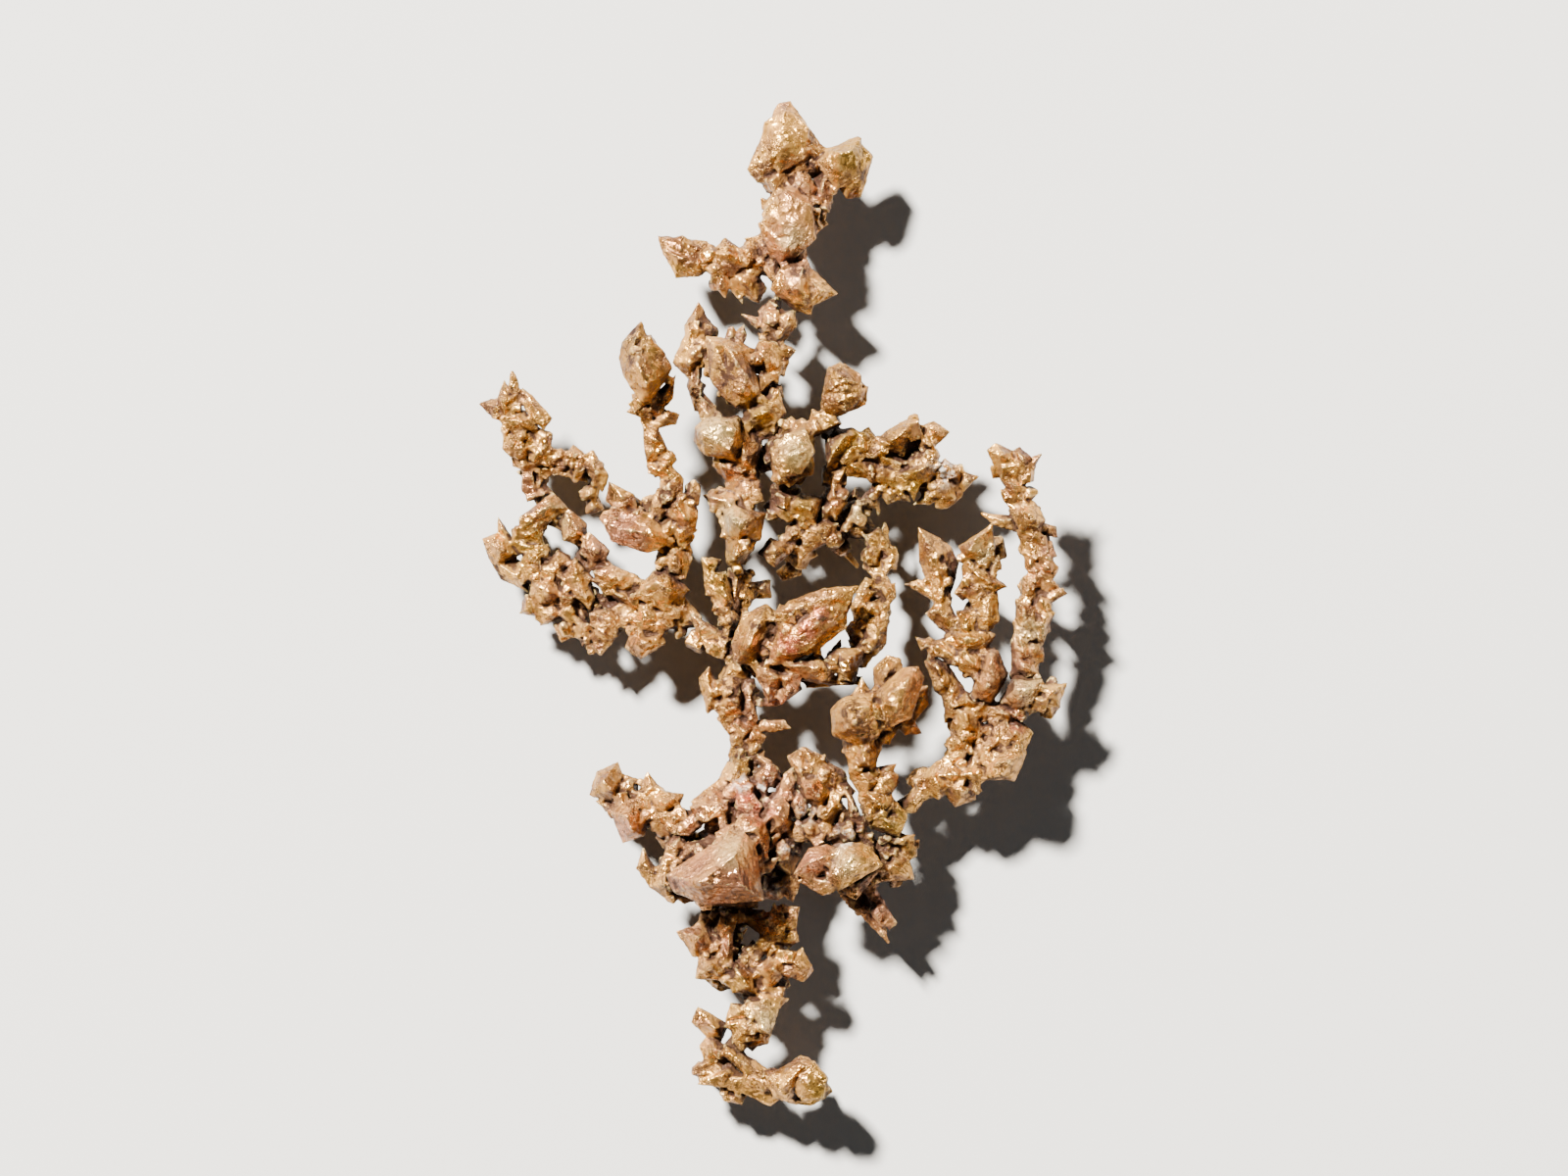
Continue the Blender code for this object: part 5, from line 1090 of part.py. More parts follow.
def right_inner_branch():
    """The inner branch on the right, with a leaf bud on a short side twig."""
    plane = (16.0, -4.0, 10.2, 0.0, 0.10)
    stem = [(16.9, -6.0, 1.1), (16.1, -4.6, 1.1), (15.9, -2.8, 1.1), (16.6, -0.8, 1.0),
            (16.6, 1.2, 1.0), (16.5, 3.0, 1.0), (16.4, 4.6, 0.9)]
    side = [(15.4, -3.2, 0.9), (14.4, -1.6, 0.8), (13.5, -0.4, 0.7), (13.3, 1.2, 0.7),
            (13.0, 3.0, 0.9), (12.7, 4.4, 0.6)]
    crystals = [
        gem(1.3, [(15.05, 4.8), (15.5, 5.3), (16.3, 5.95), (17.0, 5.9), (17.4, 5.0),
                  (16.8, 3.8), (15.1, 3.8), (14.95, 4.3)],
            [(16.1, 5.3), (15.7, 4.4)], 1.2),
        gem(1.0, [(16.8, 5.8), (17.3, 6.35), (17.55, 6.3), (17.7, 5.2), (17.75, 4.6),
                  (17.4, 3.7), (16.8, 3.4), (16.6, 4.4)], [(17.3, 5.4), (17.2, 4.3)], 0.9),
        gem(0.9, [(15.05, 4.0), (16.3, 4.0), (16.8, 3.2), (16.2, 2.3), (15.3, 2.2),
                  (15.15, 3.2)], [(15.7, 3.5), (15.9, 2.8)], 1.0),
        gem(0.7, [(17.2, 3.9), (18.0, 4.0), (18.35, 3.3), (18.1, 2.7), (17.2, 2.7)],
            [(17.7, 3.5), (17.8, 3.1)], 0.8),
        gem(1.1, [(15.5, 2.4), (16.4, 3.2), (17.3, 2.5), (18.3, 1.8), (18.35, 1.3),
                  (17.6, 0.9), (16.5, 1.1), (15.7, 1.5)],
            [(16.4, 2.3), (17.4, 1.8)], 1.1),
        gem(0.8, [(14.45, 1.0), (15.2, 2.15), (15.8, 2.0), (16.1, 1.2), (15.4, 0.5),
                  (14.9, 0.45)], [(15.2, 1.5), (15.3, 0.9)], 0.9),
        gem(1.0, [(15.3, 1.3), (16.4, 1.4), (17.1, 0.6), (17.2, -0.3), (16.4, -0.5),
                  (15.8, 0.1)], [(16.2, 0.9), (16.6, 0.1)], 1.1),
        gem(0.9, [(16.7, 1.3), (17.8, 1.2), (17.95, 0.4), (17.95, -1.2), (17.2, -2.05),
                  (16.3, -1.8), (16.3, -0.3)], [(17.2, 0.6), (17.1, -1.1)], 1.1),
        gem(0.9, [(14.6, -0.7), (15.1, -0.3), (15.9, -0.3), (16.4, -1.0), (16.1, -2.1),
                  (14.9, -2.1)], [(15.3, -0.9), (15.6, -1.5)], 1.0),
        gem(0.8, [(14.1, -2.1), (15.4, -1.8), (17.0, -1.9), (17.55, -2.4), (16.9, -3.8),
                  (15.4, -3.9), (14.3, -3.1)], [(15.1, -2.6), (16.4, -2.7)], 1.2),
        gem(0.9, [(14.6, -3.6), (16.8, -3.6), (17.1, -4.6), (16.7, -5.4), (15.8, -5.7),
                  (14.9, -5.1)], [(15.5, -4.2), (16.2, -4.8)], 1.1),
        gem(0.7, [(12.4, -3.4), (13.0, -2.75), (13.9, -2.6), (15.0, -3.6), (15.1, -4.9),
                  (14.0, -4.7), (12.6, -4.15)], [(13.2, -3.3), (14.3, -4.0)], 0.9),
        gem(0.1, [(11.35, -2.7), (11.9, -2.4), (12.9, -2.5), (13.2, -3.2), (12.3, -3.6),
                  (11.6, -3.4)], [(12.0, -2.8), (12.6, -3.0)], 0.7),
        gem(1.1, [(16.8, -4.0), (17.3, -3.65), (17.8, -3.75), (18.2, -4.4), (18.65, -5.6),
                  (18.2, -6.6), (17.4, -7.65), (16.5, -7.3), (16.0, -6.6), (16.5, -5.2)],
            [(17.4, -4.4), (17.6, -6.0), (16.9, -6.7)], 1.3),
        gem(-1.0, [(17.4, 5.4), (18.3, 5.5), (18.7, 4.5), (18.5, 3.8), (17.6, 3.6)]),
        gem(-0.6, [(11.7, 6.0), (12.3, 5.7), (13.3, 5.2), (14.0, 4.4), (13.4, 2.4),
                   (12.2, 2.2), (11.8, 3.4), (11.7, 4.8)],
            [(12.3, 5.2), (13.1, 4.3), (12.6, 2.9)], 0.9),
        gem(-0.8, [(13.2, 5.2), (14.2, 4.5), (14.65, 3.6), (14.75, 2.7), (14.5, 1.8),
                   (14.0, 0.8), (13.3, 0.8), (12.9, 2.2), (13.4, 3.8)],
            [(13.7, 4.2), (13.8, 2.6)], 0.9),
        gem(-0.4, [(10.6, 1.75), (11.2, 2.0), (12.0, 1.95), (12.8, 1.5), (13.2, 0.7),
                   (12.6, 0.3), (11.9, 0.85), (11.0, 1.25)], [(11.4, 1.6), (12.4, 1.1)], 0.7),
        gem(-0.2, [(12.4, 2.2), (13.2, 2.3), (13.6, 1.2), (12.9, 0.2), (12.4, 0.9)],
            [(12.9, 1.7), (13.0, 1.0)], 0.7),
        gem(0.0, [(12.45, -0.5), (13.2, 0.3), (14.0, 0.3), (14.3, -0.4), (14.7, -1.0),
                  (14.8, -2.1), (14.0, -2.3), (13.2, -1.7), (12.6, -1.1)],
            [(13.2, -0.3), (14.1, -1.2)], 1.1),
        spur(16.4, 0.8, -0.3, 0.0, 0.1, 2.0, 4.2),
        spur(13.4, 2.6, -0.8, 0.0, 0.0, 1.6, 2.4),
    ]
    return plane, [stem, side], crystals


# Each fork's function, its node's name and its colour (linear red, green, blue). A fork
# gives way to those above it in the list where their crystals meet.
FORKS = [
    ("hub", hub, (0.62, 0.36, 0.20)),
    ("lower_stem", lower_stem, (0.58, 0.36, 0.16)),
    ("foot_hook", foot_hook, (0.60, 0.37, 0.19)),
    ("lower_left_branch", lower_left_branch, (0.58, 0.37, 0.19)),
    ("middle_trunk", middle_trunk, (0.57, 0.36, 0.18)),
    ("leaf_cluster", leaf_cluster, (0.60, 0.36, 0.18)),
    ("ring_twig", ring_twig, (0.56, 0.36, 0.19)),
    ("left_branch", left_branch, (0.56, 0.36, 0.18)),
    ("upper_trunk", upper_trunk, (0.58, 0.38, 0.18)),
    ("left_inner_branch", left_inner_branch, (0.57, 0.36, 0.18)),
    ("left_outer_branch", left_outer_branch, (0.53, 0.34, 0.17)),
    ("crown", crown, (0.60, 0.38, 0.19)),
    ("paddle_twig", paddle_twig, (0.60, 0.40, 0.20)),
    ("right_upper_branch", right_upper_branch, (0.55, 0.34, 0.16)),
    ("lower_right_cluster", lower_right_cluster, (0.60, 0.37, 0.19)),
    ("middle_right_branch", middle_right_branch, (0.62, 0.38, 0.20)),
    ("right_arm", right_arm, (0.60, 0.38, 0.20)),
    ("right_outer_branch", right_outer_branch, (0.58, 0.37, 0.20)),
    ("right_inner_branch", right_inner_branch, (0.58, 0.37, 0.19)),
]


def clear_scene():
    """Start from an empty scene."""
    for thing in list(bpy.data.objects):
        bpy.data.objects.remove(thing, do_unlink=True)


def plane_height(plane, x, y):
    """The height of a fork's own plane over the point (x, y)."""
    x0, y0, z0, slope_x, slope_y = plane
    return z0 + slope_x * (x - x0) + slope_y * (y - y0) - SETTLE


def area_and_centre(outline):
    """A polygon's area and centroid."""
    area = 0.0
    cx = 0.0
    cy = 0.0
    for (x1, y1), (x2, y2) in zip(outline, outline[1:] + outline[:1]):
        cross = x1 * y2 - x2 * y1
        area += cross / 2.0
        cx += (x1 + x2) * cross / 6.0
        cy += (y1 + y2) * cross / 6.0
    return abs(area), cx / area, cy / area


def long_axis(outline, cx, cy):
    """The direction of an outline's length, and its half length and half width."""
    sxx = sum((x - cx) ** 2 for x, y in outline)
    syy = sum((y - cy) ** 2 for x, y in outline)
    sxy = sum((x - cx) * (y - cy) for x, y in outline)
    angle = 0.5 * math.atan2(2.0 * sxy, sxx - syy)
    ux, uy = math.cos(angle), math.sin(angle)
    along = [(x - cx) * ux + (y - cy) * uy for x, y in outline]
    across = [(y - cy) * ux - (x - cx) * uy for x, y in outline]
    return (ux, uy), max(map(abs, along)), max(map(abs, across))


def gem_points(piece, plane, rng):
    """The corners of a crystal drawn as an outline."""
    area, cx, cy = area_and_centre(piece["outline"])
    (ux, uy), length, width = long_axis(piece["outline"], cx, cy)
    half = min(width, math.sqrt(area) / 1.6)
    up = (piece["up"] or ROOF) * half
    down = (piece["down"] or KEEL) * half
    level = plane_height(plane, cx, cy) + piece["rise"]
    wall = WALL * half if area > BIG else 0.0
    points = []
    for x, y in piece["outline"]:
        px = cx + (x - cx) * OVERLAP
        py = cy + (y - cy) * OVERLAP
        lift = rng.uniform(-UNEVEN, UNEVEN) * half
        if wall:
            points.append((px, py, level + lift + wall))
            px = cx + (x - cx) * 0.94
            py = cy + (y - cy) * 0.94
        points.append((px, py, level + lift - wall))
    ridge = piece["ridge"]
    if ridge is None:
        side = rng.uniform(-0.25, 0.25) * width
        ridge = [(cx + ux * length * t - uy * side, cy + uy * length * t + ux * side)
                 for t in (-0.35, 0.35)]
    for x, y in ridge:
        points.append((x, y, level + up * rng.uniform(0.9, 1.1)))
    for t in (-0.42, 0.38):
        side = rng.uniform(-0.3, 0.3) * width
        points.append((cx + ux * length * t - uy * side, cy + uy * length * t + ux * side,
                       level - down * rng.uniform(0.85, 1.1)))
    return [points]


def spear_points(piece, plane, rng):
    """The corners of a long pointed crystal."""
    (x1, y1, r1), (x2, y2, r2) = piece["root"], piece["tip"]
    start = Vector((x1, y1, plane_height(plane, x1, y1) + r1))
    end = Vector((x2, y2, plane_height(plane, x2, y2) + r2))
    along = (end - start).normalized()
    across = along.cross(Vector((0.0, 0.0, 1.0))).normalized()
    over = across.cross(along)
    half = piece["width"] / 2.0
    turn = rng.uniform(-0.4, 0.4)
    points = []
    for share, size in ((0.0, 0.75), (0.55, 1.0), (0.93, 0.5)):
        middle = start.lerp(end, share)
        for corner in range(5):
            a = turn + corner * math.tau / 5.0
            points.append(middle + across * math.cos(a) * half * size
                          + over * math.sin(a) * half * size * piece["flat"])
    points.append(end)
    return [[tuple(p) for p in points]]


def bud(centre, width, rng, stretch=1.0):
    """A small crystal: a five-sided girdle between a point and a short edge."""
    turn = (Matrix.Rotation(rng.uniform(0.0, math.tau), 3, "Z")
            @ Matrix.Rotation(rng.uniform(-0.9, 0.9), 3, "X"))
    half = width / 2.0
    corners = [Vector((-0.3 * half, 0.0, half * stretch)),
               Vector((0.3 * half, 0.1 * half, half * stretch)),
               Vector((0.0, 0.1 * half, -1.05 * half * stretch))]
    for i in range(5):
        a = (i + rng.uniform(-0.25, 0.25)) * math.tau / 5.0
        corners.append(Vector((math.cos(a) * half * 1.05, math.sin(a) * half * 0.9,
                               rng.uniform(-0.25, 0.25) * half)))
    return [tuple(Vector(centre) + turn @ corner) for corner in corners]


def nub_points(piece, plane, rng):
    """The corners of a small equant crystal."""
    x, y, rise = piece["place"]
    centre = (x, y, plane_height(plane, x, y) + rise)
    return [bud(centre, piece["width"] * NUB_SIZE, rng)]


def spur_points(piece, plane, rng):
    """The crystals of a twig that grows back from its fork."""
    x, y, rise = piece["place"]
    top = plane_height(plane, x, y) + rise
    depth = piece["depth"] or top + 0.3
    lean_x, lean_y = piece["lean"]
    count = max(2, round(depth / (0.85 * piece["width"])))
    step = depth / count
    crystals = []
    for i in range(count):
        points = []
        for fall, size in ((i - 0.25, 0.34), (i + 0.35, 0.56), (i + 1.05, 0.26)):
            radius = piece["width"] * size * (1.0 - 0.22 * i / count)
            middle = (x + lean_x * fall * step, y + lean_y * fall * step)
            turn = rng.uniform(0.0, math.tau)
            for corner in range(4):
                a = turn + corner * math.tau / 4.0
                points.append((middle[0] + math.cos(a) * radius * rng.uniform(0.8, 1.2),
                               middle[1] + math.sin(a) * radius * rng.uniform(0.8, 1.2),
                               top - fall * step))
        crystals.append(points)
        if i % 2:
            continue
        side = rng.uniform(0.0, math.tau)
        reach = 0.5 * piece["width"]
        place = (x + lean_x * (i + 0.5) * step + math.cos(side) * reach,
                 y + lean_y * (i + 0.5) * step + math.sin(side) * reach,
                 top - (i + 0.4) * step)
        crystals.append(bud(place, 0.75 * piece["width"], rng))
    return crystals


def stem_points(route, plane, rng):
    """A jointed stem through (x, y, radius) points, with a crust on its back."""
    pieces = []
    for step, ((x1, y1, r1), (x2, y2, r2)) in enumerate(zip(route, route[1:])):
        heading = Vector((x2 - x1, y2 - y1, 0.0)).normalized()
        across = Vector((-heading.y, heading.x, 0.0))
        turn = rng.uniform(0.0, 1.2)
        points = []
        for x, y, radius, back in ((x1, y1, r1, -0.3), (x2, y2, r2, 0.3)):
            middle = Vector((x, y, plane_height(plane, x, y))) + heading * radius * back
            for corner in range(4):
                a = turn + corner * math.tau / 4.0
                points.append(middle + across * math.cos(a) * radius * 0.9
                              + Vector((0.0, 0.0, math.sin(a) * radius * 1.05)))
        pieces.append([tuple(p) for p in points])
        if step % 2:
            continue
        middle = ((x1 + x2) / 2.0, (y1 + y2) / 2.0)
        radius = (r1 + r2) / 2.0
        width = min(max(rng.uniform(1.3, 1.9) * radius, CRUST_LEAST), CRUST_MOST)
        side = rng.uniform(-0.35, 0.35) * radius
        centre = (middle[0] + across.x * side, middle[1] + across.y * side,
                  plane_height(plane, *middle) - radius * rng.uniform(0.8, 1.15))
        pieces.append(bud(centre, width, rng))
    return pieces


POINTS = {"gem": gem_points, "spear": spear_points, "nub": nub_points,
          "spur": spur_points}


def hull_bmesh(points):
    """A closed convex body round the points."""
    bm = bmesh.new()
    for point in points:
        bm.verts.new(point)
    bmesh.ops.remove_doubles(bm, verts=bm.verts, dist=WELD)
    found = bmesh.ops.convex_hull(bm, input=bm.verts)
    spare = [e for e in found["geom_interior"] + found["geom_unused"]
             if isinstance(e, bmesh.types.BMVert)]
    bmesh.ops.delete(bm, geom=list(set(spare)), context="VERTS")
    bmesh.ops.recalc_face_normals(bm, faces=bm.faces)
    return bm


def hull_mesh(points, name):
    """A crystal's mesh."""
    bm = hull_bmesh(points)
    mesh = bpy.data.meshes.new(name)
    bm.to_mesh(mesh)
    bm.free()
    return mesh


def crystal_points(fork, index):
    """Every crystal of a fork as a list of corners, in metres."""
    plane, route, crystals = fork()
    rng = random.Random(SEED + index)
    routes = route if isinstance(route[0], list) else [route]
    clouds = []
    for path in routes:
        clouds += stem_points(path, plane, rng)
    for piece in crystals:
        clouds += POINTS[piece["kind"]](piece, plane, rng)
    return [[(x * UNIT, y * UNIT, z * UNIT) for x, y, z in cloud] for cloud in clouds]


def clearance_mesh(points, reach):
    """The crystal with every one of its faces moved out by reach."""
    source = bmesh.new()
    source.from_mesh(hull_mesh(points, "crystal"))
    bmesh.ops.dissolve_limit(source, angle_limit=0.02, verts=source.verts,
                             edges=source.edges)
    source.normal_update()
    planes = [(f.calc_center_median() + f.normal * reach, f.normal.copy())
              for f in source.faces]
    source.free()
    low, high = box_of(points)
    size = Matrix.Diagonal([h - k + 2.6 * reach for k, h in zip(low, high)] + [1.0])
    middle = Matrix.Translation([(h + k) / 2.0 for k, h in zip(low, high)])
    bm = bmesh.new()
    bmesh.ops.create_cube(bm, size=1.0, matrix=middle @ size)
    for place, normal in planes:
        bmesh.ops.bisect_plane(bm, geom=bm.verts[:] + bm.edges[:] + bm.faces[:],
                               dist=1e-9, plane_co=place, plane_no=normal,
                               clear_outer=True)
        corners = [v.co.copy() for v in bm.verts]
        bm.free()
        bm = hull_bmesh(corners)
    bmesh.ops.dissolve_limit(bm, angle_limit=0.01, verts=bm.verts, edges=bm.edges)
    mesh = bpy.data.meshes.new("clearance")
    bm.to_mesh(mesh)
    bm.free()
    return mesh


def box_of(points):
    """The least and greatest corners of a cloud of points."""
    return [min(p[i] for p in points) for i in range(3)], \
           [max(p[i] for p in points) for i in range(3)]


def boxes_meet(a, b, reach):
    """Whether two boxes come within reach of each other."""
    return all(a[0][i] - reach < b[1][i] and b[0][i] - reach < a[1][i] for i in range(3))


def weld(mesh, within):
    """Make one vertex of those that lie in the same place, and drop slivers."""
    bm = bmesh.new()
    bm.from_mesh(mesh)
    bmesh.ops.remove_doubles(bm, verts=bm.verts, dist=within)
    bmesh.ops.dissolve_degenerate(bm, edges=bm.edges, dist=within)
    bmesh.ops.triangulate(bm, faces=bm.faces)
    bm.to_mesh(mesh)
    bm.free()


def is_closed(mesh, within=0.0):
    """Whether the surface is closed all over, with vertices this close made one."""
    bm = bmesh.new()
    bm.from_mesh(mesh)
    bmesh.ops.remove_doubles(bm, verts=bm.verts, dist=within)
    bmesh.ops.dissolve_degenerate(bm, edges=bm.edges, dist=within)
    closed = (all(len(edge.link_faces) == 2 for edge in bm.edges)
              and all(corner.is_manifold for corner in bm.verts))
    bm.free()
    return closed


def boolean(target, operands, operation, helpers):
    """Replace the target's mesh by its union with, or difference from, the operands.

    Where many crystals meet in one place, the exact way can leave an open edge, and the
    crystals are then joined the other way.
    """
    group = bpy.data.collections.new("operands")
    helpers.children.link(group)
    for mesh in operands:
        tool = bpy.data.objects.new("operand", mesh)
        tool.hide_render = True
        tool.display_type = "WIRE"
        group.objects.link(tool)
    modifier = target.modifiers.new("boolean", "BOOLEAN")
    modifier.operation = operation
    modifier.operand_type = "COLLECTION"
    modifier.collection = group
    for solver in ("EXACT", "MANIFOLD"):
        modifier.solver = solver
        depsgraph = bpy.context.evaluated_depsgraph_get()
        result = bpy.data.meshes.new_from_object(target.evaluated_get(depsgraph))
        if solver == "EXACT":
            weld(result, WELD)
        if is_closed(result):
            break
    target.modifiers.clear()
    target.data = result
    for tool in list(group.objects):
        bpy.data.objects.remove(tool, do_unlink=True)
    bpy.data.collections.remove(group)


def islands(bm):
    """The connected bodies of a mesh, each as a list of faces."""
    left = set(bm.faces)
    found = []
    while left:
        stack = [left.pop()]
        body = []
        while stack:
            face = stack.pop()
            body.append(face)
            for edge in face.edges:
                for other in edge.link_faces:
                    if other in left:
                        left.remove(other)
                        stack.append(other)
        found.append(body)
    return found


def bodies_of(bm):
    """A mesh's connected bodies, the largest last."""
    return sorted(islands(bm), key=lambda body: sum(f.calc_area() for f in body))


def roots_between(target):
    """A root for each body that stands clear of the largest one."""
    bm = bmesh.new()
    bm.from_mesh(target.data)
    bodies = bodies_of(bm)
    trunk = {v for f in bodies[-1] for v in f.verts}
    roots = []
    for body in bodies[:-1]:
        corners = {v for f in body for v in f.verts}
        middle = sum((v.co for v in corners), Vector()) / len(corners)
        near = min(trunk, key=lambda v: min((v.co - c.co).length for c in corners))
        own = sorted(corners, key=lambda v: (v.co - near.co).length)[:4]
        there = sorted(trunk, key=lambda v: (v.co - near.co).length)[:4]
        inner = (middle - near.co).normalized() * LEAST_ROOT
        roots.append([v.co + inner for v in own] + [v.co - inner for v in there]
                     + [own[0].co - inner * 0.5, there[0].co + inner * 0.5])
    bm.free()
    return roots


def keep_largest(target):
    """Leave only the mesh's largest body, in triangles."""
    bm = bmesh.new()
    bm.from_mesh(target.data)
    spare = [face for body in bodies_of(bm)[:-1] for face in body]
    if spare:
        bmesh.ops.delete(bm, geom=spare, context="FACES")
    bmesh.ops.triangulate(bm, faces=bm.faces)
    bm.to_mesh(target.data)
    bm.free()


def wear_flat(mesh):
    """Cut a body off at the ground, so that it rests on a flat."""
    bm = bmesh.new()
    bm.from_mesh(mesh)
    if min(v.co.z for v in bm.verts) < 0.0:
        bmesh.ops.bisect_plane(bm, geom=bm.verts[:] + bm.edges[:] + bm.faces[:],
                               dist=WELD, plane_co=(0.0, 0.0, 0.0),
                               plane_no=(0.0, 0.0, 1.0), clear_inner=True)
        bmesh.ops.holes_fill(bm, edges=[e for e in bm.edges if e.is_boundary], sides=0)
    bmesh.ops.triangulate(bm, faces=bm.faces)
    bmesh.ops.recalc_face_normals(bm, faces=bm.faces)
    bm.to_mesh(mesh)
    bm.free()


def tidy_body(target):
    """Keep the largest connected body, with fewer triangles and flat where it rests."""
    keep_largest(target)
    modifier = target.modifiers.new("fewer", "DECIMATE")
    modifier.ratio = DETAIL
    depsgraph = bpy.context.evaluated_depsgraph_get()
    target.data = bpy.data.meshes.new_from_object(target.evaluated_get(depsgraph))
    target.modifiers.clear()
    wear_flat(target.data)
    weld(target.data, SLIVER)


def finish_for(name, colour):
    """The fork's own patinated copper."""
    material = bpy.data.materials.new(name + "_copper")
    material.use_nodes = True
    shader = material.node_tree.nodes["Principled BSDF"]
    shader.inputs["Base Color"].default_value = (*colour, 1.0)
    shader.inputs["Metallic"].default_value = METAL
    shader.inputs["Roughness"].default_value = ROUGHNESS
    return material


def build_fork(target, clouds, earlier, helpers):
    """One fork as a single closed solid that clears the forks already built."""
    target.data = hull_mesh(clouds[0], target.name)
    boolean(target, [hull_mesh(cloud, "crystal") for cloud in clouds[1:]], "UNION", helpers)
    roots = roots_between(target)
    if roots:
        boolean(target, [hull_mesh(root, "root") for root in roots], "UNION", helpers)
        clouds += [[tuple(p) for p in root] for root in roots]
    boxes = [box_of(cloud) for cloud in clouds]
    near = [cloud for cloud, box in earlier
            if any(boxes_meet(box, own, 2.0 * NODE_GAP) for own in boxes)]
    if near:
        cutters = [clearance_mesh(cloud, NODE_GAP) for cloud in near]
        boolean(target, cutters, "DIFFERENCE", helpers)
    tidy_body(target)
    return list(zip(clouds, boxes))


def centre_on_ground(objects):
    """Put the middle of the whole tree's box over the origin, with its foot on z = 0."""
    corners = [v.co for thing in objects for v in thing.data.vertices]
    low = [min(c[i] for c in corners) for i in range(3)]
    high = [max(c[i] for c in corners) for i in range(3)]
    shift = Matrix.Translation((-(low[0] + high[0]) / 2.0, -(low[1] + high[1]) / 2.0,
                                -low[2]))
    for thing in objects:
        thing.data.transform(shift)
        thing.data.update()


def main():
    clear_scene()
    parts = bpy.data.collections.new("native_copper_tree")
    helpers = bpy.data.collections.new("helpers")
    for collection in (parts, helpers):
        bpy.context.scene.collection.children.link(collection)
    earlier = []
    objects = []
    for index, (name, fork, colour) in enumerate(FORKS):
        target = bpy.data.objects.new(name, bpy.data.meshes.new(name))
        parts.objects.link(target)
        for draw in range(DRAWS):
            clouds = crystal_points(fork, index + draw * len(FORKS))
            grown = build_fork(target, clouds, earlier, helpers)
            if is_closed(target.data) and is_closed(target.data, 3.0 * SLIVER):
                break
        target.data.name = name
        target.data.materials.clear()
        target.data.materials.append(finish_for(name, colour))
        earlier += grown
        objects.append(target)
    centre_on_ground(objects)


main()
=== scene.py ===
"""The grown surface, finish and setting of a branching native copper specimen."""

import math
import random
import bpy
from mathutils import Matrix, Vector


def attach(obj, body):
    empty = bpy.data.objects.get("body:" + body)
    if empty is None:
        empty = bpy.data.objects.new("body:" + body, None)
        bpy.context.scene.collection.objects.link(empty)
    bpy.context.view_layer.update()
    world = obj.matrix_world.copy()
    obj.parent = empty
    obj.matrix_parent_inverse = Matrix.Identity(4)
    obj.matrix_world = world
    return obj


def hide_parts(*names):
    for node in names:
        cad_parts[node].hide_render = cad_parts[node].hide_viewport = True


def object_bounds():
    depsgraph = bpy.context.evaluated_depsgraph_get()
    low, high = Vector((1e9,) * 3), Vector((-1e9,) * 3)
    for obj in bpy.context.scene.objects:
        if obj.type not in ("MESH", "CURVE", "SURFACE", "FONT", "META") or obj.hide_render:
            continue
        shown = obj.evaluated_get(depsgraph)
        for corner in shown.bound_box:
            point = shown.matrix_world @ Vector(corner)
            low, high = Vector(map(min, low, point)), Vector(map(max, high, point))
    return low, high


bl_info = {
    "name": "Native Copper Specimen",
    "version": (1, 0, 0),
    "blender": (4, 5, 0),
    "location": "3D View > Sidebar > Copper",
    "description": "Grows the rough crystal surface of a branching copper specimen",
    "category": "Object",
}

import bmesh
import bpy
import numpy as np
from mathutils import Matrix, Vector
from mathutils.bvhtree import BVHTree

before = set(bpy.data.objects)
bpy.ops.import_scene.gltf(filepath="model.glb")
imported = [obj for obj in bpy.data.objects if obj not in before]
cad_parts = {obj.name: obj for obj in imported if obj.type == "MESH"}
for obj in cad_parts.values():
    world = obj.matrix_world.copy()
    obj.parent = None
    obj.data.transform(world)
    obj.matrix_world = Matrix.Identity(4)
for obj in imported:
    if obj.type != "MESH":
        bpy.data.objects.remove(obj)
SOLID_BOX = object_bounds()

MM = 0.001

# The forks in the order they branch, from the foot up.
TRUNK = ("foot_hook", "lower_stem", "hub", "middle_trunk", "upper_trunk", "crown")
LEFT = ("lower_left_branch", "left_branch", "left_outer_branch", "left_inner_branch")
MIDDLE = ("leaf_cluster", "ring_twig", "paddle_twig", "right_upper_branch")
RIGHT = ("lower_right_cluster", "middle_right_branch", "right_arm", "right_outer_branch",
         "right_inner_branch")

# Tints, painted shade (dark) and painted highlights (pale) on the copper: (x, y, radius) in
# millimetres, seen from above.
PINK = [(-4.0, -21.0, 6.0), (-1.0, -15.5, 4.0), (3.4, -20.6, 2.6), (8.6, -24.4, 3.0),
        (-0.4, -8.0, 3.0), (-11.8, -18.2, 2.6), (1.8, -6.4, 2.0), (-13.0, 5.2, 3.0),
        (1.6, 28.4, 3.0), (19.0, -5.6, 3.0), (2.2, 33.4, 2.6)]
OLIVE = [(5.5, 13.0, 2.2), (-1.0, 15.0, 2.0), (2.5, 7.8, 1.8), (11.2, 9.5, 2.2),
         (9.0, -17.3, 1.8), (-2.3, -12.9, 1.5), (-19.6, 4.8, 1.8), (6.2, 36.0, 2.0),
         (-4.2, 2.6, 1.8), (-3.4, -31.0, 1.6), (4.4, -38.6, 2.2)]
RED = [(1.2, -3.2, 1.3), (2.4, -1.8, 1.2), (3.6, -0.8, 0.9), (-0.6, -3.2, 1.1),
       (-2.4, -15.2, 1.2), (-0.8, -16.3, 1.2), (19.6, -9.5, 0.9), (0.6, -8.4, 1.0)]
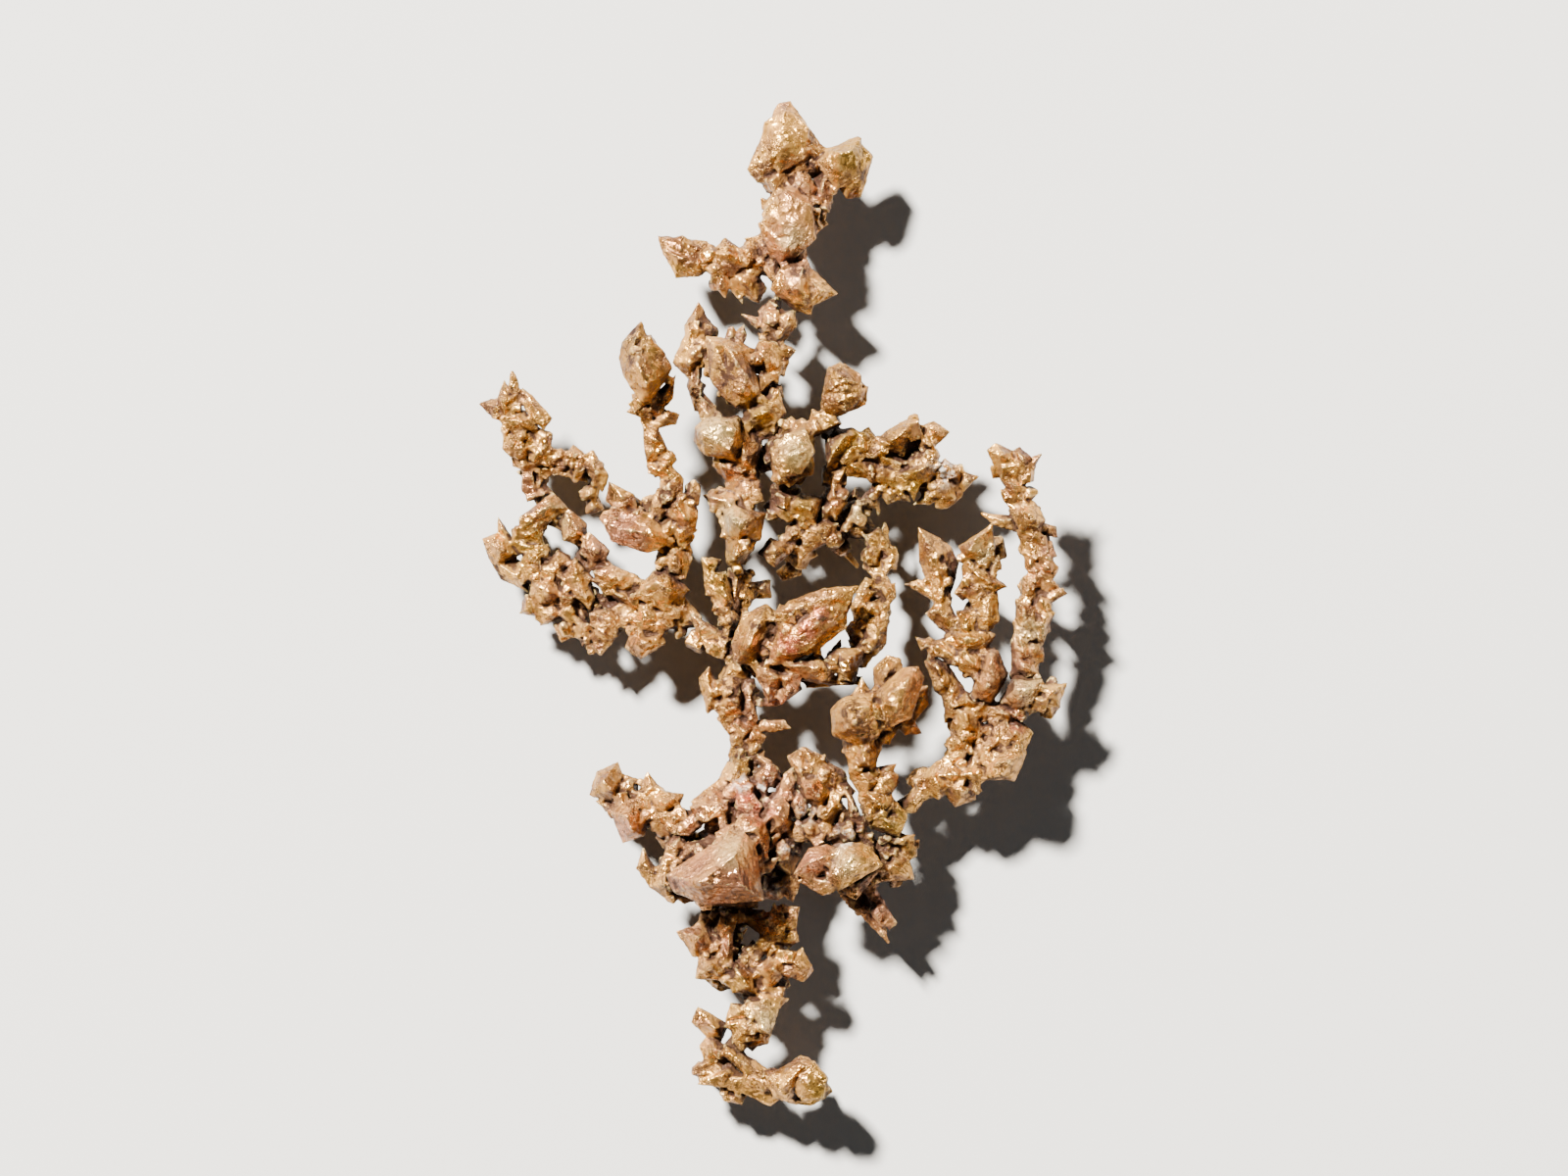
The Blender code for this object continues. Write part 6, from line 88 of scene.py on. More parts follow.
PAINTED_SHADE_SPOTS = [(2.2, -0.8, 0.9), (3.9, -1.4, 0.8), (-1.5, -1.6, 0.7), (6.3, -8.6, 1.1),
        (-3.5, 18.4, 1.5), (-3.2, -6.9, 0.9), (-3.3, -29.1, 0.8),
        (-8.2, -22.6, 0.9), (11.2, 12.6, 1.1), (2.8, -13.3, 0.9), (-22.2, 2.4, 1.0),
        (7.6, -24.0, 0.8), (-11.0, 19.6, 0.8), (-11.4, 21.6, 1.1), (-5.2, 22.6, 1.1),
        (2.0, 26.4, 0.9), (0.2, 22.0, 1.0), (-8.6, 8.6, 0.9), (2.8, 35.0, 0.8)]
PAINTED_HIGHLIGHT_SPOTS = [(-4.4, 13.8, 1.7), (2.0, 12.2, 1.6), (-3.4, 7.0, 1.4), (-0.8, -33.0, 1.3),
        (6.8, 7.5, 1.3), (17.0, 4.0, 1.4), (20.4, -6.6, 1.3), (20.4, -2.3, 1.3),
        (-3.0, -19.5, 1.6), (5.6, -20.4, 1.3), (-17.4, 7.0, 1.2), (1.6, 29.0, 1.3)]
GREY = [(13.5, 10.4, 1.3), (-2.6, -14.3, 0.9), (-0.8, -14.7, 0.9), (5.8, -18.5, 1.0),
        (1.5, -19.5, 0.8), (2.7, -16.7, 0.9), (-0.3, -22.4, 1.2)]

# Clefts narrower than this, in millimetres, are filled where a fork is a dense mass.
DENSE = {"hub": 2.2, "lower_right_cluster": 1.6, "lower_stem": 1.3, "crown": 1.3}

# Broad crystals on top of a fork: (x, y, z, width, length) in mm, and a turn in degrees.
GEMS = {
    "crown": [(1.4, 30.3, 8.0, 4.4, 5.6, 8.0), (0.9, 36.9, 7.1, 4.3, 5.2, -8.0),
              (-7.0, 27.9, 6.2, 2.6, 4.3, 55.0), (-3.6, 27.5, 6.4, 2.6, 2.9, 10.0),
              (2.5, 33.3, 6.9, 1.9, 2.5, 30.0)],
    "foot_hook": [(2.8, -38.0, 7.2, 3.3, 3.6, 40.0)],
    "leaf_cluster": [(3.2, -1.5, 10.1, 3.2, 8.0, -47.0)],
    "upper_trunk": [(1.6, 11.9, 9.7, 3.2, 4.3, -30.0)],
    "paddle_twig": [(5.7, 17.2, 9.8, 3.1, 4.0, 0.0)],
    "hub": [(-2.1, -17.8, 9.3, 2.0, 2.4, 20.0), (0.5, -16.4, 8.4, 1.9, 2.2, -10.0),
            (-4.9, -16.4, 8.1, 1.6, 3.2, -60.0), (-3.0, -14.8, 7.6, 1.6, 2.8, -50.0),
            (2.2, -18.1, 7.4, 1.8, 2.1, 30.0), (1.2, -14.4, 7.6, 1.5, 3.0, -15.0),
            (-0.2, -13.6, 7.4, 1.7, 2.0, 15.0), (-6.6, -17.6, 7.2, 1.6, 2.6, -55.0),
            (0.6, -19.6, 7.2, 1.7, 2.0, 40.0), (-7.8, -19.2, 6.6, 1.5, 2.2, -40.0),
            (-2.0, -16.1, 8.0, 2.2, 2.6, 35.0), (2.0, -16.0, 7.6, 1.9, 2.4, 5.0)],
}

# A broad crystal's girdle, top and underside, as shares of its width: the radius at the
# bottom and at the top of each, its height and how high its middle stands.
GEM_LAYERS = ((0.50, 0.50, 0.14, 0.0), (0.50, 0.12, 0.24, 0.19), (0.12, 0.50, 0.30, -0.22))
GEM_TILT = 0.25              # radians

# A small crystal, as shares of its width. Up to BLOCKS of them are blocks, from there up
# to ROUNDS are rounded gems, and the rest are prisms with a pointed cap.
BLOCKS = 0.35
ROUNDS = 0.6
BLOCK = 0.9
ROUND = 0.6
PRISM_FOOT = 0.52
PRISM_TOP = 0.58
PRISM_HEIGHT = 0.8
CAP_HEIGHT = 0.36
CRYSTAL_TILT = 0.6           # radians

# Where small crystals grow.
LIFT = 0.02                  # mm: a cleft is measured from this far off the surface
CLEFT_FILL = 1.3             # a filling is this much wider than its cleft
APART = 0.8                  # fillings stand this share of their width apart
ANGLE = -0.45                # radians: buds grow where faces meet as hollow as this
SUNK = 0.08                  # the share of its width that a bud is let in
SMALL_BUDS = 2.2             # the higher, the more of the buds are small
EYE = 0.05                   # mm: a bud's place looks round from this far off
LOOKS = 8                    # the ways it looks
CROWD = 3                    # a bud grows where this many of them meet a crystal
KNOT_SEARCH = 1.6            # shares of the reach within which the next fork is looked for
KNOTS_APART = 0.55           # knots stand this share of their width apart

# The lumps, pits and tooth: their breadth in mm, and the level that stays where it is.
LUMP_BREADTH = 1.1
PIT_BREADTH = 0.7
TOOTH_BREADTH = 0.30
EVEN = 0.5
PIT_LEVEL = 0.28

# How the bends of the surface are told apart: the rounds of smoothing, one after another,
# and the depth in mm that counts as a full bend.
FINE_ROUNDS, MEDIUM_ROUNDS, BROAD_ROUNDS = 2, 6, 16
FINE_BEND, MEDIUM_BEND, BROAD_BEND = 0.06, 0.16, 0.45
TONE_ROUNDS, CLOSE_ROUNDS, FLANK_ROUNDS = 1, 4, 3
FLANK = 0.75                 # faces that look up less than this count as flanks
SPOT_RIM = 1.25              # a tint fades out at this share of its radius

# How facets that lie in one plane are told from others, and given a tone of their own.
PLANE_STEP = 0.4             # mm
PLANE_TURNS = 5.0
TONE_WAVES = (12.9898, 78.233, 37.719, 4.581)
TONE_SCATTER = 43758.5453

# How closeness is measured.
CELL_LIFT = 0.6              # cells: how far off the surface a look starts
LOOK_OUT = 1.05              # how strongly each look leans outwards
FAR_LOSS = 0.6               # how much less a crystal counts at the end of the sight

# Lights: place and width in metres, power in watts and colour.
LIGHTS = {"key": ((-0.85, 1.02, 1.50), 0.20, 425.0, (1.0, 0.96, 0.89)),
          "fill": ((1.30, -0.60, 1.40), 1.20, 4.0, (0.95, 0.97, 1.0))}
ROOM_COLOUR = (0.95, 0.97, 1.0, 1.0)
ROOM_STRENGTH = 0.05
FLOOR_SIZE = 1.5             # metres, from the middle to each side
FLOOR_ROUGHNESS = 0.8
SENSOR_WIDTH = 36.0          # millimetres
NEAREST = 0.01               # metres: the camera sees nothing nearer


class CopperSizes(bpy.types.PropertyGroup):
    """Sizes of the small crystals and of the surface mesh"""
    grain: bpy.props.FloatProperty(
        name="Grain", description="Cell of the surface mesh", default=0.105 * MM,
        min=0.05 * MM, precision=5, unit="LENGTH")
    bud_least: bpy.props.FloatProperty(
        name="Smallest bud", description="Width of the smallest crystal in the angles",
        default=0.8 * MM, precision=5, unit="LENGTH")
    bud_most: bpy.props.FloatProperty(
        name="Largest bud", description="Width of the largest crystal in the angles",
        default=1.9 * MM, precision=5, unit="LENGTH")
    bud_spacing: bpy.props.FloatProperty(
        name="Bud spacing", description="Length of angle between crystals for each bud",
        default=1.9 * MM, precision=5, unit="LENGTH")
    sample: bpy.props.FloatProperty(
        name="Sample", description="Spacing of the places tried for a small crystal",
        default=0.7 * MM, precision=5, unit="LENGTH")
    cleft: bpy.props.FloatProperty(
        name="Cleft", description="Clefts narrower than this are filled with crystals",
        default=1.0 * MM, precision=5, unit="LENGTH")
    knot: bpy.props.FloatProperty(
        name="Knot", description="Width of the crystals that join one fork to the next",
        default=1.15 * MM, precision=5, unit="LENGTH")
    reach: bpy.props.FloatProperty(
        name="Reach", description="Two forks this close are joined by a knot",
        default=0.46 * MM, precision=5, unit="LENGTH")
    lump: bpy.props.FloatProperty(
        name="Lumps", description="Height of the broad lumps on the crystal faces",
        default=0.08 * MM, precision=5, unit="LENGTH")
    pit: bpy.props.FloatProperty(
        name="Pits", description="Depth of the pits in the crystal faces",
        default=0.11 * MM, precision=5, unit="LENGTH")
    tooth: bpy.props.FloatProperty(
        name="Tooth", description="Height of the finest roughness",
        default=0.07 * MM, precision=5, unit="LENGTH")
    share: bpy.props.FloatProperty(
        name="Share kept", description="How much of the surface mesh is kept",
        default=0.5)
    cell: bpy.props.FloatProperty(
        name="Cell", description="Spacing of the points where closeness is measured",
        default=0.32 * MM, precision=5, unit="LENGTH")
    sight: bpy.props.FloatProperty(
        name="Sight", description="How far away a crystal still counts as close",
        default=2.6 * MM, precision=5, unit="LENGTH")
    rays: bpy.props.IntProperty(
        name="Rays", description="Directions looked in from each point", default=14)
    seed: bpy.props.IntProperty(
        name="Seed", description="Where the small crystals fall", default=7)


class CopperColours(bpy.types.PropertyGroup):
    """Colours of the copper, its tarnish and the minerals on it"""
    tan: bpy.props.FloatVectorProperty(
        name="Tan", description="The patina on most faces", subtype="COLOR", size=4,
        default=(0.215, 0.088, 0.027, 1.0))
    gold: bpy.props.FloatVectorProperty(
        name="Gold", description="The lighter patina", subtype="COLOR", size=4,
        default=(0.80, 0.405, 0.088, 1.0))
    # Rubbed edges, and also the painted highlights on the pale spots.
    bare_and_highlight: bpy.props.FloatVectorProperty(
        name="Bare metal", description="Copper where edges are rubbed", subtype="COLOR",
        size=4, default=(1.0, 0.73, 0.29, 1.0))
    # Tarnish in pits, cracks and hollows; this colour also paints the shade in hollows, on
    # the flanks and on the dark spots.
    brown: bpy.props.FloatVectorProperty(
        name="Brown", description="Tarnish in the hollows", subtype="COLOR", size=4,
        default=(0.026, 0.011, 0.007, 1.0))
    umber: bpy.props.FloatVectorProperty(
        name="Umber", description="Thin tarnish in blotches", subtype="COLOR", size=4,
        default=(0.120, 0.052, 0.028, 1.0))
    pink: bpy.props.FloatVectorProperty(
        name="Pink", description="Pinkish copper", subtype="COLOR", size=4,
        default=(0.58, 0.235, 0.125, 1.0))
    olive: bpy.props.FloatVectorProperty(
        name="Olive", description="Olive gold faces", subtype="COLOR", size=4,
        default=(0.38, 0.22, 0.030, 1.0))
    red: bpy.props.FloatVectorProperty(
        name="Red", description="Red copper oxide", subtype="COLOR", size=4,
        default=(0.46, 0.095, 0.050, 1.0))
    grey: bpy.props.FloatVectorProperty(
        name="Grey", description="The pale mineral crust", subtype="COLOR", size=4,
        default=(0.42, 0.40, 0.36, 1.0))


class StageSettings(bpy.types.PropertyGroup):
    """What the camera sees and what the tree lies on"""
    view_width: bpy.props.FloatProperty(
        name="View width", description="How much the camera sees across",
        default=125.1 * MM, precision=4, unit="LENGTH")
    view_centre: bpy.props.FloatVectorProperty(
        name="View centre", description="The middle of the view, on the tree's plane",
        default=(0.86 * MM, 1.29 * MM, 6.0 * MM), size=3, precision=5, subtype="TRANSLATION")
    distance: bpy.props.FloatProperty(
        name="Distance", description="From the camera to the tree", default=1.1,
        unit="LENGTH")
    floor: bpy.props.FloatVectorProperty(
        name="Floor", description="The floor's colour", subtype="COLOR", size=4,
        default=(0.42, 0.415, 0.405, 1.0))


# ---------------------------------------------------------------- surface


def solid_copy(node):
    """A bmesh of a solid's faces, with its loose triangles joined."""
    bm = bmesh.new()
    bm.from_mesh(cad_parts[node].data)
    bmesh.ops.remove_doubles(bm, verts=bm.verts, dist=0.0002 * MM)
    return bm


def turned(rng, tilt):
    """A random turn about Z and a tilt of at most the given angle."""
    return (Matrix.Rotation(rng.uniform(0.0, math.tau), 4, "Z")
            @ Matrix.Rotation(rng.uniform(-tilt, tilt), 4, "X")
            @ Matrix.Rotation(rng.uniform(-tilt, tilt), 4, "Y"))


def any_way(rng):
    """A direction, any as likely as another."""
    return Vector((rng.gauss(0, 1), rng.gauss(0, 1), rng.gauss(0, 1))).normalized()


def add_crystal(bm, place, outward, width, rng):
    """A small crystal with its long way along outward: a block, a gem or a prism."""
    stand = outward.to_track_quat("Z", "Y").to_matrix().to_4x4()
    size = Matrix.Diagonal((width * rng.uniform(0.75, 1.0), width * rng.uniform(0.6, 0.9),
                            width * rng.uniform(0.8, 1.3), 1.0))
    matrix = Matrix.Translation(place) @ stand @ turned(rng, CRYSTAL_TILT) @ size
    kind = rng.random()
    if kind < BLOCKS:
        bmesh.ops.create_cube(bm, size=BLOCK, matrix=matrix)
    elif kind < ROUNDS:
        bmesh.ops.create_icosphere(bm, subdivisions=1, radius=ROUND, matrix=matrix)
    else:
        sides = rng.choice((4, 5, 6))
        bmesh.ops.create_cone(bm, cap_ends=True, segments=sides,
                              radius1=PRISM_FOOT, radius2=PRISM_TOP, depth=PRISM_HEIGHT,
                              matrix=matrix)
        tip = matrix @ Matrix.Translation((0.0, 0.0, (PRISM_HEIGHT + CAP_HEIGHT) / 2.0))
        bmesh.ops.create_cone(bm, cap_ends=True, segments=sides, radius1=PRISM_TOP,
                              radius2=rng.uniform(0.1, 0.35), depth=CAP_HEIGHT,
                              matrix=tip)


def add_gem(bm, gem, rng):
    """A broad crystal with a low point above and below its girdle."""
    x, y, z, width, length, turn = gem
    matrix = (Matrix.Translation(Vector((x, y, z)) * MM)
              @ Matrix.Rotation(math.radians(turn), 4, "Z")
              @ Matrix.Rotation(rng.uniform(-GEM_TILT, GEM_TILT), 4, "X")
              @ Matrix.Rotation(rng.uniform(-GEM_TILT, GEM_TILT), 4, "Y")
              @ Matrix.Diagonal((width * MM, length * MM, width * MM, 1.0)))
    for low, high, height, middle in GEM_LAYERS:
        bmesh.ops.create_cone(bm, cap_ends=True, segments=6, radius1=low, radius2=high,
                              depth=height,
                              matrix=matrix @ Matrix.Translation((0.0, 0.0, middle)))


def places_on(bm, spacing, rng):
    """Points spread over a mesh's triangles, each with its triangle's normal."""
    faces = list(bm.faces)
    areas = [f.calc_area() for f in faces]
    places = []
    for face in rng.choices(faces, weights=areas, k=int(sum(areas) / spacing ** 2)):
        a, b = sorted((rng.random(), rng.random()))
        corners = [v.co for v in face.verts]
        place = corners[0] * a + corners[1] * (b - a) + corners[2] * (1.0 - b)
        places.append((place, face.normal.copy()))
    return places


def add_fillings(bm, rind, own, cleft, sizes, rng):
    """Crystals that fill a fork's narrow clefts."""
    made = []
    for place, normal in places_on(rind, sizes.sample, rng):
        start = place + normal * LIFT * MM
        there, _, _, distance = own.ray_cast(start, normal, cleft)
        if there is None:
            continue
        middle = (place + there) / 2.0
        width = max(distance * CLEFT_FILL, sizes.bud_least)
        if any((middle - spot).length < APART * width for spot in made):
            continue
        made.append(middle)
        add_crystal(bm, middle, -normal, width, rng)


def crowded(own, place, outward, sizes, rng):
    """Whether other crystals stand close round a place."""
    near = 0
    for _ in range(LOOKS):
        way = (outward + any_way(rng)).normalized()
        if own.ray_cast(place + outward * EYE * MM, way, sizes.sight)[0]:
            near += 1
    return near >= CROWD


def add_buds(bm, own, sizes, rng):
    """Small crystals in the angles where larger ones meet."""
    bm.normal_update()
    angles = [e for e in bm.edges if len(e.link_faces) == 2
              and e.calc_face_angle_signed(0.0) < ANGLE]
    weights = [e.calc_length() for e in angles]
    count = int(sum(weights) / sizes.bud_spacing)
    chosen = rng.choices(angles, weights=weights, k=count)
    buds = []
    for edge in chosen:
        a, b = edge.verts
        place = a.co.lerp(b.co, rng.random())
        outward = (edge.link_faces[0].normal + edge.link_faces[1].normal).normalized()
        width = (sizes.bud_least
                 + (sizes.bud_most - sizes.bud_least) * rng.random() ** SMALL_BUDS)
        if crowded(own, place, outward, sizes, rng):
            buds.append((place - outward * width * SUNK, outward, width))
    for place, outward, width in buds:
        add_crystal(bm, place, outward, width, rng)


def add_knots(bm, rind, node, sizes, trees, rng):
    """Crystals across the narrow gaps to the forks beside this one."""
    faces = [(f.calc_center_median(), f.normal.copy()) for f in rind.faces]
    order = list(trees)
    made = []
    for other in order[:order.index(node)]:
        for middle, normal in faces:
            place, _, _, distance = trees[other].find_nearest(
                middle, sizes.reach * KNOT_SEARCH)
            if place is None or distance > sizes.reach:
                continue
            centre = (middle + place) / 2.0
            if any((centre - spot).length < sizes.knot * KNOTS_APART for spot in made):
                continue
            made.append(centre)
            add_crystal(bm, centre, normal, sizes.knot * rng.uniform(0.7, 1.1), rng)


def noise_texture(name, kind, scale, depth=2):
    """A procedural texture that the surface is roughened with."""
    texture = bpy.data.textures.new(name, kind)
    texture.noise_scale = scale
    if kind == "CLOUDS":
        texture.noise_depth = depth
    return texture


def roughen(thing, texture, strength, middle):
    """Push the surface in and out by a texture."""
    push = thing.modifiers.new(texture.name, "DISPLACE")
    push.texture = texture
    push.texture_coords = "LOCAL"
    push.strength = strength
    push.mid_level = middle


def settle_modifiers(thing):
    """Replace a piece's mesh by what its modifiers make of it."""
    depsgraph = bpy.context.evaluated_depsgraph_get()
    mesh = bpy.data.meshes.new_from_object(thing.evaluated_get(depsgraph))
    thing.modifiers.clear()
    thing.data = mesh


def rows_of(items, name, width, kind=np.float32):
    """One value of every item of a mesh, a row for each."""
    data = np.empty(len(items) * width, dtype=kind)
    items.foreach_get(name, data)
    return data.reshape(-1, width)


def smoothed(values, edges, count, rounds):
    """Each vertex's value averaged with its neighbours', the given number of times."""
    ends = np.concatenate([edges[:, 0], edges[:, 1]])
    others = np.concatenate([edges[:, 1], edges[:, 0]])
    degree = np.maximum(np.bincount(ends, minlength=count), 1)
    for _ in range(rounds):
        values = np.stack([np.bincount(ends, values[others, i], count) / degree
                           for i in range(values.shape[1])], axis=1)
    return values


def spots(places, points):
    """How far each point lies inside any of the round spots, seen from above."""
    best = np.zeros(len(points))
    for x, y, radius in places:
        away = np.hypot(points[:, 0] - x * MM, points[:, 1] - y * MM) / (radius * MM)
        best = np.maximum(best, np.clip(SPOT_RIM - away, 0.0, 1.0))
    return best


def facet_tones(bm):
    """A tone from 0 to 1 for each triangle, the same for all that lie in one plane."""
    tones = []
    for face in bm.faces:
        normal = face.normal
        reach = normal.dot(face.verts[0].co) / (PLANE_STEP * MM)
        plane = [round(value * PLANE_TURNS) for value in normal] + [round(reach)]
        phase = sum(value * turn for value, turn in zip(plane, TONE_WAVES))
        wave = math.sin(phase) * TONE_SCATTER
        tones.append(wave - math.floor(wave))
    return tones


def tones_at(points, facets, tones):
    """The tone of the facet that lies nearest to each point."""
    return np.array([tones[facets.find_nearest(Vector(point))[2]] for point in points])


def add_attributes(mesh, close, facets, tones):
    """Record how the surface bends, and where its tints, painted shade spots and painted
    highlight spots lie, for the finish to read.
    """
    count = len(mesh.vertices)
    points = rows_of(mesh.vertices, "co", 3).astype(np.float64)
    normals = rows_of(mesh.vertices, "normal", 3)
    edges = rows_of(mesh.edges, "vertices", 2, np.int64)
    near = smoothed(points, edges, count, FINE_ROUNDS)
    mid = smoothed(near, edges, count, MEDIUM_ROUNDS)
    far = smoothed(mid, edges, count, BROAD_ROUNDS)
    fine = ((points - near) * normals).sum(axis=1) / (FINE_BEND * MM)
    medium = ((points - mid) * normals).sum(axis=1) / (MEDIUM_BEND * MM)
    broad = ((points - far) * normals).sum(axis=1) / (BROAD_BEND * MM)
    tone = tones_at(points, facets, tones)[:, None]
    # Faces that look up less than FLANK; the finish paints shade on them.
    flank = np.clip(FLANK - normals[:, 2:3], 0.0, 1.0)
    values = {
        "tone": smoothed(tone, edges, count, TONE_ROUNDS)[:, 0],
        "close": smoothed(close[:, None], edges, count, CLOSE_ROUNDS)[:, 0],
        "edge": np.clip(fine, -1.0, 1.0),
        "seam": np.clip(medium, -1.0, 1.0),
        "swell": np.clip(broad, -1.0, 1.0),
        "flank": smoothed(flank, edges, count, FLANK_ROUNDS)[:, 0],
        "pink": spots(PINK, points),
        "olive": spots(OLIVE, points),
        "red": spots(RED, points),
        "dark": spots(PAINTED_SHADE_SPOTS, points),
        "pale": spots(PAINTED_HIGHLIGHT_SPOTS, points),
        "grey": spots(GREY, points),
    }
    for name, data in values.items():
        layer = mesh.attributes.new(name, "FLOAT", "POINT")
        layer.data.foreach_set("value", data.astype(np.float32))


def hold_in_box(mesh):
    """Keep the surface inside the box of the solids, and off the ground."""
    low, high = (Vector(corner) for corner in SOLID_BOX)
    points = np.clip(rows_of(mesh.vertices, "co", 3), np.array(low), np.array(high))
    mesh.vertices.foreach_set("co", points.ravel().astype(np.float32))
    mesh.update()


def faceted_fork(node, trees, sizes):
    """One fork's solid with its small crystals, still in flat faces.

    Its search tree and the tone of each face come with it.
    """
    rng = random.Random(sizes.seed + sum(map(ord, node)))
    bm = solid_copy(node)
    rind = bm.copy()
    add_buds(bm, trees[node], sizes, rng)
    cleft = DENSE[node] * MM if node in DENSE else sizes.cleft
    add_fillings(bm, rind, trees[node], cleft, sizes, rng)
    for gem in GEMS.get(node, ()):
        add_gem(bm, gem, rng)
    add_knots(bm, rind, node, sizes, trees, rng)
    rind.free()
    bmesh.ops.triangulate(bm, faces=bm.faces)
    bm.normal_update()
    mesh = bpy.data.meshes.new(node + "_surface")
    bm.to_mesh(mesh)
    facets = BVHTree.FromBMesh(bm)
    tones = facet_tones(bm)
    bm.free()
    return mesh, facets, tones


_tree = {}


def faceted_tree(sizes):
    """Every fork's faceted mesh, and one search tree through them all, made once."""
    if not _tree:
        solids = {}
        for node in TRUNK + LEFT + MIDDLE + RIGHT:
            bm = solid_copy(node)
            solids[node] = BVHTree.FromBMesh(bm)
            bm.free()
        whole = bmesh.new()
        for node in solids:
            _tree[node] = faceted_fork(node, solids, sizes)
            whole.from_mesh(_tree[node][0])
        _tree["all"] = BVHTree.FromBMesh(whole)
        whole.free()
    return _tree


def closeness(mesh, tree, sizes):
    """How closely each point is walled in by the crystals round it, from 0 to 1. The finish
    paints shade by it.
    """
    points = rows_of(mesh.vertices, "co", 3).astype(np.float64)
    normals = rows_of(mesh.vertices, "normal", 3).astype(np.float64)
    cells = np.round(points / sizes.cell).astype(np.int64)
    _, cell, share = np.unique(cells, axis=0, return_inverse=True, return_counts=True)
    cell = cell.reshape(-1)
    middle = np.stack([np.bincount(cell, points[:, i]) / share for i in range(3)], axis=1)
    facing = np.stack([np.bincount(cell, normals[:, i]) for i in range(3)], axis=1)
    facing /= np.maximum(np.linalg.norm(facing, axis=1, keepdims=True), 1e-9)
    rng = random.Random(sizes.seed)
    rays = [any_way(rng) for _ in range(sizes.rays)]
    found = np.zeros(len(middle))
    for i, (place, out) in enumerate(zip(middle, facing)):
        out = Vector(out)
        start = Vector(place) + out * sizes.cell * CELL_LIFT
        for ray in rays:
            way = (out * LOOK_OUT + ray).normalized()
            distance = tree.ray_cast(start, way, sizes.sight)[3]
            if distance is not None:
                found[i] += 1.0 - FAR_LOSS * distance / sizes.sight
    return (found / len(rays))[cell]


def grow(context, node):
    """Grow the rough surface of one fork over its solid."""
    scene = context.scene
    sizes = scene.copper_sizes
    tree = faceted_tree(sizes)
    mesh, facets, tones = tree[node]
    thing = bpy.data.objects.new(node + "_surface", mesh)
    scene.collection.objects.link(thing)
    remesh = thing.modifiers.new("grain", "REMESH")
    remesh.mode = "VOXEL"
    remesh.voxel_size = sizes.grain * 1.0
    remesh.use_smooth_shade = True
    roughen(thing, noise_texture("lumps", "CLOUDS", LUMP_BREADTH * MM, 2), sizes.lump, EVEN)
    pits = noise_texture("pits", "VORONOI", PIT_BREADTH * MM)
    pits.distance_metric = "DISTANCE_SQUARED"
    roughen(thing, pits, sizes.pit, PIT_LEVEL)
    tooth = noise_texture("tooth", "CLOUDS", TOOTH_BREADTH * MM, 3)
    roughen(thing, tooth, sizes.tooth, EVEN)
    fewer = thing.modifiers.new("fewer", "DECIMATE")
    fewer.ratio = sizes.share
    settle_modifiers(thing)
    hold_in_box(thing.data)
    close = closeness(thing.data, tree["all"], sizes)
    add_attributes(thing.data, close, facets, tones)
    thing.data.materials.clear()
    thing.data.materials.append(copper(context))
    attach(thing, "root")
    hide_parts(node)


# ---------------------------------------------------------------- finish


class Nodes:
    """Adds nodes to one material and joins them."""

    def __init__(self, material):
        material.use_nodes = True
        self.tree = material.node_tree
        self.shader = self.tree.nodes["Principled BSDF"]
        coordinates = self.tree.nodes.new("ShaderNodeTexCoord")
        self.place = coordinates.outputs["Object"]

    def add(self, kind, inputs=None, **settings):
        node = self.tree.nodes.new(kind)
        for name, value in settings.items():
            setattr(node, name, value)
        for name, value in (inputs or {}).items():
            self.put(value, node.inputs[name])
        return node

    def put(self, value, socket):
        if isinstance(value, bpy.types.NodeSocket):
            self.tree.links.new(value, socket)
        else:
            socket.default_value = value

    def mark(self, name):
        """A number kept on the surface."""
        return self.add("ShaderNodeAttribute", attribute_name=name).outputs["Fac"]

    def noise(self, scale, detail=4.0, roughness=0.55):
        return self.add("ShaderNodeTexNoise", {"Vector": self.place, "Scale": scale / MM,
                                               "Detail": detail, "Roughness": roughness},
                        ).outputs["Fac"]

    def cells(self, scale):
        return self.add("ShaderNodeTexVoronoi", {"Vector": self.place, "Scale": scale / MM},
                        distance="MANHATTAN").outputs["Distance"]

    def cracks(self, scale, width):
        """Thin wandering lines: 1 on a line and 0 away from it."""
        wander = self.add("ShaderNodeTexNoise", {"Vector": self.place, "Scale": 1.1 / MM,
                                                 "Detail": 5.0, "Roughness": 0.7})
        moved = self.add("ShaderNodeVectorMath", operation="MULTIPLY_ADD")
        self.put(wander.outputs["Color"], moved.inputs[0])
        self.put((1.3 * MM,) * 3, moved.inputs[1])
        self.put(self.place, moved.inputs[2])
        lines = self.add("ShaderNodeTexVoronoi", {"Vector": moved.outputs[0],
                                                  "Scale": scale / MM},
                         feature="DISTANCE_TO_EDGE").outputs["Distance"]
        return self.ramp(lines, 0.0, width, 1.0, 0.0)

    def ramp(self, value, low, high, to_low=0.0, to_high=1.0):
        """The value's range from low to high made 0 to 1, and held there."""
        return self.add("ShaderNodeMapRange", {"Value": value, "From Min": low,
                                               "From Max": high, "To Min": to_low,
                                               "To Max": to_high}, clamp=True,
                        ).outputs["Result"]

    def reckon(self, operation, a, b):
        node = self.add("ShaderNodeMath", operation=operation)
        self.put(a, node.inputs[0])
        self.put(b, node.inputs[1])
        return node.outputs[0]

    def times(self, a, b):
        return self.reckon("MULTIPLY", a, b)

    def plus(self, a, b):
        return self.reckon("ADD", a, b)

    def tint(self, share, below, above):
        node = self.add("ShaderNodeMix", data_type="RGBA")
        self.put(share, node.inputs[0])
        self.put(below, node.inputs[6])
        self.put(above, node.inputs[7])
        return node.outputs[2]


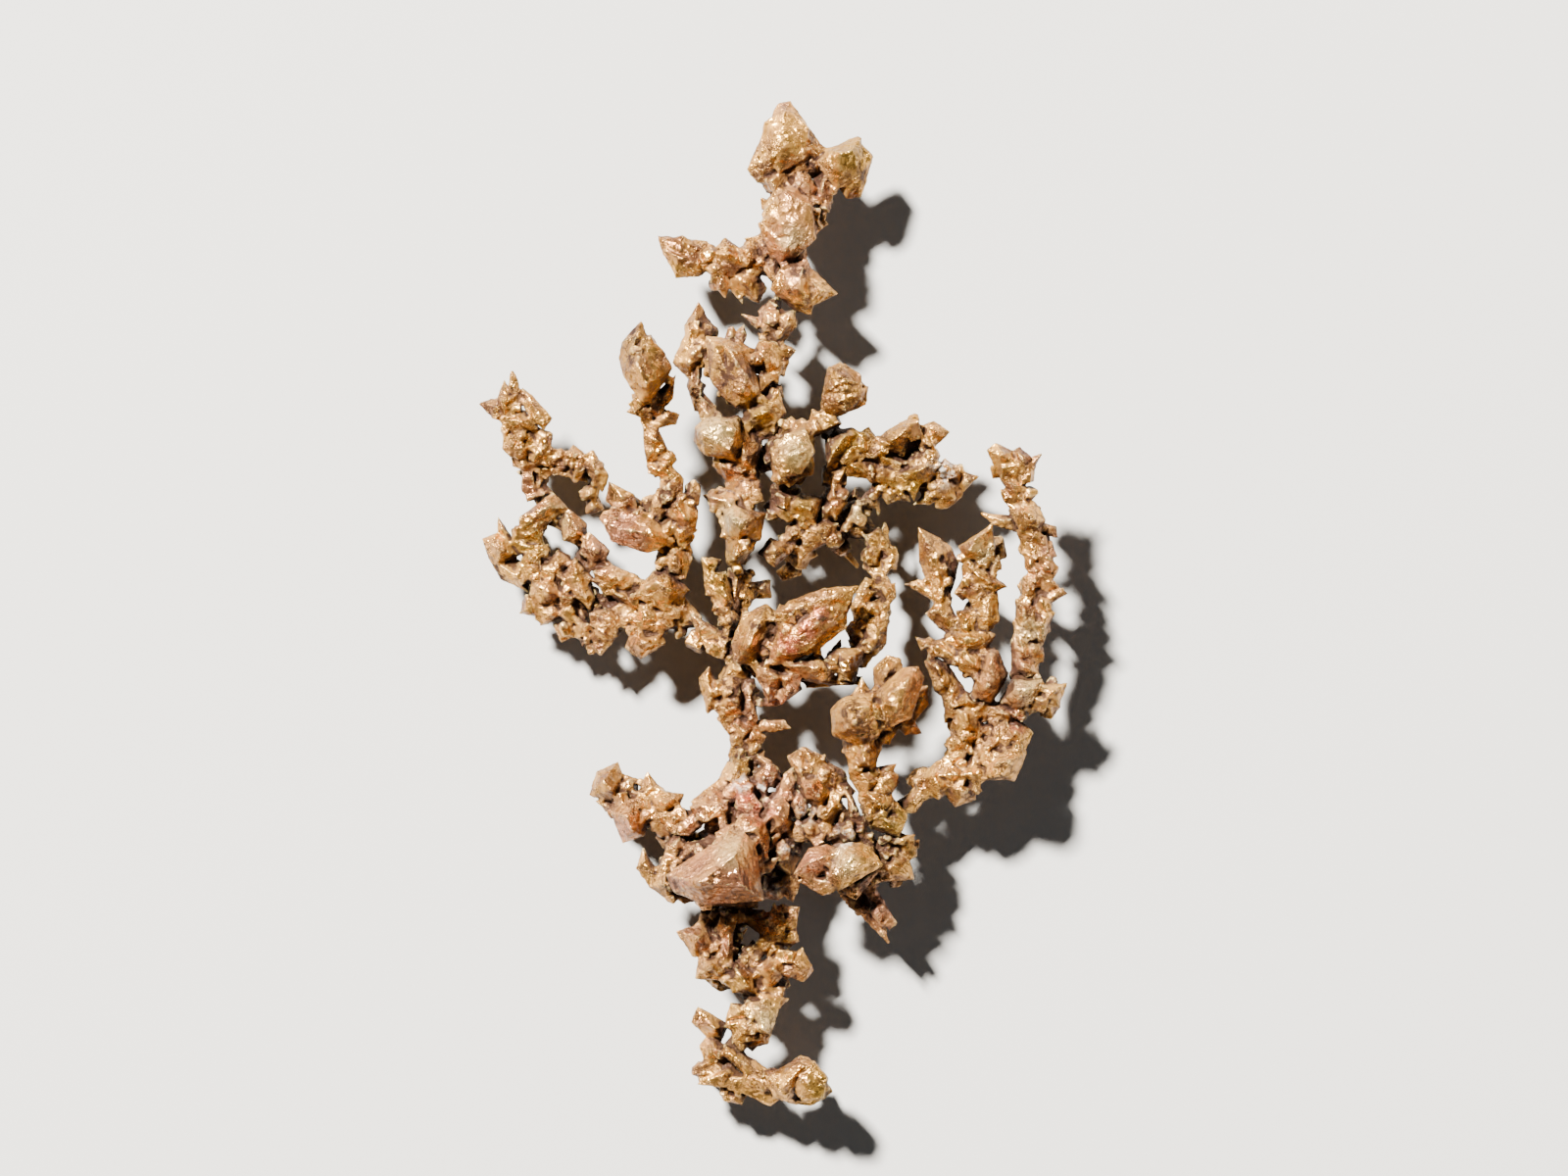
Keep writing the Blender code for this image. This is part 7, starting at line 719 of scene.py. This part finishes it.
def copper(context):
    """Patinated copper: tan faces, rubbed edges, tarnish and painted shade in the hollows
    and on the flanks, painted highlight spots and a few mineral tints.
    """
    material = bpy.data.materials.get("patinated_copper")
    if material:
        return material
    material = bpy.data.materials.new("patinated_copper")
    colours = context.scene.copper_colours
    n = Nodes(material)
    edge = n.mark("edge")
    seam = n.mark("seam")
    swell = n.mark("swell")
    tone = n.mark("tone")

    cloud = n.noise(0.35, 5.0, 0.6)
    patch = n.noise(0.16, 3.0, 0.5)
    blotch = n.noise(0.8, 6.0, 0.7)
    speck = n.noise(2.2, 4.0, 0.7)
    light = n.plus(n.times(n.ramp(cloud, 0.36, 0.64), 0.5), n.times(tone, 0.5))
    colour = n.tint(n.ramp(light, 0.2, 0.8), tuple(colours.tan), tuple(colours.gold))
    pinkish = n.plus(n.times(n.mark("pink"), 0.75), n.ramp(patch, 0.54, 0.70, 0.0, 0.45))
    colour = n.tint(n.ramp(pinkish, 0.0, 1.0, 0.0, 0.85), colour, tuple(colours.pink))
    olive = n.plus(n.times(n.mark("olive"), 0.8), n.ramp(patch, 0.44, 0.30, 0.0, 0.45))
    colour = n.tint(n.ramp(olive, 0.0, 1.0, 0.0, 0.85), colour, tuple(colours.olive))
    # Painted highlights: the pale spots take the rubbed metal colour.
    colour = n.tint(n.times(n.mark("pale"), 0.6), colour, tuple(colours.bare_and_highlight))
    stained = n.times(n.ramp(blotch, 0.44, 0.62), n.ramp(tone, 1.0, 0.0, 0.25, 0.85))
    colour = n.tint(stained, colour, tuple(colours.umber))
    pitted = n.times(n.ramp(speck, 0.56, 0.63), n.ramp(n.noise(0.5, 2.0), 0.48, 0.60))
    colour = n.tint(n.times(pitted, 0.8), colour, tuple(colours.brown))
    cracked = n.times(n.cracks(0.75, 0.10), n.ramp(n.noise(0.4, 3.0), 0.42, 0.60))
    colour = n.tint(n.times(cracked, 0.75), colour, tuple(colours.brown))
    grey = n.times(n.mark("grey"), n.ramp(n.noise(1.8, 3.0, 0.6), 0.42, 0.58))
    colour = n.tint(grey, colour, tuple(colours.grey))
    red = n.times(n.mark("red"), n.ramp(n.noise(1.1, 4.0, 0.6), 0.34, 0.60))
    colour = n.tint(n.ramp(red, 0.0, 0.8, 0.0, 0.62), colour, tuple(colours.red))
    # Painted shade, partly real tarnish: dark where crystals wall a point in and in broad
    # hollows and grooves; on the flanks it is painted shade only.
    hollow = n.plus(n.ramp(n.mark("close"), 0.05, 0.38, 0.0, 1.0),
                    n.plus(n.plus(n.ramp(swell, -0.05, -0.7, 0.0, 0.5),
                                  n.ramp(seam, -0.05, -0.6, 0.0, 0.75)),
                           n.ramp(n.mark("flank"), 0.05, 0.9, 0.0, 0.62)))
    # Painted shade: the dark spots darken the copper further at the given places.
    dark = n.times(n.times(n.mark("dark"), 1.5),
                   n.ramp(n.noise(1.3, 4.0, 0.65), 0.42, 0.54))
    hollow = n.ramp(n.plus(hollow, dark), 0.0, 1.0, 0.0, 0.97)
    colour = n.tint(hollow, colour, tuple(colours.brown))
    rubbed = n.times(n.ramp(edge, 0.3, 0.9), n.ramp(n.noise(0.9, 2.0), 0.40, 0.65))
    colour = n.tint(n.times(rubbed, 0.5), colour, tuple(colours.bare_and_highlight))
    n.put(colour, n.shader.inputs["Base Color"])

    dull = n.ramp(n.plus(hollow, n.plus(grey, n.times(stained, 0.4))), 0.0, 1.0)
    n.put(n.ramp(dull, 0.0, 1.0, 0.92, 0.2), n.shader.inputs["Metallic"])
    n.put(n.ramp(dull, 0.0, 1.0, 0.5, 0.1), n.shader.inputs["Specular IOR Level"])
    satin = n.plus(n.ramp(n.noise(0.8, 4.0, 0.6), 0.3, 0.7, 0.09, 0.28),
                   n.times(tone, 0.12))
    n.put(n.plus(satin, n.times(dull, 0.3)), n.shader.inputs["Roughness"])

    rough = n.ramp(n.noise(0.5, 2.0), 0.42, 0.58, 0.35, 1.15)
    relief = n.plus(n.times(n.noise(2.0, 2.0, 0.55), rough),
                    n.plus(n.plus(n.times(n.cells(1.5), 0.15), n.noise(0.9, 1.0)),
                           n.plus(n.times(pitted, -0.3), n.times(cracked, -0.3))))
    bump = n.add("ShaderNodeBump", {"Height": relief, "Strength": 1.0,
                                    "Distance": 0.26 * MM})
    n.put(bump.outputs["Normal"], n.shader.inputs["Normal"])
    return material


def plain_finish(name, colour, roughness):
    """One even colour."""
    material = bpy.data.materials.new(name)
    material.use_nodes = True
    shader = material.node_tree.nodes["Principled BSDF"]
    shader.inputs["Base Color"].default_value = colour
    shader.inputs["Roughness"].default_value = roughness
    return material


# ---------------------------------------------------------------- operators


class OBJECT_OT_copper_trunk(bpy.types.Operator):
    """Grow the surface of the trunk, from its hooked foot to its crown"""
    bl_idname = "object.copper_trunk"
    bl_label = "Trunk"

    def execute(self, context):
        for node in TRUNK:
            grow(context, node)
        return {"FINISHED"}


class OBJECT_OT_copper_left(bpy.types.Operator):
    """Grow the surface of the branches on the left"""
    bl_idname = "object.copper_left"
    bl_label = "Left Branches"

    def execute(self, context):
        for node in LEFT:
            grow(context, node)
        return {"FINISHED"}


class OBJECT_OT_copper_middle(bpy.types.Operator):
    """Grow the surface of the leaf-shaped crystal and the twigs round it"""
    bl_idname = "object.copper_middle"
    bl_label = "Leaf and Middle Twigs"

    def execute(self, context):
        for node in MIDDLE:
            grow(context, node)
        return {"FINISHED"}


class OBJECT_OT_copper_right(bpy.types.Operator):
    """Grow the surface of the branches on the right"""
    bl_idname = "object.copper_right"
    bl_label = "Right Branches"

    def execute(self, context):
        for node in RIGHT:
            grow(context, node)
        return {"FINISHED"}


class OBJECT_OT_copper_stage(bpy.types.Operator):
    """Lay the floor, the lights and the camera"""
    bl_idname = "object.copper_stage"
    bl_label = "Floor, Lights and Camera"

    def execute(self, context):
        scene = context.scene
        stage = scene.copper_stage
        bm = bmesh.new()
        bmesh.ops.create_grid(bm, x_segments=1, y_segments=1, size=FLOOR_SIZE)
        mesh = bpy.data.meshes.new("floor")
        bm.to_mesh(mesh)
        bm.free()
        mesh.materials.append(plain_finish("floor", tuple(stage.floor), FLOOR_ROUGHNESS))
        floor = bpy.data.objects.new("floor", mesh)
        scene.collection.objects.link(floor)

        world = bpy.data.worlds.new("soft_room")
        world.use_nodes = True
        background = world.node_tree.nodes["Background"]
        background.inputs["Color"].default_value = ROOM_COLOUR
        background.inputs["Strength"].default_value = ROOM_STRENGTH
        scene.world = world
        for name, (place, width, power, colour) in LIGHTS.items():
            area_light(scene, name, place, width, power, colour)

        data = bpy.data.cameras.new("camera")
        data.sensor_width = SENSOR_WIDTH
        data.clip_start = NEAREST
        data.lens = data.sensor_width * stage.distance / stage.view_width
        camera = bpy.data.objects.new("camera", data)
        camera.location = Vector(stage.view_centre) + Vector((0.0, 0.0, stage.distance))
        scene.collection.objects.link(camera)
        scene.camera = camera
        return {"FINISHED"}


def area_light(scene, name, place, width, power, colour):
    """A square soft light that faces the tree."""
    data = bpy.data.lights.new(name, "AREA")
    data.size = width
    data.energy = power
    data.color = colour
    light = bpy.data.objects.new(name, data)
    light.location = place
    light.rotation_euler = Vector(place).to_track_quat("Z", "Y").to_euler()
    scene.collection.objects.link(light)


class VIEW3D_PT_copper(bpy.types.Panel):
    """The specimen's settings and the steps that make it"""
    bl_idname = "VIEW3D_PT_copper"
    bl_label = "Native Copper Specimen"
    bl_space_type = "VIEW_3D"
    bl_region_type = "UI"
    bl_category = "Copper"

    def draw(self, context):
        layout = self.layout
        for group in GROUPS:
            settings = getattr(context.scene, group)
            box = layout.box()
            for name in settings.bl_rna.properties.keys():
                if name not in {"rna_type", "name"}:
                    box.prop(settings, name)
        for step in STEPS:
            layout.operator(step.bl_idname)


GROUPS = {"copper_sizes": CopperSizes, "copper_colours": CopperColours,
          "copper_stage": StageSettings}
STEPS = (OBJECT_OT_copper_trunk, OBJECT_OT_copper_left, OBJECT_OT_copper_middle,
         OBJECT_OT_copper_right, OBJECT_OT_copper_stage)
CLASSES = tuple(GROUPS.values()) + STEPS + (VIEW3D_PT_copper,)


def register():
    for cls in CLASSES:
        bpy.utils.register_class(cls)
    for name, group in GROUPS.items():
        setattr(bpy.types.Scene, name, bpy.props.PointerProperty(type=group))


def unregister():
    for name in GROUPS:
        delattr(bpy.types.Scene, name)
    for cls in reversed(CLASSES):
        bpy.utils.unregister_class(cls)


def main():
    register()
    bpy.ops.object.copper_trunk()
    bpy.ops.object.copper_left()
    bpy.ops.object.copper_middle()
    bpy.ops.object.copper_right()
    bpy.ops.object.copper_stage()


if __name__ == "__main__":
    main()
